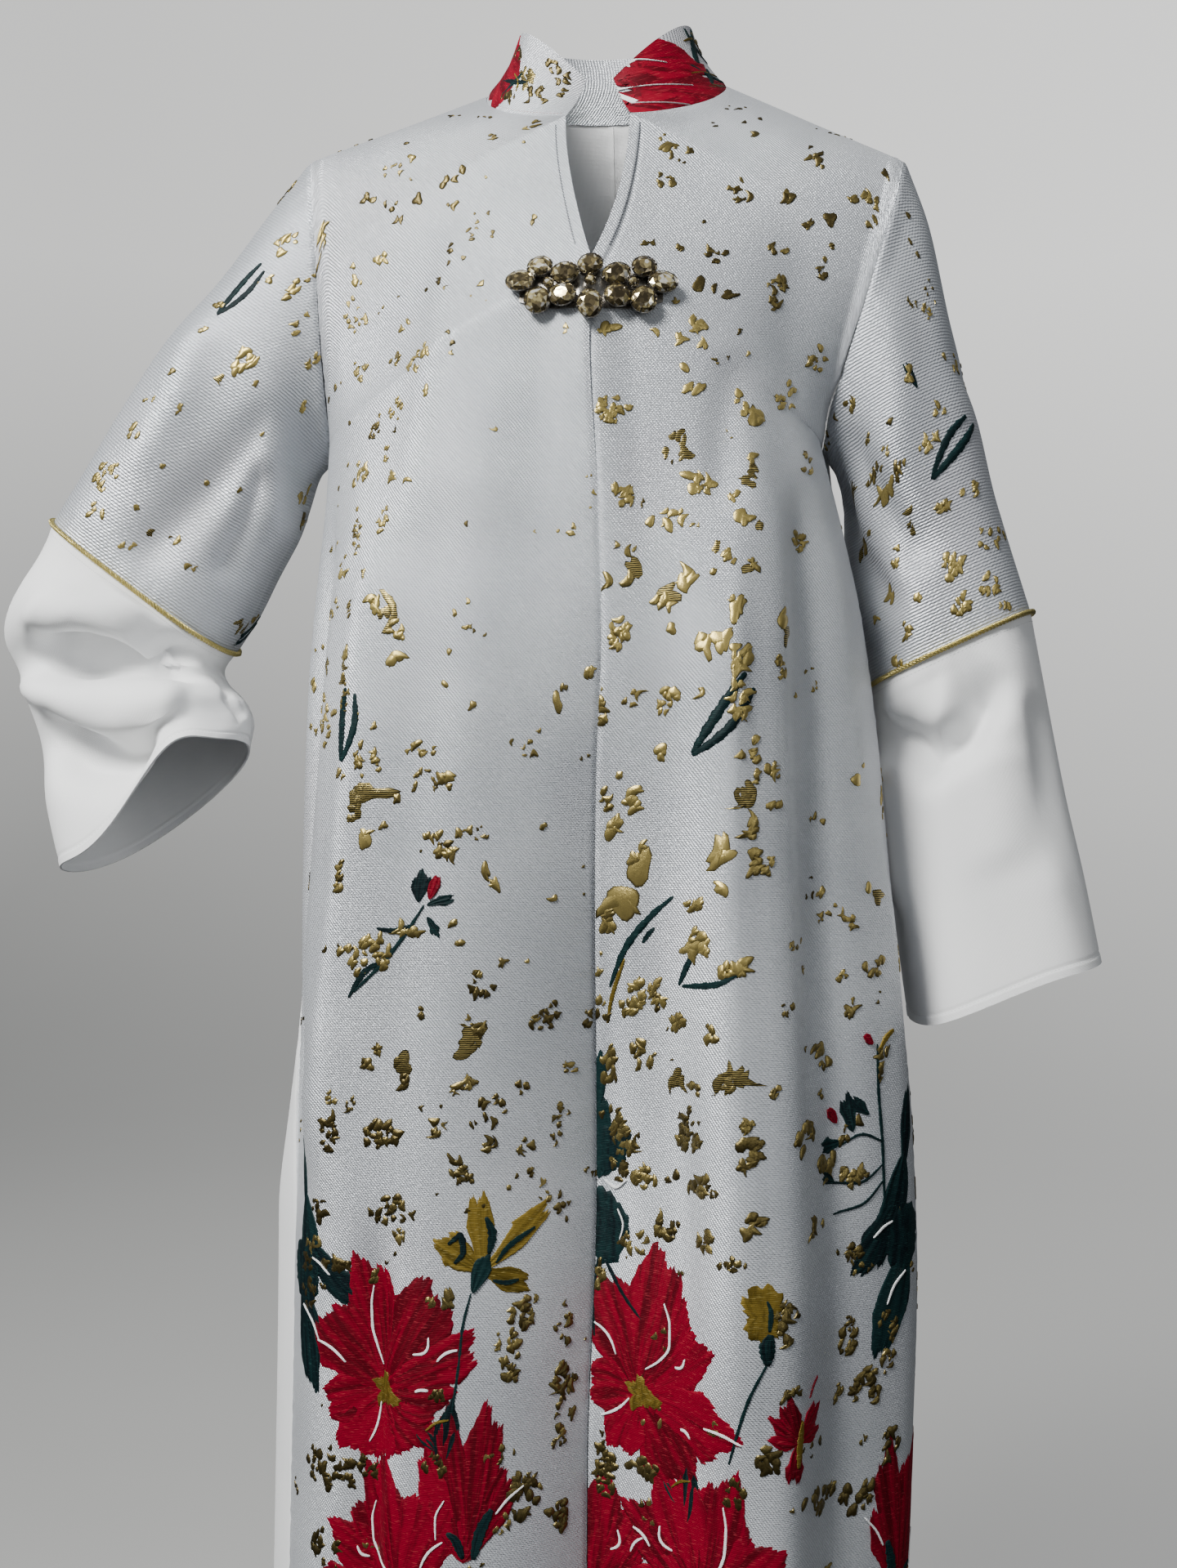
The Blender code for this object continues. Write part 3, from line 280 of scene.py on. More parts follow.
SLEEVES = {
    Side.LEFT: [
        Ring(0.00, 0.2065, 0.0575, 0.1480, 0.2540, 0.000, 0.056, 0.000),
        Ring(0.17, 0.2225, 0.1000, 0.1590, 0.2700, 0.007, 0.062, 0.000),
        Ring(0.38, 0.2380, 0.1710, 0.1650, 0.2910, 0.018, 0.068, 0.000),
        Ring(0.58, 0.2555, 0.2290, 0.1670, 0.3160, 0.029, 0.072, 0.000),
        Ring(0.79, 0.2730, 0.2950, 0.1710, 0.3560, 0.038, 0.075, 0.000),
        Ring(1.00, 0.2945, 0.3640, 0.1830, 0.4150, 0.043, 0.077, 0.002),
    ],
    Side.RIGHT: [
        Ring(0.00, 0.2115, 0.0420, 0.1915, 0.2500, 0.000, 0.054, 0.000),
        Ring(0.16, 0.2400, 0.0780, 0.2080, 0.2650, 0.002, 0.058, 0.000),
        Ring(0.34, 0.2740, 0.1250, 0.2170, 0.2830, 0.004, 0.060, 0.000),
        Ring(0.50, 0.3100, 0.1640, 0.2260, 0.3060, 0.006, 0.059, 0.000),
        Ring(0.68, 0.3460, 0.2130, 0.2415, 0.3340, 0.009, 0.058, 0.000),
        Ring(0.84, 0.3740, 0.2560, 0.2570, 0.3630, 0.011, 0.057, 0.000),
        Ring(1.00, 0.3985, 0.2920, 0.2735, 0.3870, 0.012, 0.056, 0.000),
    ],
}

CUFFS = {
    Side.LEFT: [
        Ring(0.00, 0.2945, 0.3640, 0.1830, 0.4150, 0.043, 0.077, 0.002),
        Ring(0.33, 0.3085, 0.4415, 0.1920, 0.4850, 0.041, 0.079, 0.003),
        Ring(0.55, 0.3175, 0.4920, 0.1975, 0.5350, 0.038, 0.081, 0.003),
        Ring(0.78, 0.3285, 0.5450, 0.2040, 0.5900, 0.034, 0.083, 0.003),
        Ring(1.00, 0.3385, 0.6030, 0.2110, 0.6450, 0.029, 0.085, 0.004),
    ],
    Side.RIGHT: [
        Ring(0.00, 0.3985, 0.2920, 0.2735, 0.3870, 0.012, 0.056, 0.000),
        Ring(0.16, 0.4135, 0.3400, 0.2830, 0.3990, 0.010, 0.060, 0.002),
        Ring(0.30, 0.4335, 0.3840, 0.2770, 0.4080, 0.007, 0.060, 0.003),
        Ring(0.42, 0.4185, 0.4120, 0.2660, 0.4170, 0.000, 0.061, 0.003),
        Ring(0.56, 0.4035, 0.4460, 0.2580, 0.4260, -0.007, 0.062, 0.003),
        Ring(0.78, 0.3900, 0.4960, 0.2520, 0.4380, -0.018, 0.063, 0.003),
        Ring(1.00, 0.3725, 0.5440, 0.2525, 0.4520, -0.030, 0.064, 0.003),
    ],
}

CREASES = [
    Crease("sleeve_left", 62, 20, 0.28, 0.30, -10, -0.0045),
    Crease("sleeve_left", 105, 24, 0.55, 0.34, 15, 0.0045),
    Crease("sleeve_left", 140, 20, 0.75, 0.26, 20, -0.0060),
    Crease("sleeve_left", 250, 26, 0.60, 0.34, -15, -0.0060),
    Crease("sleeve_right", 150, 26, 0.22, 0.16, 60, -0.0080),
    Crease("sleeve_right", 168, 24, 0.42, 0.14, -40, 0.0060),
    Crease("sleeve_right", 120, 30, 0.62, 0.20, 70, -0.0060),
    Crease("sleeve_right", 70, 30, 0.78, 0.20, -60, 0.0040),
    Crease("sleeve_right", 262, 28, 0.50, 0.30, 30, -0.0060),
    Crease("cuff_left", 120, 34, 0.16, 0.12, 40, -0.0060),
    Crease("cuff_left", 78, 22, 0.24, 0.14, -50, 0.0060),
    Crease("cuff_left", 40, 16, 0.55, 0.45, 0, -0.0050),
    Crease("cuff_left", 235, 26, 0.45, 0.40, 20, -0.0070),
    Crease("cuff_left", 292, 24, 0.70, 0.40, -10, 0.0050),
    Crease("cuff_right", 80, 62, 0.19, 0.090, 0, 0.0140),
    Crease("cuff_right", 76, 54, 0.37, 0.075, 0, -0.0220),
    Crease("cuff_right", 58, 32, 0.62, 0.110, 0, -0.0120),
    Crease("cuff_right", 110, 30, 0.56, 0.120, 0, 0.0080),
    Crease("cuff_right", 150, 26, 0.72, 0.200, 0, -0.0060),
    Crease("cuff_right", 250, 40, 0.34, 0.120, 0, -0.0090),
]

HEM_WAVES = [
    Wave(Side.RIGHT, 70, 30, -0.012),
    Wave(Side.RIGHT, 122, 28, 0.016),
    Wave(Side.RIGHT, 265, 50, -0.006),
    Wave(Side.LEFT, 70, 34, 0.004),
    Wave(Side.LEFT, 150, 30, -0.004),
]


@dataclass(frozen=True)
class Armhole:
    """An armhole: an oval loop from the shoulder tip down to the armpit."""

    tip_drop: float
    pit_drop: float
    front: float
    back: float


ARMHOLES = {
    Side.RIGHT: Armhole(0.0420, 0.250, 0.050, 0.056),
    Side.LEFT: Armhole(0.0575, 0.254, 0.054, 0.056),
}


def unit(vectors: Array) -> Array:
    """Vectors scaled to a length of one."""
    length = np.linalg.norm(vectors, axis=-1, keepdims=True)
    return vectors / np.maximum(length, TINY)


def ease(value: Array) -> Array:
    """A soft step from 0 to 1: 3v squared less 2v cubed."""
    value = np.clip(value, 0.0, 1.0)
    return value * value * (3 - 2 * value)


def bump(distance: Array, width: float) -> Array:
    """A bell shape: 1 at no distance, fading out over the width."""
    return np.exp(-(distance / width) ** 2)


def xyz(x: Array, y: Array, z: Array) -> Array:
    """Points from three arrays or numbers."""
    return np.stack(np.broadcast_arrays(x, y, z), axis=-1).astype(float)


def smooth_between(at: Array, stations: Sequence[float], values: Sequence[float]) -> Array:
    """Reads a smooth curve through given points, with no overshoot.

    Between two stations the curve is a cubic whose slopes are the harmonic means of the
    slopes beside it.

    Args:
        at: Where the curve is read.
        stations: Places of the given points, rising.
        values: Values of the given points.

    Returns:
        The curve's values.
    """
    places = np.asarray(stations, float)
    heights = np.asarray(values, float)
    rise = np.diff(heights) / np.diff(places)
    slope = np.zeros_like(heights)
    product = rise[1:] * rise[:-1]
    total = np.where(product > 0, rise[1:] + rise[:-1], 1.0)
    slope[1:-1] = np.where(product > 0, 2 * product / total, 0.0)
    slope[0], slope[-1] = rise[0], rise[-1]
    at = np.clip(at, places[0], places[-1])
    cell = np.clip(np.searchsorted(places, at, side="right") - 1, 0, len(rise) - 1)
    step = places[cell + 1] - places[cell]
    t = (at - places[cell]) / step
    start = heights[cell] * (1 + 2 * t) * (1 - t) ** 2 + slope[cell] * step * t * (1 - t) ** 2
    end = heights[cell + 1] * t * t * (3 - 2 * t) + slope[cell + 1] * step * t * t * (t - 1)
    return start + end


def read(table: Sequence[NamedTuple], at: Array, column: str) -> Array:
    """A table's column, read smoothly at any place of its first column."""
    return smooth_between(at, [row[0] for row in table], [getattr(row, column) for row in table])


class BodyShape:
    """Surfaces of both fronts and the back."""

    @staticmethod
    def neck_front(side: Side, row: Array) -> Array:
        """Neck edge from the side of the neck (row 0) to the corner of the keyhole.

        Args:
            side: Side of the garment.
            row: Rows, counted down from the shoulder line.

        Returns:
            Points of the edge.
        """
        turn = math.pi / 2 * row / NECK_ROWS
        corner = read(PROFILE, np.full_like(turn, NECK_FRONT_DROP), "front")
        out = KEYHOLE_HALF_TOP + (NECK_SIDE_OUT - KEYHOLE_HALF_TOP) * np.cos(turn)
        depth = NECK_SIDE_FRONT + (corner - NECK_SIDE_FRONT) * np.sin(turn)
        return xyz(side.sign * out, -depth, -NECK_FRONT_DROP * np.sin(turn))

    @staticmethod
    def keyhole_edge(side: Side, row: Array) -> Array:
        """Edge of the keyhole, from the neck to the top of the centre seam.

        Args:
            side: Side of the garment.
            row: Rows, counted down from the shoulder line.

        Returns:
            Points of the edge.
        """
        share = (row - NECK_ROWS) / (ARMHOLE_ROWS - NECK_ROWS)
        drop = NECK_FRONT_DROP + (KEYHOLE_DROP - NECK_FRONT_DROP) * share
        half = KEYHOLE_HALF_TOP * (1 - np.clip(share, 0, 1) ** KEYHOLE_BOW[side])
        return xyz(side.sign * half, -read(PROFILE, drop, "front"), -drop)

    @staticmethod
    def centre_front(row: Array) -> Array:
        """Centre seam, from the keyhole to the hem."""
        drop = KEYHOLE_DROP + (HEM_DROP - KEYHOLE_DROP) * (row - ARMHOLE_ROWS) / SKIRT_ROWS
        return xyz(read(PROFILE, drop, "centre"), -read(PROFILE, drop, "front"), -drop)

    @classmethod
    def inner_edge(cls, side: Side, row: Array) -> Array:
        """Inner edge of a front: the neck, then the keyhole, then the centre seam.

        Args:
            side: Side of the garment.
            row: Rows, counted down from the shoulder line.

        Returns:
            Points of the edge.
        """
        above = np.where((row > NECK_ROWS)[..., None], cls.keyhole_edge(side, row),
                         cls.neck_front(side, np.minimum(row, NECK_ROWS)))
        return np.where((row > ARMHOLE_ROWS)[..., None],
                        cls.centre_front(np.maximum(row, ARMHOLE_ROWS)), above)

    @staticmethod
    def centre_back(row: Array) -> Array:
        """Middle line of the back, from the neck to the hem.

        Args:
            row: Rows, counted down from the shoulder line.

        Returns:
            Points of the line.
        """
        upper = (np.minimum(row, ARMHOLE_ROWS) / ARMHOLE_ROWS) ** BACK_ROW_GROWTH
        lower = np.maximum(row - ARMHOLE_ROWS, 0) / SKIRT_ROWS
        drop = (-NECK_BACK_RISE + (BACK_PIT_DROP + NECK_BACK_RISE) * upper
                + (HEM_DROP - BACK_PIT_DROP) * lower)
        return xyz(0.0, read(PROFILE, drop, "back"), -drop)

    @staticmethod
    def armhole_edge(side: Side, turn: Array, face: str) -> Array:
        """Point of an armhole loop; the turn is in radians from the shoulder tip.

        Args:
            side: Side of the garment.
            turn: Turns from the shoulder tip.
            face: Either "front" or "back".

        Returns:
            Points of the loop.
        """
        hole = ARMHOLES[side]
        middle = (hole.tip_drop + hole.pit_drop) / 2
        half = (hole.pit_drop - hole.tip_drop) / 2
        out = read(ARMHOLE_EDGES[side], np.degrees(turn), face + "_out")
        depth = hole.back if face == "back" else -hole.front
        return xyz(side.sign * out, depth * np.sin(turn), -(middle - half * np.cos(turn)))

    @classmethod
    def outer_edge(cls, side: Side, row: Array, face: str) -> Array:
        """Outer edge of a panel: the armhole, then the side seam.

        Args:
            side: Side of the garment.
            row: Rows, counted down from the shoulder line.
            face: Either "front" or "back".

        Returns:
            Points of the edge.
        """
        upper = cls.armhole_edge(side, math.pi * np.minimum(row, ARMHOLE_ROWS) / ARMHOLE_ROWS,
                                 face)
        pit = ARMHOLES[side].pit_drop
        drop = pit + (HEM_DROP - pit) * np.maximum(row - ARMHOLE_ROWS, 0) / SKIRT_ROWS
        seam = SIDE_SEAMS[side]
        lower = xyz(side.sign * read(seam, drop, "out"), read(seam, drop, "depth"), -drop)
        return np.where((row > ARMHOLE_ROWS)[..., None], lower, upper)

    @staticmethod
    def side_turn(side: Side, row: Array) -> Array:
        """Turn of a front's oval where it reaches its outer edge, in degrees.

        Args:
            side: Side of the garment.
            row: Rows, counted down from the shoulder line.

        Returns:
            The turns.
        """
        pit = ARMHOLES[side].pit_drop
        drop = pit + (HEM_DROP - pit) * np.maximum(row - ARMHOLE_ROWS, 0) / SKIRT_ROWS
        return np.where(row > ARMHOLE_ROWS, read(SIDE_SEAMS[side], drop, "turn"),
                        read(BENDS, row, "front_turn"))

    @staticmethod
    def oval_row(inner: Array, outer: Array, turn: Array, across: Array, flatness: Array,
                 droop: Array) -> Array:
        """Points of a row: an arc of an oval from its inner to its outer end.

        Sideways the step grows with the sine of the turn reached, and inwards with one less
        its cosine, raised to the flatness.

        Args:
            inner: Points of the inner edge.
            outer: Points of the outer edge.
            turn: Turn of the oval at the outer edge, in degrees.
            across: Shares of the way from the inner (0) to the outer edge (1).
            flatness: Power of the step inwards.
            droop: Power of the step down.

        Returns:
            Points of the rows.
        """
        angle = np.radians(turn)
        sideways = np.sin(angle * across) / np.sin(angle)
        inwards = ((1 - np.cos(angle * across)) / (1 - np.cos(angle))) ** flatness
        down = 1 - (1 - across) ** droop
        step = outer - inner
        return inner + step * np.stack([sideways, inwards, down], axis=-1)

    @staticmethod
    def push_folds(points: Array, panel: str, across: Array, facing: Array) -> Array:
        """Moves a panel's points by its soft folds, level with the ground and calm at seams.

        Args:
            points: Points of the panel.
            panel: Name of the panel.
            across: Shares of the way across, with a sign on the back.
            facing: Outward directions.

        Returns:
            The moved points.
        """
        drop = -points[..., 2]
        depth = np.zeros(drop.shape)
        for fold in (f for f in FOLDS if f.panel == panel):
            path = smooth_between(drop, (fold.top, fold.middle, fold.low),
                                  (fold.top_at, fold.middle_at, fold.low_at))
            fade = ease((drop - fold.top) / FOLD_EASE) * ease((fold.low - drop) / FOLD_EASE)
            depth += fold.depth * fade * bump(across - path, fold.width)
        distance = np.abs(across)
        calm = ease((1 - distance) / EDGE_EASE)
        if panel != "back":
            calm = calm * ease(distance / EDGE_EASE)
        return points + facing * (calm * depth)[..., None]

    @staticmethod
    def level_facing(side: Side, across: Array) -> Array:
        """Outward direction, level with the ground, at a share of the way round."""
        angle = across * math.pi / 2
        return xyz(side.sign * np.sin(angle), -np.cos(angle), 0.0)

    @classmethod
    def front(cls, side: Side, across: Array, row: Array) -> Array:
        """Surface of a front; across runs from its inner (0) to its outer edge (1).

        Args:
            side: Side of the garment.
            across: Shares of the way from the inner (0) to the outer edge (1).
            row: Rows, counted down from the shoulder line.

        Returns:
            Points of the front.
        """
        points = cls.oval_row(cls.inner_edge(side, row), cls.outer_edge(side, row, "front"),
                              cls.side_turn(side, row), across, read(BENDS, row, "flatness"),
                              read(BENDS, row, "droop"))
        return cls.push_folds(points, "front_" + side.value, across,
                              cls.level_facing(side, across))

    @classmethod
    def back_half(cls, side: Side, across: Array, row: Array) -> Array:
        """Surface of half of the back; across runs from the middle (0) to the side (1).

        Args:
            side: Side of the garment.
            across: Shares of the way from the inner (0) to the outer edge (1).
            row: Rows, counted down from the shoulder line.

        Returns:
            Points of the half.
        """
        neck_share = BACK_NECK_COLUMNS / (BACK_NECK_COLUMNS + BACK_SHOULDER_COLUMNS)
        turn = np.where(row > ARMHOLE_ROWS, 180 - cls.side_turn(side, row),
                        read(BENDS, row, "back_turn"))
        flat = np.ones_like(row)
        points = cls.oval_row(cls.centre_back(row), cls.outer_edge(side, row, "back"), turn,
                              across, flat, read(BENDS, row, "droop"))
        top = np.zeros_like(row)
        plain = cls.oval_row(cls.centre_back(top), cls.outer_edge(side, top, "back"),
                             read(BENDS, top, "back_turn"), across, flat, flat)
        beyond = np.clip((across - neck_share) / (1 - neck_share), 0, 1)
        quarter = np.clip(across / neck_share, 0, 1) * math.pi / 2
        neck = xyz(side.sign * NECK_SIDE_OUT * np.sin(quarter),
                   -NECK_SIDE_FRONT + (NECK_BACK_DEPTH + NECK_SIDE_FRONT) * np.cos(quarter),
                   NECK_BACK_RISE * np.cos(quarter))
        seam_start = cls.neck_front(side, np.zeros(()))
        seam_end = cls.armhole_edge(side, np.zeros(()), "front")
        seam = seam_start + (seam_end - seam_start) * beyond[..., None]
        settle = 1 - ease(row / SHOULDER_SETTLE_ROWS)
        real = np.where((across < neck_share)[..., None], neck, seam)
        points = points + settle[..., None] * (real - plain)
        rise = ease(row / RIDGE_RISE_ROWS) * (1 - ease((row - 1) / RIDGE_FALL_ROWS))
        points[..., 2] += SHOULDER_RIDGE * np.sin(math.pi * beyond) * rise
        facing = cls.level_facing(side, across) * (1, -1, 1)
        return cls.push_folds(points, "back", side.sign * across, facing)


class TubeShape:
    """Surfaces of the sleeves and the bell cuffs; turn 0 is the outer side."""

    @staticmethod
    def axis(side: Side, table: Sequence[Ring], along: Array) -> tuple[Array, Array, Array]:
        """Middle of a ring, its half width vector and its half depth vector.

        Args:
            side: Side of the garment.
            table: Rings of the tube.
            along: Shares of the way down the tube.

        Returns:
            Middles, half widths and half depths, each as vectors.
        """
        values = {name: read(table, along, name) for name in Ring._fields[1:]}
        outer = xyz(values["outer_out"], 0.0, -values["outer_drop"])
        inner = xyz(values["inner_out"], 0.0, -values["inner_drop"])
        middle = (outer + inner) / 2
        middle[..., 1] = values["middle"]
        mirror = (side.sign, 1, 1)
        near = xyz(0.0, -values["depth"], values["lift"])
        return middle * mirror, (outer - inner) / 2 * mirror, near

    @classmethod
    def ring(cls, side: Side, table: Sequence[Ring], turn: Array, along: Array) -> Array:
        """Points of a flattened ring: middle + half width x cosine + half depth x sine x
        (1 + flatness x cosine squared).

        Args:
            side: Side of the garment.
            table: Rings of the tube.
            turn: Turns round the tube, in radians.
            along: Shares of the way down the tube.

        Returns:
            Points of the rings.
        """
        middle, half, near = cls.axis(side, table, along)
        deep = np.sin(turn) * (1 + FLATNESS * np.cos(turn) ** 2)
        return middle + half * np.cos(turn)[..., None] + near * deep[..., None]

    @classmethod
    def push_creases(cls, points: Array, side: Side, table: Sequence[Ring], piece: str,
                     turn: Array, along: Array, calm: Array) -> Array:
        """Moves a tube's points out from its middle by the depth of its creases.

        Args:
            points: Points of the tube.
            side: Side of the garment.
            table: Rings of the tube.
            piece: Name of the piece.
            turn: Turns round the tube, in radians.
            along: Shares of the way down the tube.
            calm: Share of the creases that is kept.

        Returns:
            The moved points.
        """
        depth = np.zeros(turn.shape)
        for crease in (c for c in CREASES if c.piece == piece):
            away = np.degrees(turn) - crease.turn - crease.skew * (along - crease.along)
            away = (away + 180) % 360 - 180
            depth += (crease.depth * bump(away, crease.turn_width)
                      * bump(along - crease.along, crease.along_width))
        outwards = unit(cls.ring(side, table, turn, along) - cls.axis(side, table, along)[0])
        return points + outwards * (calm * depth)[..., None]

    @classmethod
    def sleeve(cls, side: Side, turn: Array, along: Array) -> Array:
        """Surface of an upper sleeve, from the armhole (0) to the piping (1).

        Args:
            side: Side of the garment.
            turn: Turns round the tube, in radians.
            along: Shares of the way down the tube.

        Returns:
            Points of the sleeve.
        """
        table = SLEEVES[side]
        around = np.arccos(np.clip(np.cos(turn), -1, 1))
        hole = np.where((np.sin(turn) >= 0)[..., None],
                        BodyShape.armhole_edge(side, around, "front"),
                        BodyShape.armhole_edge(side, around, "back"))
        first = cls.ring(side, table, turn, np.zeros_like(along))
        settle = 1 - ease(along / SLEEVE_BLEND)
        points = cls.ring(side, table, turn, along) + settle[..., None] * (hole - first)
        calm = ease(along / CREASE_EASE) * ease((1 - along) / CREASE_EASE)
        return cls.push_creases(points, side, table, "sleeve_" + side.value, turn, along, calm)

    @classmethod
    def cuff(cls, side: Side, turn: Array, along: Array) -> Array:
        """Surface of a bell cuff, from the piping (0) to the hem (1).

        Args:
            side: Side of the garment.
            turn: Turns round the tube, in radians.
            along: Shares of the way down the tube.

        Returns:
            Points of the cuff.
        """
        table = CUFFS[side]
        points = cls.push_creases(cls.ring(side, table, turn, along), side, table,
                                  "cuff_" + side.value, turn, along, ease(along / CREASE_EASE))
        for wave in (w for w in HEM_WAVES if w.side is side):
            away = (np.degrees(turn) - wave.turn + 180) % 360 - 180
            points[..., 2] += wave.rise * along ** 2 * bump(away, wave.turn_width)
        return points


def collar_surface(column: Array, height: Array) -> Array:
    """Surface of the stand collar, straight from the neck seam to its own top edge.

    Args:
        column: 0 at the front corner on the wearer's right, rising round the neck.
        height: 0 at the neck seam and 1 at the top edge.

    Returns:
        Points, drawn in a little at half height.
    """
    last = 2 * (NECK_ROWS + BACK_NECK_COLUMNS)
    from_front = np.minimum(column, last - column)
    sign = np.where(column <= last / 2, -1, 1)
    row = np.clip(NECK_ROWS - from_front, 0, NECK_ROWS)
    turn = math.pi / 2 * row / NECK_ROWS
    base = BodyShape.neck_front(Side.LEFT, row)
    top = xyz(COLLAR_FRONT_OUT + (COLLAR_SIDE_OUT - COLLAR_FRONT_OUT) * np.cos(turn),
              -COLLAR_FRONT_DEPTH * np.sin(turn),
              COLLAR_SIDE_RISE - (COLLAR_SIDE_RISE + COLLAR_FRONT_DROP) * (1 - np.cos(turn)))
    share = np.clip(1 - (from_front - NECK_ROWS) / BACK_NECK_COLUMNS, 0, 1) * math.pi / 2
    back_base = xyz(NECK_SIDE_OUT * np.sin(share),
                    -NECK_SIDE_FRONT + (NECK_BACK_DEPTH + NECK_SIDE_FRONT) * np.cos(share),
                    NECK_BACK_RISE * np.cos(share))
    back_top = xyz(COLLAR_SIDE_OUT * np.sin(share), COLLAR_BACK_DEPTH * np.cos(share),
                   COLLAR_SIDE_RISE + (COLLAR_BACK_RISE - COLLAR_SIDE_RISE) * np.cos(share))
    behind = (from_front > NECK_ROWS)[..., None]
    low = np.where(behind, back_base, base)
    high = np.where(behind, back_top, top)
    point = low + (high - low) * height[..., None]
    pull = 1 - COLLAR_HOLLOW / NECK_SIDE_OUT * np.sin(math.pi * height)
    return point * np.stack([pull * sign, pull, np.ones_like(pull)], axis=-1)


# A point lies on its piece where its flat place is met this closely, in metres.
ON_CLOTH = 0.0006
NEWTON_ROUNDS = 8
NEWTON_REACH = 6
TREE_STEP = 4
SHARP_ANGLE = 50


def write_mesh(name: str, vertices: Array, faces: Sequence[Array], finish: "Finish",
               uv: Optional[Array] = None, marks: Optional[dict[str, Array]] = None,
               smooth: bool = True) -> bpy.types.Object:
    """Puts arrays into a new mesh object that rides on the kaftan.

    Args:
        name: The object's name.
        vertices: Points, one to a row.
        faces: Arrays of corner indices, one array for each number of corners.
        finish: The finish that the piece takes.
        uv: Flat coordinates of each face corner, in the order of the faces.
        marks: Named numbers of each point, for the finish to read.
        smooth: Whether the faces are shaded smooth.

    Returns:
        The object.
    """
    mesh = bpy.data.meshes.new(name)
    corners = np.concatenate([f.ravel() for f in faces]).astype(np.int32)
    sizes = np.concatenate([np.full(len(f), f.shape[1]) for f in faces])
    mesh.vertices.add(len(vertices))
    mesh.vertices.foreach_set("co", np.asarray(vertices, np.float32).ravel())
    mesh.loops.add(len(corners))
    mesh.loops.foreach_set("vertex_index", corners)
    mesh.polygons.add(len(sizes))
    mesh.polygons.foreach_set("loop_start", (np.cumsum(sizes) - sizes).astype(np.int32))
    if uv is not None:
        layer = mesh.uv_layers.new(name="Cloth")
        layer.data.foreach_set("uv", np.asarray(uv, np.float32).ravel())
    for mark, values in (marks or {}).items():
        made = mesh.attributes.new(mark, "FLOAT", "POINT")
        made.data.foreach_set("value", np.asarray(values, np.float32).ravel())
    mesh.update(calc_edges=True)
    mesh.validate()
    if smooth:
        mesh.shade_smooth()
        mesh.set_sharp_from_angle(angle=math.radians(SHARP_ANGLE))
    else:
        mesh.shade_flat()
    mesh.materials.append(finish.material())
    piece = bpy.data.objects.new(name, mesh)
    bpy.context.collection.objects.link(piece)
    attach(piece, "root")
    LOG.info("%s: %d faces", name, len(mesh.polygons))
    return piece


def grid_quads(index: Array) -> Array:
    """Corner indices of the quads of a grid of point numbers."""
    return np.stack([index[:-1, :-1], index[1:, :-1], index[1:, 1:], index[:-1, 1:]],
                    axis=-1).reshape(-1, 4)


def closed_up(number: Array) -> Array:
    """A grid whose first column is set after its last."""
    return np.concatenate([number, number[:, :1]], axis=1)


def quad_normals(points: Array, quads: Array) -> Array:
    """Normals of quads, across both diagonals and as long as twice their area."""
    return np.cross(points[quads[:, 2]] - points[quads[:, 0]],
                    points[quads[:, 3]] - points[quads[:, 1]])


def grid_normals(points: Array, closed: bool, outwards: int) -> Array:
    """Unit normals of a grid, from the steps down its columns and along its rows.

    Args:
        points: Rows of points.
        closed: Whether each row is a ring.
        outwards: 1 or -1, so that normals point out.

    Returns:
        The normals.
    """
    down = np.gradient(points, axis=0)
    if closed:
        ring = points[:, :-1]
        along = closed_up(np.roll(ring, -1, axis=1) - np.roll(ring, 1, axis=1))
    else:
        along = np.gradient(points, axis=1)
    return outwards * unit(np.cross(down, along))


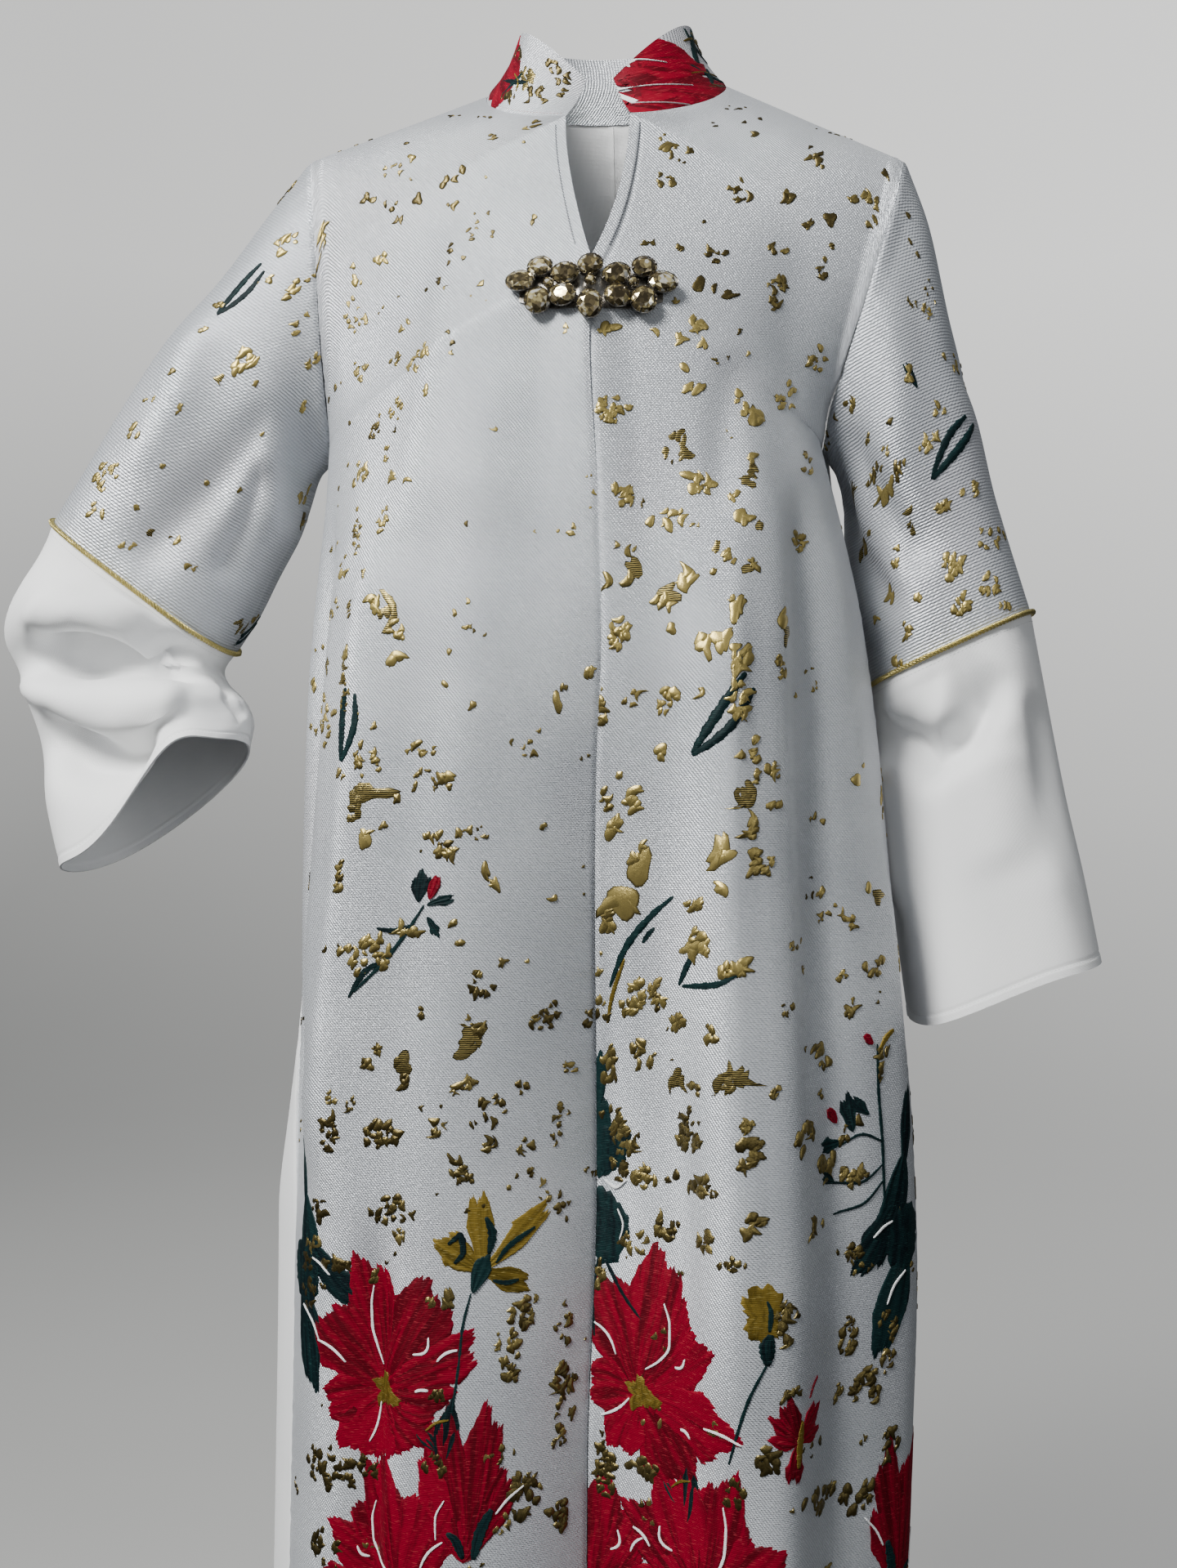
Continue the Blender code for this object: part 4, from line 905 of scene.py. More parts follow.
@dataclass
class Cloth:
    """A piece of cloth: a grid of points with its own flat coordinates s and t.

    Attributes:
        name: Name of the piece and of the CAD node that it stands for.
        points: Rows of points; a tube's last column repeats its first.
        outwards: 1 or -1, so that normals point out.
        closed: Whether the piece is a tube.
        s_start: Coordinate s where each row starts.
        s_sign: 1 where s grows along a row and -1 where it falls.
        t_end: Coordinate t of the last row.
        thickness: Thickness of the cloth.
    """

    name: str
    points: Array
    outwards: int
    closed: bool = False
    s_start: Optional[Array] = None
    s_sign: int = 1
    t_end: float = 0.0
    thickness: float = 0.0014
    s: Array = field(init=False)
    t: Array = field(init=False)
    normals: Array = field(init=False)

    def __post_init__(self) -> None:
        """Measures the flat coordinates along rows and up columns."""
        rows, columns = self.points.shape[:2]
        step = np.diff(self.points, axis=1)
        width = step[..., :2] if not self.closed else step
        s = np.concatenate([np.zeros((rows, 1)),
                            np.cumsum(np.linalg.norm(width, axis=-1), axis=1)], axis=1)
        if self.closed:
            s = s - s[:, 3 * (columns - 1) // 4][:, None]
        start = 0.0 if self.s_start is None else self.s_start[:, None]
        self.s = self.s_sign * s + start
        fall = np.linalg.norm(np.diff(self.points, axis=0), axis=-1)
        below = np.cumsum(fall[::-1], axis=0)[::-1]
        below = np.concatenate([below, np.zeros((1, columns))], axis=0)
        self.t = self.t_end - below
        self.normals = grid_normals(self.points, self.closed, self.outwards)

    def raise_by(self, height: Array) -> None:
        """Moves the points out along their normals by a height each.

        Args:
            height: Height of each point.
        """
        self.points = self.points + self.normals * height[..., None]
        if self.closed:
            self.points[:, -1] = self.points[:, 0]
        self.normals = grid_normals(self.points, self.closed, self.outwards)

    def build(self, finish: "Finish") -> bpy.types.Object:
        """Makes the closed shell: the outer grid, the same grid moved in, and its rims.

        Args:
            finish: Finish that it takes.

        Returns:
            The object.
        """
        rows, columns = self.points.shape[:2]
        used = columns - 1 if self.closed else columns
        count = rows * used
        number = np.arange(count).reshape(rows, used)
        place = np.arange(rows * columns).reshape(rows, columns)
        if self.closed:
            number = closed_up(number)
        outer = self.points[:, :used].reshape(-1, 3)
        inner = outer - self.normals[:, :used].reshape(-1, 3) * self.thickness
        rims = [np.s_[0], np.s_[-1, ::-1]]
        if not self.closed:
            rims += [np.s_[::-1, 0], np.s_[:, -1]]
        faces = [grid_quads(number), grid_quads(number)[:, ::-1] + count]
        flats = [grid_quads(place), grid_quads(place)[:, ::-1]]
        for rim in rims:
            for border, drawn, below in ((number[rim], faces, count), (place[rim], flats, 0)):
                drawn.append(np.stack([border[:-1], border[1:], border[1:] + below,
                                       border[:-1] + below], axis=-1))
        faces, flats = np.concatenate(faces), np.concatenate(flats)
        if self.outwards < 0:
            faces, flats = faces[:, ::-1], flats[:, ::-1]
        places = np.stack([self.s.ravel(), self.t.ravel()], axis=-1)[flats.ravel()]
        piece = write_mesh(self.name + "_cloth", np.concatenate([outer, inner]), [faces],
                           finish, places)
        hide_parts(self.name)
        return piece

    def cell(self, row: Array, column: Array) -> tuple[Array, ...]:
        """The cell of fractional grid places, and the shares of the way through it.

        Args:
            row: Rows, with fractions.
            column: Columns, with fractions.

        Returns:
            Row and column of the cell, and the shares down and along it.
        """
        rows, columns = self.points.shape[:2]
        row = np.clip(row, 0, rows - 1)
        column = np.clip(column, 0, columns - 1)
        i = np.minimum(row.astype(int), rows - 2)
        j = np.minimum(column.astype(int), columns - 2)
        return i, j, row - i, column - j

    def mix(self, grid: Array, row: Array, column: Array) -> Array:
        """Reads a grid of numbers or points at fractional places.

        Args:
            grid: Numbers or points, one for each grid point.
            row: Rows, with fractions.
            column: Columns, with fractions.

        Returns:
            The numbers or points there.
        """
        i, j, u, v = self.cell(row, column)
        if grid.ndim == 3:
            u, v = u[..., None], v[..., None]
        return ((1 - u) * ((1 - v) * grid[i, j] + v * grid[i, j + 1])
                + u * ((1 - v) * grid[i + 1, j] + v * grid[i + 1, j + 1]))

    @staticmethod
    def slopes(grid: Array, i: Array, j: Array, u: Array, v: Array) -> tuple[Array, Array]:
        """How much a grid of numbers grows down and along its cells.

        Args:
            grid: Numbers, one for each grid point.
            i: Rows of the cells.
            j: Columns of the cells.
            u: Shares of the way down the cells.
            v: Shares of the way along them.

        Returns:
            The growth down and along.
        """
        down = (1 - v) * (grid[i + 1, j] - grid[i, j]) + v * (
            grid[i + 1, j + 1] - grid[i, j + 1])
        along = (1 - u) * (grid[i, j + 1] - grid[i, j]) + u * (
            grid[i + 1, j + 1] - grid[i + 1, j])
        return down, along

    def locate(self, s: Array, t: Array, row: Array, column: Array) -> tuple[Array, Array]:
        """Finds grid places of flat coordinates by Newton's steps from given ones.

        Args:
            s: Coordinates s.
            t: Coordinates t.
            row: Rows to start from.
            column: Columns to start from.

        Returns:
            Rows and columns, with fractions.
        """
        last_row, last_column = self.s.shape[0] - 1, self.s.shape[1] - 1
        for _ in range(NEWTON_ROUNDS):
            cell = self.cell(row, column)
            s_row, s_column = self.slopes(self.s, *cell)
            t_row, t_column = self.slopes(self.t, *cell)
            s_miss = s - self.mix(self.s, row, column)
            t_miss = t - self.mix(self.t, row, column)
            area = s_row * t_column - t_row * s_column
            area = np.where(np.abs(area) < TINY, TINY, area)
            down = (s_miss * t_column - t_miss * s_column) / area
            along = (t_miss * s_row - s_miss * t_row) / area
            row = np.clip(row + np.clip(down, -NEWTON_REACH, NEWTON_REACH), 0, last_row)
            column = np.clip(column + np.clip(along, -NEWTON_REACH, NEWTON_REACH), 0,
                             last_column)
        return row, column

    def starts(self, s: Array, t: Array) -> tuple[Array, Array]:
        """Nearest grid places of a few flat coordinates, from a tree of some grid points.

        Args:
            s: Coordinates s.
            t: Coordinates t.

        Returns:
            Rows and columns.
        """
        rows, columns = (range(0, size, TREE_STEP) for size in self.s.shape)
        places = [(i, j) for i in rows for j in columns]
        tree = kdtree.KDTree(len(places))
        for number, (i, j) in enumerate(places):
            tree.insert((self.s[i, j], self.t[i, j], 0.0), number)
        tree.balance()
        found = np.array([places[tree.find((a, b, 0.0))[1]] for a, b in zip(s, t)], float)
        return found[:, 0], found[:, 1]

    def settle(self, s: Array, t: Array, first_s: Array, first_t: Array, owner: Array
               ) -> tuple[Array, Array, Array]:
        """Grid places of flat coordinates, started from their owner's own place.

        Args:
            s: Coordinates s of all the points.
            t: Coordinates t of all the points.
            first_s: Coordinates s of the owners' middles.
            first_t: Coordinates t of the owners' middles.
            owner: Number of each point's owner.

        Returns:
            Rows, columns, and whether each point lies on the piece.
        """
        row, column = self.starts(first_s, first_t)
        row, column = self.locate(s, t, row[owner], column[owner])
        off = np.hypot(self.mix(self.s, row, column) - s, self.mix(self.t, row, column) - t)
        return row, column, off < ON_CLOTH

    def lift(self, row: Array, column: Array, height: Array) -> Array:
        """Points over the cloth by a height each."""
        normal = unit(self.mix(self.normals, row, column))
        return self.mix(self.points, row, column) + normal * height[..., None]

    def facing(self, points: Array, quads: Array, row: Array, column: Array) -> float:
        """Whether quads face out (above 0) or in (below 0), by the sum of their normals.

        Args:
            points: Points of a mesh.
            quads: Its quads.
            row: Row of each point on this piece.
            column: Column of each point on this piece.

        Returns:
            The sum.
        """
        normal = self.mix(self.normals, row[quads[:, 0]], column[quads[:, 0]])
        return float((quad_normals(points, quads) * normal).sum())

    def area(self) -> float:
        """Area of the piece."""
        one, two = np.diff(self.points, axis=1)[:-1], np.diff(self.points, axis=0)[:, :-1]
        return float(np.linalg.norm(np.cross(one, two), axis=-1).sum())

    def declare(self, piece: bpy.types.Object, held: str, rests_on: Sequence[str],
                with_pieces: Sequence[bpy.types.Object]) -> None:
        """Does nothing: the piece's cut, its greatest width and length and its area, is not
        stated.

        Args:
            piece: The object made from this piece; not used.
            held: How it is held; not used.
            rests_on: Nodes that it meets at its seams; not used.
            with_pieces: Objects that lie on it; not used.
        """


Value = bpy.types.NodeSocket | float | tuple | None


class NodeBook:
    """Writes the nodes of one material."""

    def __init__(self, name: str) -> None:
        """Starts a material with a Principled shader.

        Args:
            name: Name of the material.
        """
        self.made = bpy.data.materials.new(name)
        self.made.use_nodes = True
        self.tree = self.made.node_tree
        self.shader = self.tree.nodes["Principled BSDF"]

    def add(self, kind: str, inputs: dict | Sequence = (), output: int | str = 0,
            **settings: object) -> bpy.types.NodeSocket:
        """Adds a node, gives its inputs values or links, and returns one output.

        Args:
            kind: The node's type, without its first word.
            inputs: Values or links, in order or by key.
            output: Number or name of the output.
            **settings: The node's own settings.

        Returns:
            The output.
        """
        node = self.tree.nodes.new("ShaderNode" + kind)
        for setting, value in settings.items():
            setattr(node, setting, value)
        pairs = inputs.items() if isinstance(inputs, dict) else enumerate(inputs)
        for key, value in pairs:
            self.give(node.inputs[key], value)
        return node.outputs[output]

    def give(self, socket: bpy.types.NodeSocket, value: Value) -> None:
        """Links a socket to another one, or sets its value.

        Args:
            socket: The socket.
            value: A value, a link, or nothing.
        """
        if isinstance(value, bpy.types.NodeSocket):
            self.tree.links.new(value, socket)
        elif value is not None:
            socket.default_value = value

    def surface(self, **inputs: Value) -> None:
        """Gives the shader's inputs, whose names are written with _ for a space."""
        for key, value in inputs.items():
            self.give(self.shader.inputs[key.replace("_", " ")], value)

    def maths(self, operation: str, *values: Value) -> bpy.types.NodeSocket:
        """A Math node."""
        return self.add("Math", values, operation=operation)

    def blend(self, share: Value, first: Value, second: Value, how: str = "MIX"
              ) -> bpy.types.NodeSocket:
        """Mixes two colours."""
        return self.add("Mix", {0: share, 6: first, 7: second}, 2, data_type="RGBA",
                        blend_type=how)

    def flat(self) -> tuple[bpy.types.NodeSocket, bpy.types.NodeSocket, bpy.types.NodeSocket]:
        """The cloth's flat coordinates: as a vector, s alone and t alone.

        Returns:
            The vector, s and t.
        """
        place = self.add("UVMap", uv_map="Cloth")
        parts = self.split(place)
        return place, parts[0], parts[1]

    def split(self, place: Value) -> Sequence[bpy.types.NodeSocket]:
        """The parts of a vector: x, y and z."""
        return self.add("SeparateXYZ", (place,)).node.outputs

    def mark(self, name: str) -> bpy.types.NodeSocket:
        """A named number of the mesh's points."""
        return self.add("Attribute", output=2, attribute_name=name)

    def scaled(self, place: Value, across: float, down: float) -> bpy.types.NodeSocket:
        """A vector stretched across and down."""
        return self.add("Mapping", {0: place, 3: (across, down, 1.0)})

    def noise(self, place: Value, scale: float, detail: float = 2.0, output: str = "Fac",
              rough: float = 0.5) -> bpy.types.NodeSocket:
        """A Noise Texture."""
        return self.add("TexNoise", {"Vector": place, "Scale": scale, "Detail": detail,
                                     "Roughness": rough}, output)

    def wave(self, length: Value, pitch: float) -> bpy.types.NodeSocket:
        """Ribs along a length: half of one plus the sine of the turns made so far."""
        turned = self.maths("SINE", self.maths("MULTIPLY", length, 2 * math.pi / pitch))
        return self.maths("MULTIPLY_ADD", turned, 0.5, 0.5)

    def step(self, value: Value, low: float, high: float) -> bpy.types.NodeSocket:
        """A soft step from 0 at the low end to 1 at the high end."""
        return self.add("MapRange", (value, low, high, 0.0, 1.0), interpolation_type="SMOOTHSTEP")

    def relief(self, height: Value, distance: float, strength: float = 1.0,
               under: Value = None) -> bpy.types.NodeSocket:
        """A Bump node over another one."""
        return self.add("Bump", {"Strength": strength, "Distance": distance, "Height": height,
                                 "Normal": under})


MADE: dict[str, bpy.types.Material] = {}


@dataclass(frozen=True)
class Finish:
    """A finish: a node material, made once, and a slot name, which nothing in this script reads.
    """

    name: str
    slot: str = ""

    def material(self) -> bpy.types.Material:
        """The finish's material.

        Returns:
            The material, the same for every piece.
        """
        if self.name not in MADE:
            book = NodeBook(self.name)
            self.write(book)
            MADE[self.name] = book.made
        return MADE[self.name]

    def write(self, book: NodeBook) -> None:
        """Writes the finish's nodes."""


@dataclass(frozen=True)
class Jacquard(Finish):
    """Silvery satin with a fine slanting twill; ribs instead where the cut lies across; painted
    shade in the low spots of the weave.
    """

    name: str = "jacquard_weave"
    slot: str = "jacquard"
    colour: Colour = (0.67, 0.69, 0.72, 1.0)
    shade: Colour = (0.57, 0.59, 0.625, 1.0)
    rose: Colour = (0.66, 0.60, 0.64, 1.0)
    painted_weave_shade: Colour = (0.30, 0.33, 0.38, 1.0)
    pitch: float = 0.0021
    grain: float = 0.5
    ribbed: bool = False

    def write(self, book: NodeBook) -> None:
        """Twill or ribs over threads, with slow changes of tone, a faint rose cast and painted
        shade where the weave's relief is low.

        Args:
            book: Nodes of the material.
        """
        place, s, t = book.flat()
        wander = book.noise(place, 260.0, 2.0)
        if self.ribbed:
            length = book.maths("MULTIPLY_ADD", wander, 0.0012, t)
            other = book.wave(book.maths("ADD", s, t), self.pitch * 1.7)
        else:
            slant = book.maths("SUBTRACT", s, book.maths("MULTIPLY", t, 0.8))
            length = book.maths("MULTIPLY_ADD", wander, 0.0012, slant)
            other = book.wave(t, self.pitch * 0.55)
        twill = book.wave(length, self.pitch)
        threads = book.noise(book.scaled(place, 1.0, 2.2), 820.0, 3.0)
        crepe = book.noise(place, 430.0, 3.0, rough=0.6)
        weave = book.maths("MULTIPLY_ADD", other, 0.35,
                           book.maths("MULTIPLY_ADD", threads, 0.9,
                                      book.maths("MULTIPLY_ADD", crepe, self.grain * 2, twill)))
        slow = book.noise(place, 9.0, 3.0)
        tone = book.blend(book.step(slow, 0.3, 0.7), self.shade, self.colour)
        cast = book.noise(place, 5.0, 2.0)
        tone = book.blend(book.add("MapRange", (cast, 0.55, 0.75, 0.0, 0.35)), tone, self.rose)
        # painted shade: where the weave's relief is low, the colour is darkened halfway towards a
        # blue grey
        dark = book.blend(0.5, tone, self.painted_weave_shade)
        tone = book.blend(book.step(weave, 0.5, 2.1), dark, tone)
        book.surface(Base_Color=tone, Metallic=0.42, Specular_IOR_Level=0.5, Sheen_Weight=0.1,
                     Sheen_Roughness=0.4,
                     Roughness=book.add("MapRange", (threads, 0.2, 0.8, 0.33, 0.47)),
                     Normal=book.relief(weave, 0.00045, 0.8))


@dataclass(frozen=True)
class PlainWhite(Finish):
    """Smooth white cloth with a close plain weave."""

    name: str = "white_weave"
    slot: str = "plain_white"
    colour: Colour = (0.93, 0.93, 0.925, 1.0)
    shade: Colour = (0.88, 0.885, 0.89, 1.0)
    pitch: float = 0.0007

    def write(self, book: NodeBook) -> None:
        """Two crossing ribs under a little fuzz.

        Args:
            book: Nodes of the material.
        """
        place, s, t = book.flat()
        fuzz = book.noise(place, 1300.0, 3.0)
        weave = book.maths("ADD", book.wave(s, self.pitch), book.wave(t, self.pitch))
        weave = book.maths("MULTIPLY_ADD", fuzz, 0.8, weave)
        slow = book.noise(place, 14.0, 3.0)
        tone = book.blend(book.step(slow, 0.3, 0.75), self.shade, self.colour)
        tone = book.blend(book.step(fuzz, 0.3, 0.7), book.blend(0.3, tone, self.shade), tone)
        book.surface(Base_Color=tone, Specular_IOR_Level=0.35, Sheen_Weight=0.15,
                     Roughness=book.add("MapRange", (fuzz, 0.2, 0.8, 0.52, 0.66)),
                     Normal=book.relief(weave, 0.00012, 0.6))


@dataclass(frozen=True)
class WallPaint(Finish):
    """Pale matt wall and floor in one, brighter towards the top."""

    name: str = "pale_wall"
    colour: Colour = (0.25, 0.25, 0.243, 1.0)
    shade: Colour = (0.235, 0.235, 0.227, 1.0)
    glow: Colour = (1.0, 1.0, 0.985, 1.0)
    low: float = 0.29
    high: float = 0.98
    aside: float = 0.19

    def write(self, book: NodeBook) -> None:
        """Plain paint with the faintest mottling; its own glow stands for the room's light.

        Args:
            book: Nodes of the material.
        """
        place = book.add("TexCoord", output=3)
        parts = book.split(place)
        slow = book.noise(place, 0.8, 3.0)
        tone = book.blend(book.step(slow, 0.3, 0.7), self.shade, self.colour)
        glow = book.add("MapRange", (parts[2], -1.4, 1.6, self.low, self.high))
        side = book.add("MapRange", (parts[0], -2.5, 2.5, -self.aside, self.aside))
        book.surface(Base_Color=tone, Roughness=0.9, Emission_Color=self.glow,
                     Emission_Strength=book.maths("ADD", glow, side))


class Ink(Enum):
    """Yarn that a woven motif shows."""

    RED = "red"
    GREEN = "green"
    OLIVE = "olive"
    WHITE = "white"


@dataclass
class Patch:
    """A small raised shape on the cloth, drawn in metres with y up.

    Attributes:
        ink: Its yarn.
        x: Places across, as a grid.
        y: Places up, as a grid.
        height: Height over the cloth.
        along: Share of the way from its root to its tip.
        beside: Share of the way from its middle line to its edge, with a sign.
        tone: A number of its own, which the finish turns into a tint.
    """

    ink: Ink
    x: Array
    y: Array
    height: Array
    along: Array
    beside: Array
    tone: float


def zigzag(at: Array, pitch: float, start: float = 0.0) -> Array:
    """A triangle wave from -1 to 1."""
    return 2 * np.abs(2 * ((at / pitch + start) % 1) - 1) - 1


class Drawing:
    """Draws petals, blots and strokes by rules, a little uneven each time."""

    def __init__(self, seed: int) -> None:
        """Starts an empty drawing.

        Args:
            seed: Seed of its random draws.
        """
        self.rng = np.random.default_rng(seed)
        self.patches: list[Patch] = []
        self.layer = 0

    def lay(self, ink: Ink, x: Array, y: Array, dome: Array, along: Array, beside: Array,
            lift: float) -> None:
        """Adds a patch over those already there; the dome is 0 on its rim.

        Args:
            ink: Its yarn.
            x: Places across, in millimetres.
            y: Places up, in millimetres.
            dome: Share of its full height.
            along: Share of the way from its root to its tip.
            beside: Share of the way from its middle line to its edge.
            lift: Height under the dome, in millimetres.
        """
        self.layer += 1
        height = np.where(dome <= 0, -0.10 * MM, (lift + 0.012 * (self.layer % 12)) * MM
                          + 0.45 * MM * dome)
        self.patches.append(Patch(ink, x * MM, y * MM, height, along, beside,
                                  float(self.rng.uniform(0, 1))))

    def petal(self, ink: Ink, root: tuple[float, float], turn: float, length: float,
              width: float, fray: float = 1.0, top: float = 0.85, lift: float = 0.18) -> None:
        """A petal: its half width swells with the share u reached, and its edge is torn.

        Half width is u to the 0.55, less (1 - top) u cubed; the top edge falls with v to the
        2.4, and zigzags of three pitches tear it.

        Args:
            ink: Its yarn.
            root: Where it starts.
            turn: Its direction, in degrees.
            length: Its length.
            width: Its greatest width.
            fray: How torn its edge is.
            top: Share of the width left at its tip.
            lift: Height under the dome, in millimetres.
        """
        u, v = np.meshgrid(np.linspace(0, 1, 18), np.linspace(-1, 1, 37), indexing="ij")
        start = self.rng.uniform(0, 1, 6)
        tear = (0.05 * np.cos(v * 5.5 + start[0] * 6) + 0.020 * zigzag(v, 0.37, start[1])
                + 0.020 * zigzag(v, 0.14, start[2])) * fray
        reach = 1 - 0.34 * np.abs(v) ** 2.4 + tear
        side = 1 + fray * (0.05 * np.sin(u * 9 + start[3] * 6) + 0.022 * zigzag(u, 0.13, start[4]))
        half = width / 2 * (u ** 0.55 - (1 - top) * u ** 3) * side
        bend = (start[5] - 0.5) * 0.2 * length * u ** 2
        up = length * u * (1 + (reach - 1) * u ** 1.5)
        beside = half * v + bend
        angle = math.radians(turn)
        x = root[0] + up * math.cos(angle) + beside * math.sin(angle)
        y = root[1] + up * math.sin(angle) - beside * math.cos(angle)
        dome = np.clip(np.minimum(1 - np.abs(v), 1 - u) * 9, 0, 1) ** 0.5
        dome = dome * (0.55 + 0.45 * np.cos(v * 4.2 + start[0] * 6) ** 2)
        dome[-1], dome[:, 0], dome[:, -1] = 0, 0, 0
        self.lay(ink, x, y, dome, u, v, lift)

    def blot(self, ink: Ink, middle: tuple[float, float], radii: Sequence[float],
             turn: float = 0.0, fray: float = 1.0, lift: float = 0.22) -> None:
        """A blot: radii at even turns, joined smoothly and frayed by zigzags.

        Args:
            ink: Its yarn.
            middle: Its middle.
            radii: Radii at even turns.
            turn: Turn of the first, in degrees.
            fray: How torn its edge is.
            lift: Height under the dome, in millimetres.
        """
        share = np.linspace(0, 1, 49)
        stations = np.linspace(0, 1, len(radii) + 1)
        radius = smooth_between(share, stations, list(radii) + [radii[0]])
        start = self.rng.uniform(0, 1, 2)
        radius = radius * (1 + fray * (0.07 * zigzag(share, 1 / 13, start[0])
                                       + 0.05 * zigzag(share, 1 / 23, start[1])))
        radius[-1] = radius[0]
        angle = math.radians(turn) + 2 * math.pi * share
        grow = np.array((0.02, 0.45, 0.8, 0.93, 1.0))[:, None]
        x = middle[0] + grow * radius * np.cos(angle)
        y = middle[1] + grow * radius * np.sin(angle)
        dome = np.array((1.0, 0.95, 0.8, 0.6, 0.0))[:, None] * np.ones_like(x)
        self.lay(ink, x, y, dome, grow * np.ones_like(x), grow * np.cos(angle), lift)

    def stroke(self, ink: Ink, path: Sequence[tuple[float, float]], width: float,
               tip: float = 0.15, lift: float = 0.22, fray: float = 0.5) -> None:
        """A brush stroke along a smooth path, wide in its middle and thin at its ends.

        Args:
            ink: Its yarn.
            path: Points of the path, in millimetres.
            width: Its greatest width.
            tip: Share of the width at its ends.
            lift: Height under the dome, in millimetres.
            fray: How torn its edge is.
        """
        knots = np.asarray(path, float)
        step = np.linalg.norm(np.diff(knots, axis=0), axis=1)
        place = np.concatenate([[0], np.cumsum(step)])
        share = np.linspace(0, 1, max(9, min(61, int(place[-1] / 1.1))))
        middle = np.stack([smooth_between(share * place[-1], place, knots[:, k])
                           for k in (0, 1)], axis=-1)
        along = unit(np.gradient(middle, axis=0))
        start = self.rng.uniform(0, 1, 2)
        half = width / 2 * (tip + (1 - tip) * np.sin(math.pi * share) ** 0.7)
        half = half * (1 + fray * (0.25 * zigzag(share, 0.17, start[0])
                                   + 0.2 * zigzag(share, 0.061, start[1])))
        v = np.array((-1.0, -0.8, 0.0, 0.8, 1.0))
        x = middle[:, 0, None] + along[:, 1, None] * half[:, None] * v
        y = middle[:, 1, None] - along[:, 0, None] * half[:, None] * v
        dome = np.array((0.0, 0.7, 1.0, 0.7, 0.0)) * np.ones_like(x)
        dome[0], dome[-1] = 0, 0
        self.lay(ink, x, y, dome, share[:, None] * np.ones_like(x), v * np.ones_like(x), lift)

    def bloom(self, petals: Sequence[tuple[float, float, float]],
              lines: Sequence[tuple[float, float, float, float]]) -> None:
        """A large flower: torn petals round a gold heart, parted by white strokes.

        Args:
            petals: Turn, length and width of each petal, the lowest first.
            lines: Turn, start, end and bow of each white stroke.
        """
        for turn, length, width in petals:
            self.petal(Ink.RED, (0, 0), turn, length, width * 0.9, 1.3)
        self.petal(Ink.RED, (0, 0), petals[0][0] + 180, 16, 26, 0.4)
        self.blot(Ink.OLIVE, (2, 0), (17, 8, 7, 12, 8, 13, 7, 15, 8, 10), -18, 1.6, 0.5)
        for turn, start, end, bow in lines:
            angle = math.radians(turn)
            reach = np.linspace(start, end, 5)
            lean = bow * np.sin(np.linspace(0, math.pi, 5))
            path = np.stack([reach * math.cos(angle) - lean * math.sin(angle),
                             reach * math.sin(angle) + lean * math.cos(angle)], axis=-1)
            self.stroke(Ink.WHITE, path.tolist(), 2.0, 0.35, 0.75, 0.3)

    def peony(self) -> None:
        """A large crimson flower with one tall petal."""
        self.bloom(((195, 44, 46), (232, 50, 44), (272, 44, 46), (318, 44, 52), (4, 50, 60),
                    (62, 80, 62), (34, 74, 44), (136, 62, 62), (100, 84, 50)),
                   ((96, 14, 66, 6), (48, 36, 52, -5), (30, 46, 62, 2), (152, 30, 54, -3),
                    (250, 8, 38, 2), (8, 26, 36, 1)))

    def peony_wide(self) -> None:
        """A large crimson flower that opens to one side."""
        self.bloom(((176, 38, 50), (250, 44, 44), (306, 60, 70), (-8, 72, 56), (62, 70, 62),
                    (34, 68, 50), (120, 76, 60), (76, 92, 54)),
                   ((72, 16, 62, -12), (132, 26, 52, -3), (214, 8, 36, 2), (-28, 34, 44, 2),
                    (-12, 50, 76, 2), (38, 34, 46, -3)))

    def tall_flower(self) -> None:
        """A crimson flower seen from the side, with teal strokes at its foot."""
        for turn, length, width in ((66, 62, 32), (114, 66, 30), (79, 96, 32), (96, 94, 34)):
            self.petal(Ink.RED, (0, 0), turn, length, width, 1.3, 0.8)
        self.stroke(Ink.GREEN, ((6, 2), (9, 18), (16, 34)), 8, 0.3, 0.6)
        self.stroke(Ink.GREEN, ((0, 2), (-6, 14), (-12, 18)), 6, 0.3, 0.6)
        self.stroke(Ink.WHITE, ((18, 30), (26, 40), (36, 48)), 1.6, 0.4, 0.75, 0.2)
        self.stroke(Ink.WHITE, ((-18, 12), (-19, 26), (-14, 38)), 1.4, 0.4, 0.75, 0.2)

    def small_flower(self) -> None:
        """A small crimson flower with a gold tongue."""
        for turn, length, width in ((262, 24, 16), (165, 18, 18), (20, 20, 16), (50, 27, 14),
                                    (100, 28, 16), (132, 24, 12)):
            self.petal(Ink.RED, (0, 0), turn, length, width, 2.0)
        self.stroke(Ink.OLIVE, ((0, -16), (1, -2), (3, 13)), 5.5, 0.2, 0.6)
        self.stroke(Ink.RED, ((10, 24), (14, 31), (19, 36)), 1.6, 0.3, 0.3)

    def olive_flower(self) -> None:
        """An olive flower on a thin stem, marked with teal."""
        for turn, length, width in ((148, 34, 26), (95, 48, 20), (38, 58, 18), (-20, 32, 20)):
            self.petal(Ink.OLIVE, (0, 0), turn, length, width, 1.6, 0.9)
        self.petal(Ink.GREEN, (-6, -14), 70, 26, 16, 0.8, 0.8, 0.5)
        self.stroke(Ink.GREEN, ((-22, 16), (-14, 22), (-12, 12), (-18, 4)), 4.5, 0.3, 0.6)
        self.stroke(Ink.GREEN, ((4, 10), (6, 22), (2, 34)), 6, 0.25, 0.6)
        self.stroke(Ink.GREEN, ((8, 4), (16, 14), (34, 26)), 4, 0.15, 0.6)
        self.stroke(Ink.GREEN, ((6, -6), (16, -8), (24, -6)), 3.5, 0.2, 0.6)
        self.stroke(Ink.GREEN, ((-7, -14), (-12, -36), (-14, -58), (-18, -88)), 2.2, 0.4)

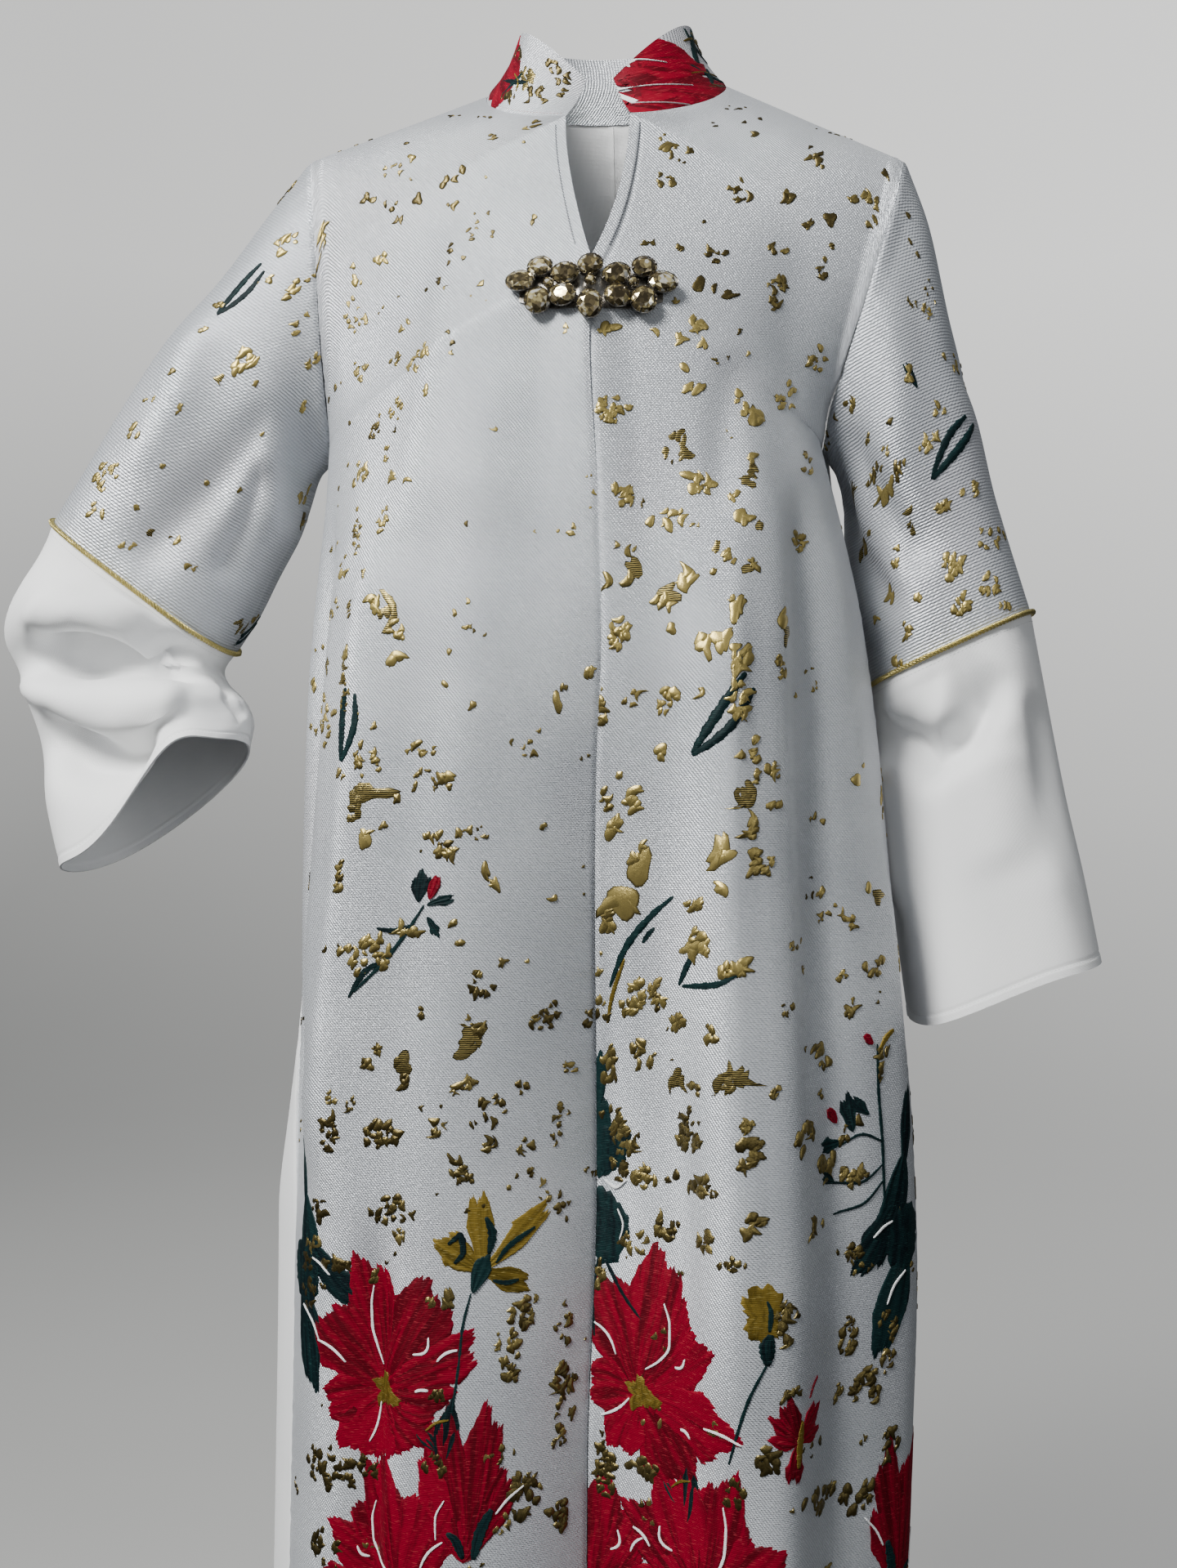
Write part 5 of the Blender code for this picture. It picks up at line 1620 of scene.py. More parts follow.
    def olive_bud(self) -> None:
        """An olive bud in a dark cup on a slanting stem."""
        self.blot(Ink.OLIVE, (0, 20), (7, 15, 19, 14, 7, 12, 16, 12), 0, 1.8)
        self.stroke(Ink.GREEN, ((3, 10), (4, 22), (2, 30)), 3, 0.2, 0.6)
        self.stroke(Ink.GREEN, ((2, -10), (2, 2), (4, 10)), 8, 0.2, 0.5)
        self.stroke(Ink.GREEN, ((2, -8), (-8, -30), (-22, -72)), 2.0, 0.5)

    def leaf_mass(self) -> None:
        """Dark lobed leaves one above another, with stems below."""
        for x, y, turn, length, width in ((-2, 44, 82, 40, 16), (4, 6, 80, 30, 26),
                                          (0, 4, 84, 52, 32), (4, 10, 50, 34, 20)):
            self.petal(Ink.GREEN, (x, y), turn, length, width, 0.9, 0.6)
        self.blot(Ink.GREEN, (4, -22), (20, 17, 22, 16, 14, 20, 26, 20), 10, 0.8)
        self.blot(Ink.GREEN, (6, 22), (15, 18, 14, 17, 18, 14, 13, 15), 30, 0.8)
        self.stroke(Ink.GREEN, ((0, -44), (-3, -70), (-2, -92)), 2.8, 0.5)
        self.stroke(Ink.GREEN, ((4, -44), (16, -60), (34, -76)), 3.2, 0.4)
        self.stroke(Ink.WHITE, ((14, -12), (19, -22), (16, -32)), 1.3, 0.4, 0.75, 0.2)
        self.stroke(Ink.WHITE, ((22, 6), (12, 0), (4, 4)), 1.6, 0.4, 0.75, 0.2)

    def leaf_pair(self) -> None:
        """Two long narrow leaves that part from one stalk."""
        self.stroke(Ink.GREEN, ((-21, -26), (-10, -8), (0, 7), (12, 22)), 7.0, 0.3)
        self.stroke(Ink.GREEN, ((-21, -27), (-7, -18), (6, -6), (17, 13)), 6.4, 0.3)

    def long_leaves(self) -> None:
        """Slender leaves that lean to one side, with a gold stalk."""
        self.stroke(Ink.GREEN, ((-24, -26), (-12, 0), (6, 22), (20, 34)), 5.0, 0.25)
        self.stroke(Ink.GREEN, ((0, 4), (4, 10), (8, 14)), 3.4, 0.3)
        self.stroke(Ink.GREEN, ((26, -22), (34, -4), (38, 2)), 4.6, 0.25)
        self.stroke(Ink.GREEN, ((28, -22), (50, -20), (66, -12)), 4.2, 0.25)
        self.stroke(Ink.OLIVE, ((-26, -50), (-22, -32), (-12, -6)), 3.4, 0.3)

    def spray(self) -> None:
        """A small spray: green scraps, a red bud at its top and a trailing stem."""
        self.petal(Ink.GREEN, (-4, -2), 86, 22, 18, 2.0)
        self.petal(Ink.RED, (4, 0), 70, 18, 12, 1.0, 0.6, 0.5)
        self.petal(Ink.GREEN, (2, -4), 20, 20, 9, 2.0)
        self.petal(Ink.GREEN, (2, -12), 300, 16, 9, 2.0)
        self.stroke(Ink.GREEN, ((0, -4), (-14, -24), (-30, -44), (-52, -66)), 3.0, 0.4)
        self.stroke(Ink.GREEN, ((-28, -42), (-42, -50), (-56, -70)), 4.4, 0.2)
        self.stroke(Ink.GREEN, ((-10, -18), (-22, -22), (-34, -20)), 4.0, 0.2)

    def twig(self) -> None:
        """A branching twig with red buds and dark leaf scraps."""
        self.stroke(Ink.GREEN, ((4, -60), (0, -20), (-6, 20), (-8, 46)), 2.4, 0.5)
        self.stroke(Ink.GREEN, ((0, -16), (-16, -10), (-30, -16)), 2.0, 0.5)
        self.stroke(Ink.GREEN, ((1, -30), (-16, -40), (-40, -38)), 2.0, 0.5)
        self.stroke(Ink.GREEN, ((2, -40), (-14, -54), (-34, -58)), 2.0, 0.5)
        for x, y, turn, length, width in ((-22, -8, 110, 24, 14), (-30, -14, 190, 16, 12),
                                          (-12, 2, 140, 16, 10), (-34, -38, 150, 12, 10)):
            self.petal(Ink.GREEN, (x, y), turn, length, width, 2.0)
        self.petal(Ink.RED, (-34, -2), 120, 12, 10, 1.0, 0.6, 0.5)
        self.petal(Ink.RED, (-12, 46), 140, 9, 8, 1.0, 0.6, 0.5)
        self.stroke(Ink.OLIVE, ((-6, 42), (0, 50), (6, 54)), 4.0, 0.3, 0.5)

    def teal_leaf(self) -> None:
        """A short broad leaf under a flower."""
        self.petal(Ink.GREEN, (0, -26), 84, 42, 24, 1.0, 0.5)
        self.petal(Ink.GREEN, (-2, -16), 128, 20, 14, 1.2, 0.5)
        self.stroke(Ink.OLIVE, ((-10, -4), (-2, 2), (6, 4)), 1.8, 0.4, 0.6)

    def edge_leaves(self) -> None:
        """Large dark leaves that run off beside a seam."""
        for x, y, turn, length, width in ((0, 30, 84, 46, 14), (0, 40, 262, 60, 30),
                                          (-4, 14, 232, 46, 26), (4, -8, 258, 64, 34)):
            self.petal(Ink.GREEN, (x, y), turn, length, width, 1.0, 0.6)
        self.blot(Ink.GREEN, (2, -6), (13, 17, 19, 15, 13, 16, 20, 15), 0, 0.9)
        self.stroke(Ink.WHITE, ((-20, -4), (-12, 2), (-6, 4)), 1.4, 0.4, 0.75, 0.2)
        self.stroke(Ink.WHITE, ((4, -24), (-5, -32), (-10, -42)), 1.4, 0.4, 0.75, 0.2)

    def collar_red(self) -> None:
        """Part of a crimson flower, wide enough to fill the collar."""
        for turn, length, width in ((180, 30, 56), (0, 44, 62), (90, 30, 60), (270, 34, 62)):
            self.petal(Ink.RED, (0, 0), turn, length, width, 0.7, 1.0)
        self.stroke(Ink.WHITE, ((-8, 18), (-2, 6), (-6, -10)), 1.4, 0.4, 0.75, 0.2)

    def collar_leaf(self) -> None:
        """Green strokes over olive scraps."""
        self.stroke(Ink.GREEN, ((-6, 24), (0, 6), (8, -20)), 6, 0.3)
        self.stroke(Ink.GREEN, ((6, 20), (-2, 2), (-10, -14)), 4, 0.3)
        self.stroke(Ink.OLIVE, ((-12, 8), (-2, 12), (10, 6)), 3, 0.3)


class Motif(NamedTuple):
    """Where a motif lies on a panel, in millimetres of cloth, its scale, turn and mirroring."""

    draw: str
    s: float
    t: float
    scale: float = 1.0
    turn: float = 0.0
    mirrored: bool = False


class Sowing(NamedTuple):
    """Clusters of flecks sown at random: how many, between which t (metres), the flecks' size
    (mm) and tone, a number that sets the random draws apart, and the most in a cluster."""

    count: int
    down: tuple[float, float]
    size: float = 5.4
    tone: float = 0.5
    draw: int = 0
    most: int = 8


@dataclass
class Print:
    """The woven design of one panel: motifs of coloured yarn and puffed metal flecks."""

    cloth: Cloth
    seed: int
    corners: int = 16
    waves: tuple[tuple[int, float], ...] = ((2, 0.16), (3, 0.17), (4, 0.08), (5, 0.05))
    grows: tuple[float, float] = (1.0, 0.72)
    rises: tuple[float, float] = (-0.15, 0.85)
    crown_limits: tuple[float, float] = (0.2, 0.85)

    def sow(self, sowing: Sowing, across: tuple[float, float]) -> Array:
        """Seeded clusters between two coordinates s and two coordinates t.

        Args:
            sowing: How many clusters, between which t, and how large.
            across: Two coordinates s, in metres.

        Returns:
            Rows like those of a fleck table, in millimetres.
        """
        rng = np.random.default_rng(self.seed + 7 + 100 * sowing.draw)
        count, most = sowing.count, sowing.most
        return np.stack([rng.uniform(*across, count) / MM,
                         rng.uniform(*sowing.down, count) / MM,
                         rng.uniform(3, 12, count), rng.uniform(3, 9, count),
                         rng.integers(1 + most // 4, most + 1, count),
                         rng.uniform(0.7, 1.4, count) * sowing.size,
                         sowing.tone + rng.uniform(-0.3, 0.3, count)], axis=-1)

    def motifs(self, motifs: Sequence[Motif], finishes: dict[Ink, "Finish"]
               ) -> list[bpy.types.Object]:
        """Draws every motif and makes one mesh for each yarn.

        Args:
            motifs: Where the motifs lie.
            finishes: Finish of each yarn.

        Returns:
            The objects.
        """
        bins: dict[Ink, list] = {ink: [] for ink in Ink}
        for number, motif in enumerate(motifs):
            drawing = Drawing(self.seed * 100 + number)
            getattr(drawing, motif.draw)()
            turn = math.radians(motif.turn)
            for patch in drawing.patches:
                x = (-patch.x if motif.mirrored else patch.x) * motif.scale
                y = patch.y * motif.scale
                s = motif.s * MM + x * math.cos(turn) - y * math.sin(turn)
                t = motif.t * MM - x * math.sin(turn) - y * math.cos(turn)
                bins[patch.ink].append((patch, s, t))
        made = []
        for ink, drawn in bins.items():
            if drawn:
                made += self.motif_mesh(ink, drawn, finishes[ink])
        return made

    def motif_mesh(self, ink: Ink, drawn: Sequence[tuple], finish: "Finish"
                   ) -> list[bpy.types.Object]:
        """Joins patches of one yarn into a mesh, cut off where the panel ends.

        Args:
            ink: The yarn.
            drawn: Patches, each with its coordinates s and t.
            finish: Finish that it takes.

        Returns:
            The object in a list, or an empty list.
        """
        points, faces, places, marks = [], [], [], {"along": [], "beside": [], "tone": []}
        first = 0
        for patch, s, t in drawn:
            flat_s, flat_t = s.ravel(), t.ravel()
            owner = np.zeros(len(flat_s), int)
            row, column, inside = self.cloth.settle(
                flat_s, flat_t, np.array([np.median(flat_s)]), np.array([np.median(flat_t)]),
                owner)
            if not inside.any():
                continue
            points.append(self.cloth.lift(row, column, patch.height.ravel()))
            quads = grid_quads(np.arange(s.size).reshape(s.shape))
            quads = quads[inside[quads].any(axis=1)]
            if self.cloth.facing(points[-1], quads, row, column) < 0:
                quads = quads[:, ::-1]
            faces.append(quads + first)
            places.append(np.stack([self.cloth.mix(self.cloth.s, row, column),
                                    self.cloth.mix(self.cloth.t, row, column)], axis=-1))
            marks["along"].append(patch.along.ravel())
            marks["beside"].append(patch.beside.ravel())
            marks["tone"].append(np.full(s.size, patch.tone))
            first += s.size
        if not faces:
            return []
        corners = np.concatenate(faces)
        place = np.concatenate(places)[corners.ravel()]
        return [write_mesh(f"{self.cloth.name}_{ink.value}", np.concatenate(points), [corners],
                           finish, place, {k: np.concatenate(v) for k, v in marks.items()})]

    def flecks(self, clusters: Array, finish: "Finish") -> bpy.types.Object:
        """Scatters puffed flecks in the clusters of a table.

        A fleck's outline is a circle waved by four sines, drawn out to one side and bent; two
        rings rise from it to a crown.

        Args:
            clusters: Rows of s, t, half width, half height (mm), count, size (mm) and tone,
                which is below 0 where the fleck is hatched.
            finish: The metal thread.

        Returns:
            The object.
        """
        rng = np.random.default_rng(self.seed)
        rows = np.repeat(clusters, clusters[:, 4].astype(int), axis=0)
        count = len(rows)
        alone = rows[:, 4] == 1
        angle = rng.uniform(0, 2 * math.pi, count)
        away = np.sqrt(rng.uniform(0, 1, count)) * np.where(alone, 0.2, 1.0)
        s0 = (rows[:, 0] + rows[:, 2] * away * np.cos(angle)) * MM
        t0 = (rows[:, 1] + rows[:, 3] * away * np.sin(angle)) * MM
        hatch = (rows[:, 6] < 0).astype(float)
        size = rows[:, 5] * MM * np.where(alone, 1.0, rng.uniform(0.55, 1.25, count))
        s, t = self.fleck_rings(rng, hatch, size)
        low, high = self.crown_limits
        tall = np.clip(0.15 * size + 0.15 * MM, low * MM, high * MM) * (1 - 0.55 * hatch)
        height = tall[:, None, None] * np.array(self.rises)[:, None] * np.ones_like(s)
        s, t, height = (np.concatenate([ring.reshape(count, -1), crown[:, None]], axis=1)
                        for ring, crown in ((s0[:, None, None] + s, s0),
                                            (t0[:, None, None] - t, t0), (height, tall)))
        each = s.shape[1]
        owner = np.repeat(np.arange(count), each)
        row, column, inside = self.cloth.settle(s.ravel(), t.ravel(), s0, t0, owner)
        whole = inside.reshape(count, each)[:, -1]
        points = self.cloth.lift(row, column, height.ravel())
        quads, cap = self.fleck_faces(np.arange(count)[whole] * each)
        if self.cloth.facing(points, quads, row, column) < 0:
            quads = quads[:, ::-1]
        else:
            cap = cap[:, ::-1]
        used = np.concatenate([quads.ravel(), cap.ravel()])
        place = np.stack([s.ravel(), t.ravel()], axis=-1)[used]
        rim = np.concatenate([np.repeat((1.0, 0.35), self.corners), (0.0,)])
        tone = np.abs(rows[:, 6]) + rng.normal(0, 0.08, count)
        marks = {"rim": np.tile(rim, count), "tone": np.repeat(tone, each),
                 "hatch": np.repeat(hatch, each)}
        return write_mesh(self.cloth.name + "_flecks", points, [quads, cap], finish, place,
                          marks)

    def fleck_rings(self, rng: np.random.Generator, hatch: Array, size: Array
                    ) -> tuple[Array, Array]:
        """Two rings of each fleck round its middle: circles waved, drawn out, bent and turned.

        Args:
            rng: The random draws.
            hatch: 1 where a fleck is hatched.
            size: Size of each fleck.

        Returns:
            Steps along s and against t.
        """
        count = len(hatch)
        stretch = rng.uniform(1.1, 2.1, count)
        lean = rng.normal(1.1, 0.55, count)
        turn = np.linspace(0, 2 * math.pi, self.corners, endpoint=False)
        outline = np.ones((count, self.corners))
        for wave, strength in self.waves:
            outline += (rng.normal(0, strength, (count, 1)) * (1 + 0.6 * hatch[:, None])
                        * np.cos(wave * turn + rng.uniform(0, 2 * math.pi, (count, 1))))
        outline = np.clip(outline, 0.35, 1.7)
        radius = outline[:, None, :] * np.array(self.grows)[:, None]
        x = radius * np.cos(turn) * np.sqrt(stretch)[:, None, None]
        y = radius * np.sin(turn) / np.sqrt(stretch)[:, None, None]
        y = y + rng.normal(0, 0.3, count)[:, None, None] * x ** 2
        half = (size / 2)[:, None, None]
        cosine, sine = np.cos(lean)[:, None, None], np.sin(lean)[:, None, None]
        return half * (x * cosine - y * sine), half * (x * sine + y * cosine)

    def fleck_faces(self, first: Array) -> tuple[Array, Array]:
        """Faces of flecks, each of an outer ring, an inner ring and a crown.

        Args:
            first: Number of each fleck's first point.

        Returns:
            The quads between the rings, and the triangles of the crowns.
        """
        ring = closed_up(np.arange(2 * self.corners).reshape(2, self.corners))
        cap = np.stack([ring[1, :-1], ring[1, 1:], np.full(self.corners, 2 * self.corners)],
                       axis=-1)
        shift = first[:, None, None]
        return (grid_quads(ring) + shift).reshape(-1, 4), (cap + shift).reshape(-1, 3)


@dataclass(frozen=True)
class MetalThread(Finish):
    """Puffed metal thread: pale gold to dark bronze, dark at its rim, hatched where marked."""

    name: str = "metal_thread"
    slot: str = "jacquard"
    gold: Colour = (0.50, 0.39, 0.13, 1.0)
    bronze: Colour = (0.085, 0.064, 0.022, 1.0)
    dark: Colour = (0.022, 0.019, 0.010, 1.0)

    def write(self, book: NodeBook) -> None:
        """Tone picks gold or bronze; the rim and the hatching are dark.

        Args:
            book: Nodes of the material.
        """
        place, s, t = book.flat()
        grain = book.noise(book.scaled(place, 1.0, 4.0), 700.0, 2.0)
        tone = book.maths("ADD", book.mark("tone"), book.maths("MULTIPLY_ADD", grain, 0.7, -0.35))
        low = book.maths("MULTIPLY", book.step(t, 0.50, 0.74), 0.24)
        tone = book.maths("ADD", tone, low)
        tone = book.maths("SUBTRACT", tone, book.maths("MULTIPLY", book.mark("hatch"), 0.5))
        colour = book.blend(book.step(tone, 0.15, 0.95), self.gold, self.bronze)
        wander = book.noise(place, 350.0, 1.0)
        ribs = book.wave(book.maths("MULTIPLY_ADD", wander, 0.0006, t), 0.0013)
        hatched = book.maths("MULTIPLY", book.mark("hatch"), book.step(ribs, 0.42, 0.62))
        colour = book.blend(hatched, colour, self.dark)
        colour = book.blend(book.step(book.mark("rim"), 0.5, 0.95), colour, self.dark)
        thread = book.maths("MULTIPLY_ADD", book.wave(t, 0.00042), 0.5, grain)
        book.surface(Base_Color=colour, Metallic=0.85,
                     Roughness=book.add("MapRange", (grain, 0.2, 0.8, 0.24, 0.42)),
                     Normal=book.relief(thread, 0.0001, 0.6))


@dataclass(frozen=True)
class Yarn(Finish):
    """Coloured satin yarn of a woven motif, streaked along it, with short dashes of painted
    highlight across the weave.
    """

    name: str = "red_yarn"
    slot: str = "jacquard"
    light: Colour = (0.195, 0.0008, 0.013, 1.0)
    deep: Colour = (0.070, 0.0003, 0.005, 1.0)
    painted_glint_colour: Colour = (0.46, 0.05, 0.065, 1.0)
    painted_glint_share: float = 0.38
    shine: float = 0.0

    def write(self, book: NodeBook) -> None:
        """Streaks follow the motif; the painted highlight dashes and the ribs follow the weave.

        Args:
            book: Nodes of the material.
        """
        place, s, t = book.flat()
        tone = book.mark("tone")
        own = book.add("CombineXYZ", (book.maths("MULTIPLY", book.mark("beside"), 3.2),
                                      book.maths("MULTIPLY", book.mark("along"), 0.9),
                                      book.maths("MULTIPLY", tone, 9.0)))
        streak = book.noise(own, 1.3, 3.0, rough=0.55)
        depth = book.maths("ADD", streak, book.maths("MULTIPLY_ADD", tone, 0.22, -0.11))
        colour = book.blend(book.step(depth, 0.30, 0.62), self.deep, self.light)
        wrinkle = book.noise(book.scaled(place, 0.35, 1.6), 240.0, 3.0)
        # painted highlight: short pale dashes across the weave stand for glints of the satin; they
        # are also made smoother
        dash = book.noise(book.scaled(place, 0.26, 2.0), 700.0, 1.0)
        shown = book.maths("MULTIPLY", book.step(dash, 0.62, 0.70), self.painted_glint_share)
        colour = book.blend(shown, colour, self.painted_glint_colour)
        ribs = book.maths("MULTIPLY_ADD", book.wave(t, 0.0008), 0.25, wrinkle)
        rough = book.maths("SUBTRACT", 0.5, book.maths("MULTIPLY", shown, 0.3))
        book.surface(Base_Color=colour, Metallic=self.shine, Specular_IOR_Level=0.10,
                     Roughness=rough,
                     Normal=book.relief(ribs, 0.0004, 0.8))


YARNS = {
    Ink.RED: Yarn(),
    Ink.GREEN: Yarn("green_yarn", light=(0.005, 0.020, 0.021, 1.0),
                    deep=(0.002, 0.006, 0.008, 1.0), painted_glint_colour=(0.04, 0.11, 0.10, 1.0),
                    painted_glint_share=0.25),
    Ink.OLIVE: Yarn("olive_yarn", light=(0.175, 0.120, 0.020, 1.0),
                    deep=(0.080, 0.055, 0.008, 1.0), painted_glint_colour=(0.45, 0.36, 0.12, 1.0),
                    painted_glint_share=0.5, shine=0.3),
    Ink.WHITE: Yarn("white_yarn", light=(0.82, 0.82, 0.82, 1.0), deep=(0.70, 0.71, 0.72, 1.0),
                    painted_glint_colour=(0.95, 0.95, 0.95, 1.0), painted_glint_share=0.2),
}


class Drag(NamedTuple):
    """A fold line on a piece: its path (s and t) and, in millimetres, its width before and
    behind the path, its height and how far it rolls over downwards."""

    piece: str
    path: tuple
    before: float
    behind: float
    height: float
    roll: float = 0.0


class SeamLook(NamedTuple):
    """A seam's groove and puckers, in millimetres: depth, height and reach."""

    dip: float
    pucker: float
    reach: float = 13.0


SEAM_LOOKS = {
    "centre_front": SeamLook(0.9, 0.25), "side_front": SeamLook(0.8, 0.35),
    "hem": SeamLook(0.5, 0.15, 20), "centre_back": SeamLook(0.7, 0.25),
    "side_back": SeamLook(0.7, 0.35), "armhole": SeamLook(0.8, 0.35, 16),
    "elbow": SeamLook(0.3, 0.3, 14), "cuff": SeamLook(0.3, 0.25, 10),
    "underarm": SeamLook(0.8, 0.25), "neck": SeamLook(0.5, 0.2, 8),
}


@dataclass
class Relief:
    """Small shapes on a piece of cloth: seams, puckers, raised bands and fold lines."""

    cloth: Cloth
    pucker_pitch: float = 0.014
    groove: float = 0.0022
    band_rim: float = 0.0008
    fold_fade: float = 0.22
    height: Array = field(init=False)
    roll: Array = field(init=False)

    def __post_init__(self) -> None:
        """Starts level."""
        self.height = np.zeros(self.cloth.s.shape)
        self.roll = np.zeros(self.cloth.s.shape)

    def ripple(self, along: Array) -> Array:
        """Uneven waves along a seam: three sines whose pitches share no multiple."""
        turn = 2 * math.pi * along / self.pucker_pitch
        return (np.sin(turn) + 0.6 * np.sin(turn * 0.61 + 1) + 0.5 * np.sin(turn * 1.37 + 2)) / 2

    def seam(self, away: Array, along: Array, kind: str) -> None:
        """A seam's groove, with puckers that die away from it.

        Args:
            away: Distance from the seam.
            along: Distance along it.
            kind: Which seam it is.
        """
        dip, pucker, reach = SEAM_LOOKS[kind]
        self.height += MM * (pucker * self.ripple(along) * bump(away, reach * MM)
                             - dip * bump(away, self.groove))

    def band(self, away: Array, width: float, rise: float, where: Array) -> None:
        """A raised band along an edge, with a groove beside it.

        Args:
            away: Distance from the edge.
            width: Width, in millimetres.
            rise: Height, in millimetres.
            where: Share of it that is kept.
        """
        edge = ease((width * MM + self.band_rim - away) / (2 * self.band_rim))
        self.height += rise * MM * edge * where - 0.5 * MM * where * bump(
            away - width * MM - 0.0011, 0.0010)

    def drags(self) -> None:
        """Fold lines: a bell across each path, with its own width on either side."""
        for drag in (d for d in DRAGS if d.piece == self.cloth.name):
            path = np.array(drag.path, float) * MM
            best = np.full(self.cloth.s.shape, 1e3)
            side, share = np.ones_like(best), np.zeros_like(best)
            for number, (start, end) in enumerate(zip(path[:-1], path[1:])):
                step = end - start
                at_s, at_t = self.cloth.s - start[0], self.cloth.t - start[1]
                reach = np.clip((at_s * step[0] + at_t * step[1]) / (step @ step), 0, 1)
                gap_s, gap_t = at_s - reach * step[0], at_t - reach * step[1]
                away = np.hypot(gap_s, gap_t)
                near = away < best
                best = np.where(near, away, best)
                side = np.where(near, np.sign(step[1] * gap_s - step[0] * gap_t), side)
                share = np.where(near, (number + reach) / (len(path) - 1), share)
            width = np.where(side > 0, drag.behind, drag.before) * MM
            fade = ease(share / self.fold_fade) * ease((1 - share) / self.fold_fade)
            shape = MM * fade * np.exp(-(best / width) ** 2)
            self.height += drag.height * shape
            self.roll += drag.roll * shape

    def apply(self) -> None:
        """Moves the cloth down by its rolls and out by the height gathered."""
        down = unit(np.gradient(self.cloth.points, axis=0))
        self.cloth.points = self.cloth.points + down * self.roll[..., None]
        self.cloth.raise_by(self.height)


class Stitch(NamedTuple):
    """A kind of stitch, in millimetres: its pitch, its length and its thread's radius. The
    swing is its turn to either side in alternation (a zigzag), in degrees."""

    pitch: float
    length: float
    radius: float = 0.2
    swing: float = 0.0


KEYHOLE_STITCH = Stitch(1.15, 2.0, 0.30, 46)
HEM_STITCH = Stitch(3.0, 2.2)
CUFF_STITCH = Stitch(2.8, 2.1, 0.19)
COLLAR_STITCH = Stitch(2.4, 1.8, 0.18)


class Thread:
    """Rows of stitches on a piece of cloth, as one mesh of small spindles."""

    def __init__(self, cloth: Cloth) -> None:
        """Starts with no stitches."""
        self.cloth = cloth
        self.rows: list[Array] = []

    def run(self, s: Array, t: Array, stitch: Stitch) -> None:
        """Stitches along a path.

        Args:
            s: Coordinates s of the path.
            t: Coordinates t of the path.
            stitch: Kind of stitch.
        """
        place = np.concatenate([[0], np.cumsum(np.hypot(np.diff(s), np.diff(t)))])
        at = np.arange(stitch.pitch * MM / 2, place[-1], stitch.pitch * MM)
        turn = np.arctan2(np.interp(at, place, np.gradient(t)),
                          np.interp(at, place, np.gradient(s)))
        other = np.where(np.arange(len(at)) % 2 == 0, 1, -1)
        turn = turn + np.radians(stitch.swing * other)
        self.rows.append(np.stack([np.interp(at, place, s), np.interp(at, place, t), turn,
                                   np.full_like(at, stitch.length * MM),
                                   np.full_like(at, stitch.radius * MM)], axis=-1))

    def build(self, finish: Finish) -> bpy.types.Object:
        """Makes the mesh: each stitch has two tips and two rings of four points.

        Args:
            finish: Finish that it takes.

        Returns:
            The object.
        """
        rows = np.concatenate(self.rows)
        ring = np.array(((-1, 0.2), (0, 1.3), (1, 0.2), (0, -0.6)))
        along = np.repeat((-0.5, -0.26, 0.26, 0.5), (1, 4, 4, 1))
        beside = np.concatenate([(0,), ring[:, 0], ring[:, 0], (0,)])
        up = np.concatenate([(-0.4,), ring[:, 1], ring[:, 1], (-0.4,)])
        a, b = along * rows[:, 3:4], beside * rows[:, 4:5]
        cosine, sine = np.cos(rows[:, 2:3]), np.sin(rows[:, 2:3])
        s = rows[:, 0:1] + a * cosine - b * sine
        t = rows[:, 1:2] + a * sine + b * cosine
        height = up * rows[:, 4:5]
        each, count = len(along), len(rows)
        row, column, inside = self.cloth.settle(s.ravel(), t.ravel(), rows[:, 0], rows[:, 1],
                                                np.repeat(np.arange(count), each))
        whole = inside.reshape(count, each).all(axis=1)
        points = self.cloth.lift(row, column, height.ravel())
        k = np.arange(4)
        quads = np.stack([1 + k, 1 + (k + 1) % 4, 5 + (k + 1) % 4, 5 + k], axis=-1)
        tips = np.concatenate([np.stack([np.zeros(4, int), 1 + (k + 1) % 4, 1 + k], axis=-1),
                               np.stack([np.full(4, 9), 5 + k, 5 + (k + 1) % 4], axis=-1)])
        shift = (np.arange(count) * each)[whole][:, None, None]
        quads, tips = (quads + shift).reshape(-1, 4), (tips + shift).reshape(-1, 3)
        middle = points.reshape(count, each, 3).mean(axis=1)[quads[:, 0] // each]
        if (quad_normals(points, quads) * (points[quads[:, 0]] - middle)).sum() < 0:
            quads, tips = quads[:, ::-1], tips[:, ::-1]
        place = np.stack([s.ravel(), t.ravel()], axis=-1)[
            np.concatenate([quads.ravel(), tips.ravel()])]
        return write_mesh(self.cloth.name + "_stitches", points, [quads, tips], finish, place)


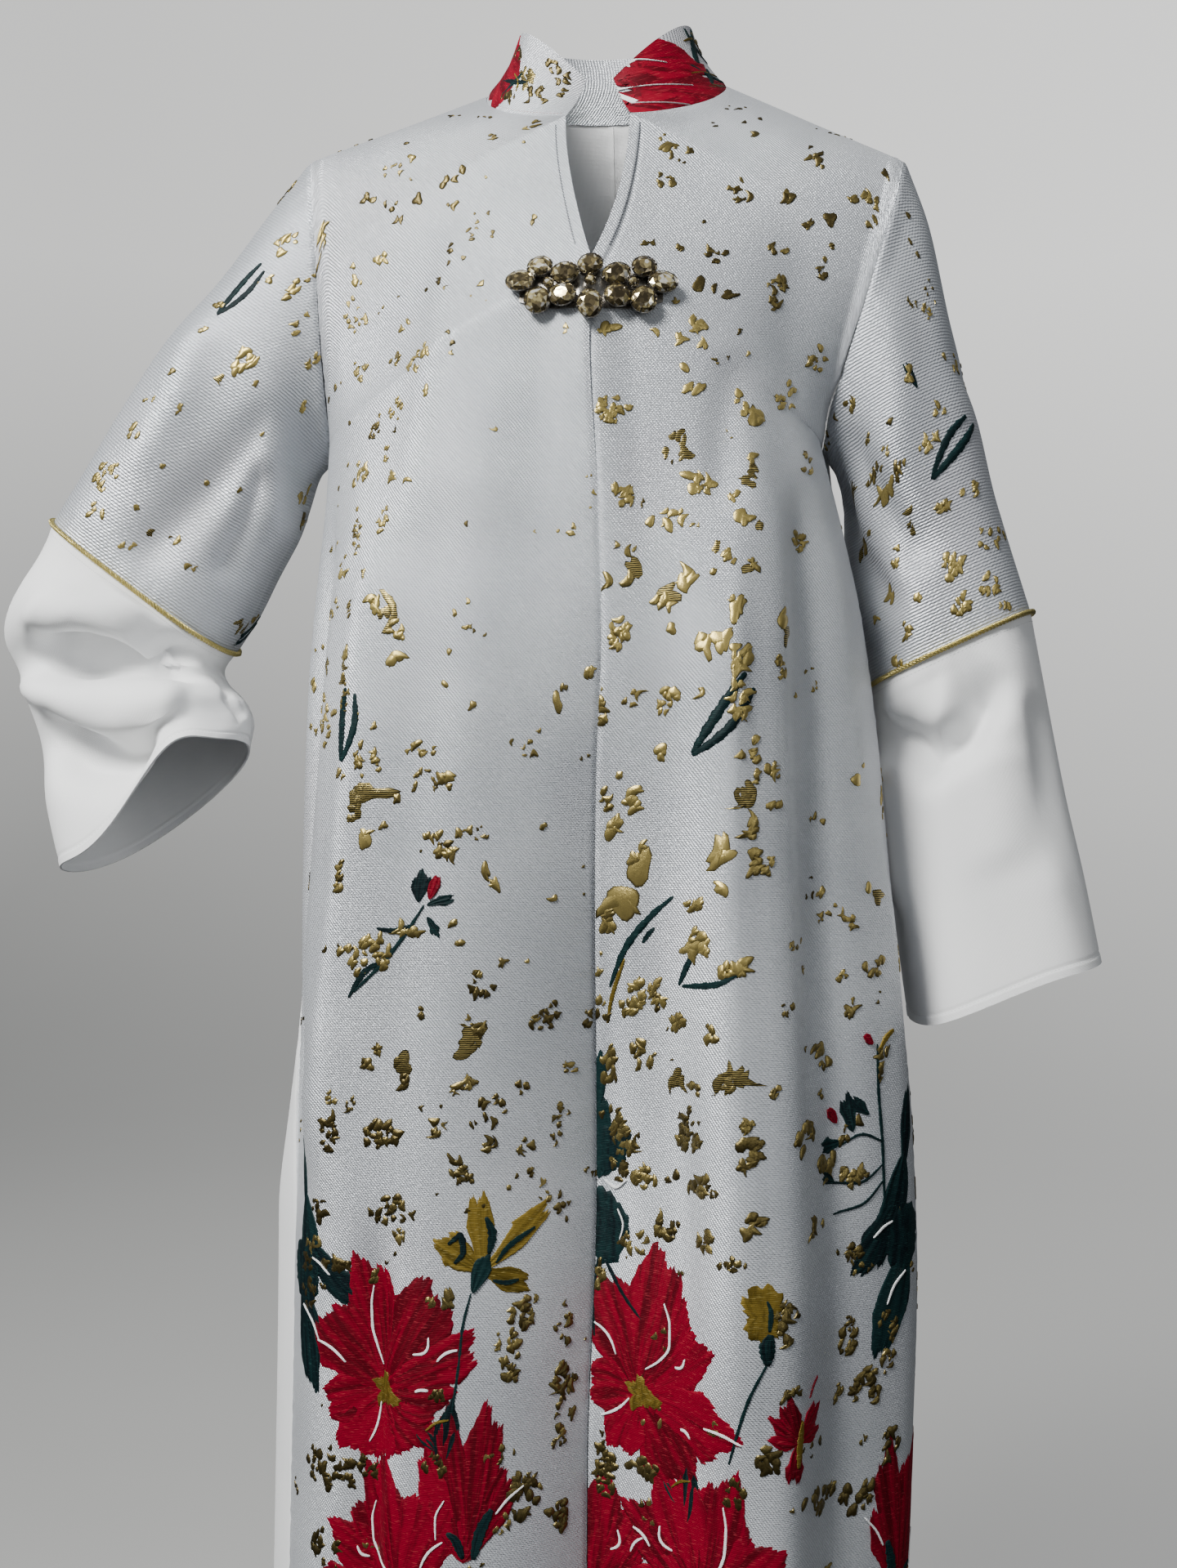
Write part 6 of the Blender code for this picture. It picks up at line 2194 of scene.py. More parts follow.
@dataclass
class Rope:
    """Gold braid over the seam between sleeve and cuff: three strands twisted together."""

    side: Side
    radius: float = 0.0018
    strands: int = 3
    sides: int = 7
    pitch: float = 0.0075
    stations: int = 620
    strand_out: float = 0.50
    strand_radius: float = 0.56
    turns: int = field(init=False, default=0)

    def path(self, cuff: Cloth) -> tuple[Array, Array, Array]:
        """Middle line, outward and sideways directions, read evenly round the seam.

        Args:
            cuff: The cuff under it.

        Returns:
            Points of the line, outward directions and sideways directions.
        """
        ring, out = cuff.points[0, :-1], cuff.normals[0, :-1]
        ring = np.concatenate([ring, ring[:1]])
        out = np.concatenate([out, out[:1]])
        place = np.concatenate([[0], np.cumsum(np.linalg.norm(np.diff(ring, axis=0), axis=1))])
        at = np.linspace(0, place[-1], self.stations + 1)[:-1]
        seam = np.stack([np.interp(at, place, ring[:, k]) for k in range(3)], axis=-1)
        out = unit(np.stack([np.interp(at, place, out[:, k]) for k in range(3)], axis=-1))
        ahead = unit(np.roll(seam, -1, axis=0) - np.roll(seam, 1, axis=0))
        self.turns = round(place[-1] / self.pitch)
        return seam + out * (self.radius + 0.0001), out, unit(np.cross(ahead, out))

    def build(self, cuff: Cloth, finish: Finish) -> bpy.types.Object:
        """Makes the strands as one mesh.

        A strand's middle goes round the rope's own by cosine and sine of the turns made so far.

        Args:
            cuff: The cuff under it.
            finish: Finish that it takes.

        Returns:
            The object.
        """
        middle, out, beside = self.path(cuff)
        around = np.linspace(0, 2 * math.pi, self.sides, endpoint=False)
        points, faces, places = [], [], []
        for strand in range(self.strands):
            turn = 2 * math.pi * (np.arange(self.stations) / self.stations * self.turns
                                  + strand / self.strands)
            centre = middle + self.strand_out * self.radius * (
                out * np.cos(turn)[:, None] + beside * np.sin(turn)[:, None])
            tube = centre[:, None] + self.strand_radius * self.radius * (
                out[:, None] * np.cos(around)[:, None] + beside[:, None] * np.sin(around)[:, None])
            number = np.arange(tube.shape[0] * self.sides).reshape(-1, self.sides)
            quads = grid_quads(closed_up(np.concatenate([number, number[:1]])))
            flat = tube.reshape(-1, 3)
            away = flat[quads[:, 0]] - centre[quads[:, 0] // self.sides]
            if (quad_normals(flat, quads) * away).sum() < 0:
                quads = quads[:, ::-1]
            length = np.repeat(np.arange(self.stations) * 0.5 / self.stations, self.sides)
            wrap = np.tile(around, self.stations)
            places.append(np.stack([length, wrap], axis=-1)[quads.ravel()])
            faces.append(quads + strand * flat.shape[0])
            points.append(flat)
        piece = write_mesh(f"piping_{self.side.value}_braid", np.concatenate(points),
                           [np.concatenate(faces)], finish, np.concatenate(places))
        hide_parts("piping_" + self.side.value)
        return piece


class Stone(NamedTuple):
    """A stone of the brooch, in millimetres and degrees; up is over the brooch's middle."""

    name: str
    across: float
    up: float
    width: float
    height: float
    tilt: float
    cup: float
    crown: float
    # shifts the stone's painted reflections brighter or darker
    tone: float


@dataclass
class Brooch:
    """Faceted stones in tall silver cups on a plate, sewn on over the keyhole's foot."""

    fronts: dict[Side, Cloth]
    drop: float = 0.1735
    top: float = 0.0015
    clearance: float = 0.0003
    half_length: float = 0.0445
    half_height: float = 0.0120
    taper: float = 0.45
    cup_sides: int = 24
    plate_columns: int = 25
    claw_count: int = 6
    girdle: float = 0.985
    kite: float = 0.80
    table: float = 0.50
    cup_foot: tuple = ((-0.0005, 0.70), (0.0006, 0.78))
    cup_rim: tuple = ((-0.0016, 0.93), (-0.0004, 1.0), (0.0001, 1.05), (0.0008, 1.06),
                      (0.0013, 1.03), (0.0009, 0.99), (0.00015, 0.97))
    claw_levels: tuple = ((0.0010, 1.02), (0.0022, 0.92))
    claw_halves: tuple[float, float] = (0.00055, 0.0004)
    claw_tip: float = 0.0004

    def __post_init__(self) -> None:
        """Copies the fronts with out and drop in place of their flat coordinates."""
        self.maps = {}
        for side, cloth in self.fronts.items():
            flat = copy.copy(cloth)
            flat.s, flat.t = cloth.points[..., 0], -cloth.points[..., 2]
            self.maps[side] = flat

    def seat(self, out: float, drop: float) -> tuple[Array, Array]:
        """The fronts' point and outward direction at a place.

        Args:
            out: Distance from the middle plane.
            drop: Its drop.

        Returns:
            The point and the direction.
        """
        cloth = self.maps[Side.RIGHT if out < 0 else Side.LEFT]
        row, column = cloth.starts([out], [drop])
        row, column = cloth.locate(np.array([out]), np.array([drop]), row, column)
        return (cloth.mix(cloth.points, row, column)[0],
                unit(cloth.mix(cloth.normals, row, column))[0])

    def axes(self, stone: Stone) -> tuple[Array, ...]:
        """A stone's seat, outward direction and tilted half axes.

        Args:
            stone: The stone.

        Returns:
            The point, the direction and the half axes.
        """
        point, normal = self.seat(stone.across * MM, self.drop - stone.up * MM)
        rightward = unit(np.cross((0.0, 0.0, 1.0), normal))
        upward = np.cross(normal, rightward)
        tilt = math.radians(stone.tilt)
        along = (rightward * math.cos(tilt) + upward * math.sin(tilt)) * stone.width / 2 * MM
        beside = (upward * math.cos(tilt) - rightward * math.sin(tilt)) * stone.height / 2 * MM
        return point, normal, along, beside

    def rings(self, stone: Stone, levels: Sequence[tuple[float, float]], sides: int,
              shift: float = 0.0) -> Array:
        """Oval rings over a stone's seat: each at a height and a share of the size.

        Args:
            stone: The stone.
            levels: Height and share of the size of each ring.
            sides: Points of a ring.
            shift: Turn of the rings, in sides.

        Returns:
            Points of the rings.
        """
        point, normal, along, beside = self.axes(stone)
        turn = (np.arange(sides) + shift) * 2 * math.pi / sides
        oval = np.cos(turn)[:, None] * along + np.sin(turn)[:, None] * beside
        return np.stack([point + normal * height + oval * share for height, share in levels])

    def stone(self, stone: Stone, finish: Finish) -> bpy.types.Object:
        """A stone: two rings of sixteen points for its upright girdle, eight points for the
        kite facets and eight for the flat table, joined by five triangles for each.

        Args:
            stone: The stone.
            finish: Finish that it takes.

        Returns:
            The object.
        """
        seat = self.top + stone.cup * MM + self.clearance
        crown = stone.crown * MM
        girdle = self.rings(stone, ((seat, self.girdle), (seat + 0.22 * crown, self.girdle)), 16)
        kites = self.rings(stone, ((seat + 0.68 * crown, self.kite),), 8, 0.5)[0]
        table = self.rings(stone, ((seat + crown, self.table),), 8)[0]
        points = np.concatenate([girdle.reshape(-1, 3), kites, table])
        k, m = np.arange(16), np.arange(8)
        quads = np.stack([k, (k + 1) % 16, 16 + (k + 1) % 16, 16 + k], axis=-1)
        low, middle, high = 16 + 2 * m, 16 + 2 * m + 1, 16 + (2 * m + 2) % 16
        kite, before = 32 + m, 32 + (m - 1) % 8
        inner, after = 40 + m, 40 + (m + 1) % 8
        facets = np.concatenate([np.stack(f, axis=-1) for f in (
            (low, middle, kite), (middle, high, kite), (before, low, kite),
            (before, kite, inner), (inner, kite, after))])
        # painted reflections: a random number for each facet and a brightness for each stone,
        # which the glass finish turns into dark, gold and white facets
        rng = np.random.default_rng(int(abs(stone.across) * 10 + stone.width * 7))
        faces = [quads, facets, np.arange(16)[None, ::-1], 40 + m[None]]
        tone = np.concatenate([np.repeat(rng.uniform(0, 1, len(f)), f.shape[1])
                               for f in faces])
        bright = np.full_like(tone, stone.tone)
        piece = write_mesh(f"stone_{stone.name}_cut", points, faces, finish,
                           np.stack([tone, bright], axis=-1), smooth=False)
        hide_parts("stone_" + stone.name)
        return piece

    def setting(self, finish: Finish) -> bpy.types.Object:
        """The plate, and for each stone a flaring cup with a rolled rim and six claws.

        Args:
            finish: Finish that it takes.

        Returns:
            The object.
        """
        points, faces, count = [], [[], [], []], 0

        def join(more: Array, quads: Array, caps: Array) -> None:
            """Adds one closed piece.

            Args:
                more: Its points.
                quads: Its quads.
                caps: Its other faces.
            """
            nonlocal count
            points.append(more)
            faces[0].append(quads + count)
            faces[1 if caps.shape[1] == self.cup_sides else 2].append(caps + count)
            count += len(more)

        for stone in STONES:
            top = self.top + stone.cup * MM
            levels = ([(self.top + up, share) for up, share in self.cup_foot]
                      + [(top + up, share) for up, share in self.cup_rim])
            ring = self.rings(stone, levels, self.cup_sides)
            number = closed_up(np.arange(len(levels) * self.cup_sides).reshape(len(levels), -1))
            caps = np.stack([number[0, :-1][::-1], number[-1, :-1]])
            join(ring.reshape(-1, 3), grid_quads(number)[:, ::-1], caps)
            self.claws(stone, top, join)
        columns = self.plate_columns
        across = np.linspace(-1, 1, columns)
        half = self.half_height * (1 - self.taper * across ** 4)
        grid = np.array([[self.seat(x * self.half_length, self.drop - y * h)
                          for x, h in zip(across, half)] for y in (1.0, 0.0, -1.0)])
        lower = grid[:, :, 0] + grid[:, :, 1] * self.clearance
        upper = grid[:, :, 0] + grid[:, :, 1] * self.top
        count_upper = 3 * columns
        number = np.arange(count_upper).reshape(3, columns)
        border = np.concatenate([number[0], number[1:, -1], number[-1, -2::-1],
                                 number[-2:0:-1, 0]])
        after = np.roll(border, -1)
        sides = np.stack([border, after, after + count_upper, border + count_upper], axis=-1)
        quads = np.concatenate([grid_quads(number), grid_quads(number)[:, ::-1] + count_upper,
                                sides[:, ::-1]])
        join(np.concatenate([upper.reshape(-1, 3), lower.reshape(-1, 3)]), quads,
             np.zeros((0, self.cup_sides), int))
        parts = [np.concatenate(f) for f in faces if f]
        piece = write_mesh("brooch_cups", np.concatenate(points),
                           [p for p in parts if len(p)], finish)
        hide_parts("brooch_setting")
        return piece

    def claws(self, stone: Stone, top: float, join: Callable[..., None]) -> None:
        """Six claws that lean over a stone's edge.

        Args:
            stone: The stone.
            top: Height of the cup's rim.
            join: Adds a closed piece to the setting.
        """
        _, normal, along, beside = self.axes(stone)
        for number in range(self.claw_count):
            turn = math.radians(360 / self.claw_count * number + stone.tilt * 2 + 15)
            spot = self.rings(stone, [(top + up, share) for up, share in self.claw_levels], 1,
                              turn / (2 * math.pi))[:, 0]
            side = unit(-np.sin(turn) * along + np.cos(turn) * beside)
            out = unit(np.cos(turn) * along + np.sin(turn) * beside)
            size = np.array(self.claw_halves)[:, None, None]
            square = np.stack([side + out, side - out, -side - out, -side + out])
            ring = spot[:, None] + size * square
            tip = spot[1] + normal * self.claw_tip
            foot = spot[0] - normal * self.claw_tip
            k = np.arange(4)
            quads = np.stack([k, k + 4, 4 + (k + 1) % 4, (k + 1) % 4], axis=-1)
            tips = np.concatenate([np.stack([k, (k + 1) % 4, np.full(4, 9)], axis=-1),
                                   np.stack([4 + (k + 1) % 4, 4 + k, np.full(4, 8)], axis=-1)])
            points = np.concatenate([ring.reshape(-1, 3), tip[None], foot[None]])
            cross = quad_normals(points, quads[:1])[0]
            if cross @ (points[quads[0]].mean(axis=0) - spot.mean(axis=0)) < 0:
                quads, tips = quads[:, ::-1], tips[:, ::-1]
            join(points, quads, tips)


@dataclass(frozen=True)
class Cotton(Finish):
    """Sewing thread, twisted."""

    name: str = "thread_grey"
    colour: Colour = (0.56, 0.58, 0.60, 1.0)
    dark: Colour = (0.34, 0.36, 0.38, 1.0)

    def write(self, book: NodeBook) -> None:
        """Fine slanting twist, a little darker between the plies.

        Args:
            book: Nodes of the material.
        """
        _, s, t = book.flat()
        twist = book.wave(book.maths("ADD", s, t), 0.0005)
        book.surface(Base_Color=book.blend(twist, self.dark, self.colour), Roughness=0.6,
                     Normal=book.relief(twist, 0.00005, 0.6))


DARK_THREAD = Cotton(colour=(0.13, 0.14, 0.16, 1.0), dark=(0.05, 0.055, 0.065, 1.0))
WHITE_THREAD = Cotton("thread_white", colour=(0.82, 0.83, 0.84, 1.0),
                      dark=(0.60, 0.61, 0.62, 1.0))
ROSE_THREAD = Cotton("thread_rose", colour=(0.55, 0.30, 0.32, 1.0),
                     dark=(0.36, 0.16, 0.18, 1.0))


@dataclass(frozen=True)
class GoldBraid(Finish):
    """Gilt yarn, wound in fine turns."""

    name: str = "gilt_yarn"
    slot: str = "gold_braid"
    gold: Colour = (0.62, 0.52, 0.20, 1.0)
    dark: Colour = (0.13, 0.105, 0.025, 1.0)

    def write(self, book: NodeBook) -> None:
        """Turns of foil along the strand, with dark gaps.

        Args:
            book: Nodes of the material.
        """
        place, s, t = book.flat()
        turns = book.wave(book.maths("MULTIPLY_ADD", t, 0.00012, s), 0.00062)
        spots = book.noise(book.scaled(place, 900.0, 1.4), 1.0, 2.0)
        shown = book.step(book.maths("MULTIPLY_ADD", spots, 0.8, turns), 0.25, 0.9)
        book.surface(Base_Color=book.blend(shown, self.dark, self.gold), Metallic=0.9,
                     Roughness=book.add("MapRange", (spots, 0.2, 0.8, 0.26, 0.45)),
                     Normal=book.relief(turns, 0.00012, 0.8))


@dataclass(frozen=True)
class DarkSilver(Finish):
    """Dull silver, with slow patches of tarnish and fine scratches."""

    name: str = "worn_silver"
    slot: str = "dark_silver"
    bright: Colour = (0.42, 0.40, 0.37, 1.0)
    dull: Colour = (0.16, 0.14, 0.11, 1.0)

    def write(self, book: NodeBook) -> None:
        """Slow tarnish under fine scratches.

        Args:
            book: Nodes of the material.
        """
        place = book.add("TexCoord", output=3)
        tarnish = book.noise(place, 420.0, 4.0)
        scratch = book.noise(book.scaled(place, 1.0, 6.0), 1800.0, 2.0)
        colour = book.blend(book.step(tarnish, 0.35, 0.7), self.bright, self.dull)
        book.surface(Base_Color=colour, Metallic=1.0,
                     Roughness=book.add("MapRange", (tarnish, 0.2, 0.8, 0.2, 0.42)),
                     Normal=book.relief(scratch, 0.00004, 0.5))


@dataclass(frozen=True)
class ChampagneGlass(Finish):
    """Foiled glass: each facet has its own share of brown, gold and white; brown and gold stand
    for the stone's colour, pale gold and white are painted reflections and glints.
    """

    name: str = "foiled_glass_painted_glints"
    slot: str = "champagne_glass"
    tints_and_painted_glints: tuple[tuple[float, Colour], ...] = (
        (0.22, (0.060, 0.046, 0.024, 1.0)), (0.48, (0.16, 0.125, 0.065, 1.0)),
        (0.66, (0.38, 0.30, 0.14, 1.0)), (0.80, (0.82, 0.70, 0.34, 1.0)),
        (0.90, (0.98, 0.96, 0.90, 1.0)))

    def write(self, book: NodeBook) -> None:
        """The facet's number picks its tint, up to a painted white glint; cells inside it add
        painted glints.

        Args:
            book: Nodes of the material.
        """
        _, facet, bright = book.flat()
        spot = book.add("TexCoord", output=3)
        # painted glints: cells over the stone brighten parts of each facet
        cells = book.add("TexVoronoi", {"Vector": spot, "Scale": 420.0}, "Color",
                         feature="F1")
        glint = book.add("SeparateColor", (cells,))
        tone = book.maths("ADD", book.maths("MULTIPLY", facet, 0.62),
                          book.maths("MULTIPLY_ADD", glint, 0.42, bright))
        ramp = book.add("ValToRGB", (tone,))
        stops = ramp.node.color_ramp.elements
        first, *middle, last = self.tints_and_painted_glints
        stops[0].position, stops[0].color = first
        stops[1].position, stops[1].color = last
        for position, colour in middle:
            stops.new(position).color = colour
        book.surface(Base_Color=ramp, Metallic=0.7, Roughness=0.08, Coat_Weight=0.3,
                     Coat_Roughness=0.03)


def table_rows(text: str) -> Array:
    """Rows of numbers from a text whose rows are parted by commas.

    Args:
        text: The text.

    Returns:
        The rows.
    """
    return np.array([[float(v) for v in row.split()] for row in text.split(",") if row.strip()])


DRAGS = (
    Drag("front_right", ((-132, 269), (-141, 338), (-151, 396), (-155, 464), (-163, 543),
                         (-177, 623), (-183, 664), (-212, 756)), 9, 30, 5.0),
    Drag("front_right", ((-127, 237), (-141, 338), (-151, 396), (-155, 464), (-163, 543),
                         (-177, 623), (-191, 771), (-204, 985)), 26, 80, 9.0),
    Drag("front_right", ((-78, 88), (-88, 148), (-94, 203), (-107, 272),
                         (-118, 335)), 20, 70, 9.0),
    Drag("front_right", ((-106, 377), (-111, 475), (-118, 579), (-130, 674), (-145, 796),
                         (-157, 923)), 22, 22, -3.0),
    Drag("front_right", ((-64, 201), (-69, 275), (-73, 379), (-76, 501)), 18, 26, 2.5),
    Drag("front_left", ((90, 286), (90, 371), (90, 462), (92, 552), (103, 680), (109, 732),
                        (109, 850), (109, 947)), 28, 9, 6.0),
    Drag("front_left", ((86, 233), (90, 371), (90, 462), (92, 552), (103, 680), (109, 732),
                        (109, 850), (109, 947)), 80, 24, 11.0),
    Drag("front_left", ((40, 220), (47, 319), (51, 450), (57, 604), (65, 759),
                        (67, 932)), 24, 22, -3.0),
    Drag("front_left", ((166, 310), (171, 429), (174, 554), (189, 709), (198, 914)), 14, 26, 3.0),
    Drag("front_left", ((94, 196), (86, 255), (81, 319)), 12, 14, -3.5),
    Drag("front_left", ((148, 268), (140, 347), (134, 431), (142, 553), (155, 753)), 10, 12, -3.5),
    Drag("front_left", ((19, 500), (24, 606), (31, 764), (31, 941)), 14, 16, 2.5),
    Drag("sleeve_right", ((55, -132), (60, -85), (61, -34)), 10, 14, -7.0),
    Drag("sleeve_right", ((37, -172), (32, -118), (16, -55), (1, -6)), 16, 18, -6.0),
    Drag("sleeve_right", ((-64, -184), (-34, -128), (-28, -52)), 18, 18, 4.0),
    Drag("sleeve_left", ((-86, -175), (-36, -106), (-1, -48)), 14, 14, -6.0),
    Drag("sleeve_left", ((-114, -153), (-72, -88), (-31, -28)), 12, 12, -6.0),
    Drag("sleeve_left", ((31, -191), (114, -141), (81, -62)), 16, 16, -2.0),
    Drag("cuff_left", ((-90, -213), (-51, -191), (-32, -168), (-9, -171), (8, -186),
                       (29, -210)), 13, 20, -20.0),
    Drag("cuff_left", ((-77, -222), (-45, -208), (-25, -198), (-1, -201)), 11, 18, 9.0, 8.0),
    Drag("cuff_left", ((-72, -198), (-85, -142), (-103, -68)), 22, 22, 8.0),
    Drag("cuff_left", ((59, -190), (52, -158), (37, -104), (27, -55)), 18, 18, -4.0),
    Drag("cuff_left", ((15, -164), (6, -124), (-2, -73)), 20, 20, 3.0),
    Drag("cuff_right", ((-57, -202), (-29, -199), (9, -166), (41, -118),
                        (68, -92)), 11, 24, 9.0, 10.0),
    Drag("cuff_right", ((-46, -179), (-13, -164), (23, -126), (53, -88),
                        (88, -69)), 15, 10, -25.0),
    Drag("cuff_right", ((-95, -161), (-36, -123), (-1, -75), (33, -37),
                        (58, -28)), 13, 20, 10.0, 9.0),
    Drag("cuff_right", ((-55, -114), (-32, -89), (-2, -48), (42, -10)), 22, 7, -24.0),
    Drag("cuff_right", ((104, -69), (96, -42), (112, -14)), 6, 7, -4.0),
    Drag("front_right", ((-205, 700), (-215, 1000), (-225, 1500)), 40, 40, 4.0),
)

MOTIFS = {
    "front_right": (
        Motif("peony", -145, 868, 1.0, 0),
        Motif("peony_wide", -130, 994, 0.95, 4, True),
        Motif("tall_flower", -87, 968, 1.0, -3),
        Motif("olive_flower", -77, 788, 1.0, 0),
        Motif("teal_leaf", -102, 884, 1.0, 0),
        Motif("spray", -106, 553, 0.9, 0),
        Motif("edge_leaves", -202, 795, 1.15, 0, True),
        Motif("leaf_pair", -155, 438, 0.8, 30),
    ),
    "front_left": (
        Motif("peony_wide", 34, 866, 1.0, 0),
        Motif("peony", 80, 989, 1.05, -6, True),
        Motif("peony", -2, 1001, 0.95, 20),
        Motif("leaf_mass", 2, 741, 1.05, 0),
        Motif("edge_leaves", 228, 764, 1.15, 0),
        Motif("twig", 210, 693, 1.0, 0),
        Motif("olive_bud", 121, 823, 1.0, 0),
        Motif("teal_leaf", 66, 916, 1.0, 0),
        Motif("small_flower", 141, 881, 1.0, 0),
        Motif("long_leaves", 35, 584, 1.0, 0),
        Motif("leaf_pair", 85, 436, 1.0, 0),
        Motif("tall_flower", 230, 997, 1.0, -10, True),
    ),
    "sleeve_right": (
        Motif("leaf_pair", -50, -214, 0.8, 38),
        Motif("leaf_pair", -333, -19, 0.6, 0),
    ),
    "sleeve_left": (
        Motif("leaf_pair", 34, -123, 0.95, 262, True),
        Motif("leaf_pair", 8, -177, 0.35, 60),
    ),
    "collar": (
        Motif("collar_red", 352, -24, 1.0, 0),
        Motif("collar_red", 392, -10, 0.95, 12),
        Motif("collar_red", 322, -46, 0.8, 6),
        Motif("collar_red", 88, -30, 0.9, 190),
        Motif("collar_leaf", 286, -38, 1.0, 40),
        Motif("collar_leaf", 322, -12, 0.9, 44, True),
        Motif("collar_leaf", 54, -22, 0.7, 60),
        Motif("collar_red", 215, -30, 0.9, 40),
    ),
}

STONES = (
    Stone("upper_1", -30.8, 13.5, 15.9, 13.8, 0, 4, 3.4, 0.05),
    Stone("upper_2", 0.6, 14.8, 15.9, 13.8, 0, 4, 3.4, -0.05),
    Stone("upper_3", 31.6, 13.8, 16.3, 14, 20, 4, 3.4, -0.1),
    Stone("side_1", -43.1, 4.3, 18.6, 14.4, -6, 4, 3.6, -0.02),
    Stone("side_2", 43.3, 4.1, 19.1, 14.6, 10, 4, 3.6, 0.08),
    Stone("inner_1", -15, 8.6, 17.4, 14.2, 0, 4.4, 3.8, 0),
    Stone("inner_2", 15.4, 8.4, 17.8, 14, 22, 4.4, 3.8, 0.04),
    Stone("centre_1", -25.5, 2.9, 6.8, 6.8, 0, 4.6, 2.4, 0.1),
    Stone("centre_2", 0.20, 3.1, 7.2, 7.2, 0, 4.6, 2.4, -0.05),
    Stone("centre_3", 25.7, 2.9, 6.8, 6.8, 0, 4.6, 2.4, 0),
    Stone("lower_1", -32.6, -7.8, 16.5, 16.7, 0, 4, 3.6, 0.05),
    Stone("lower_2", -16, -5.5, 17.4, 14.6, 0, 4.4, 3.8, 0.04),
    Stone("lower_3", -0.20, -12.3, 15.5, 18.7, 0, 4, 3.6, -0.04),
    Stone("lower_4", 15.8, -5.7, 17.2, 14.8, 0, 4.4, 3.8, -0.02),
    Stone("lower_5", 32.4, -7.8, 16.5, 17, 0, 4, 3.6, -0.04),
)

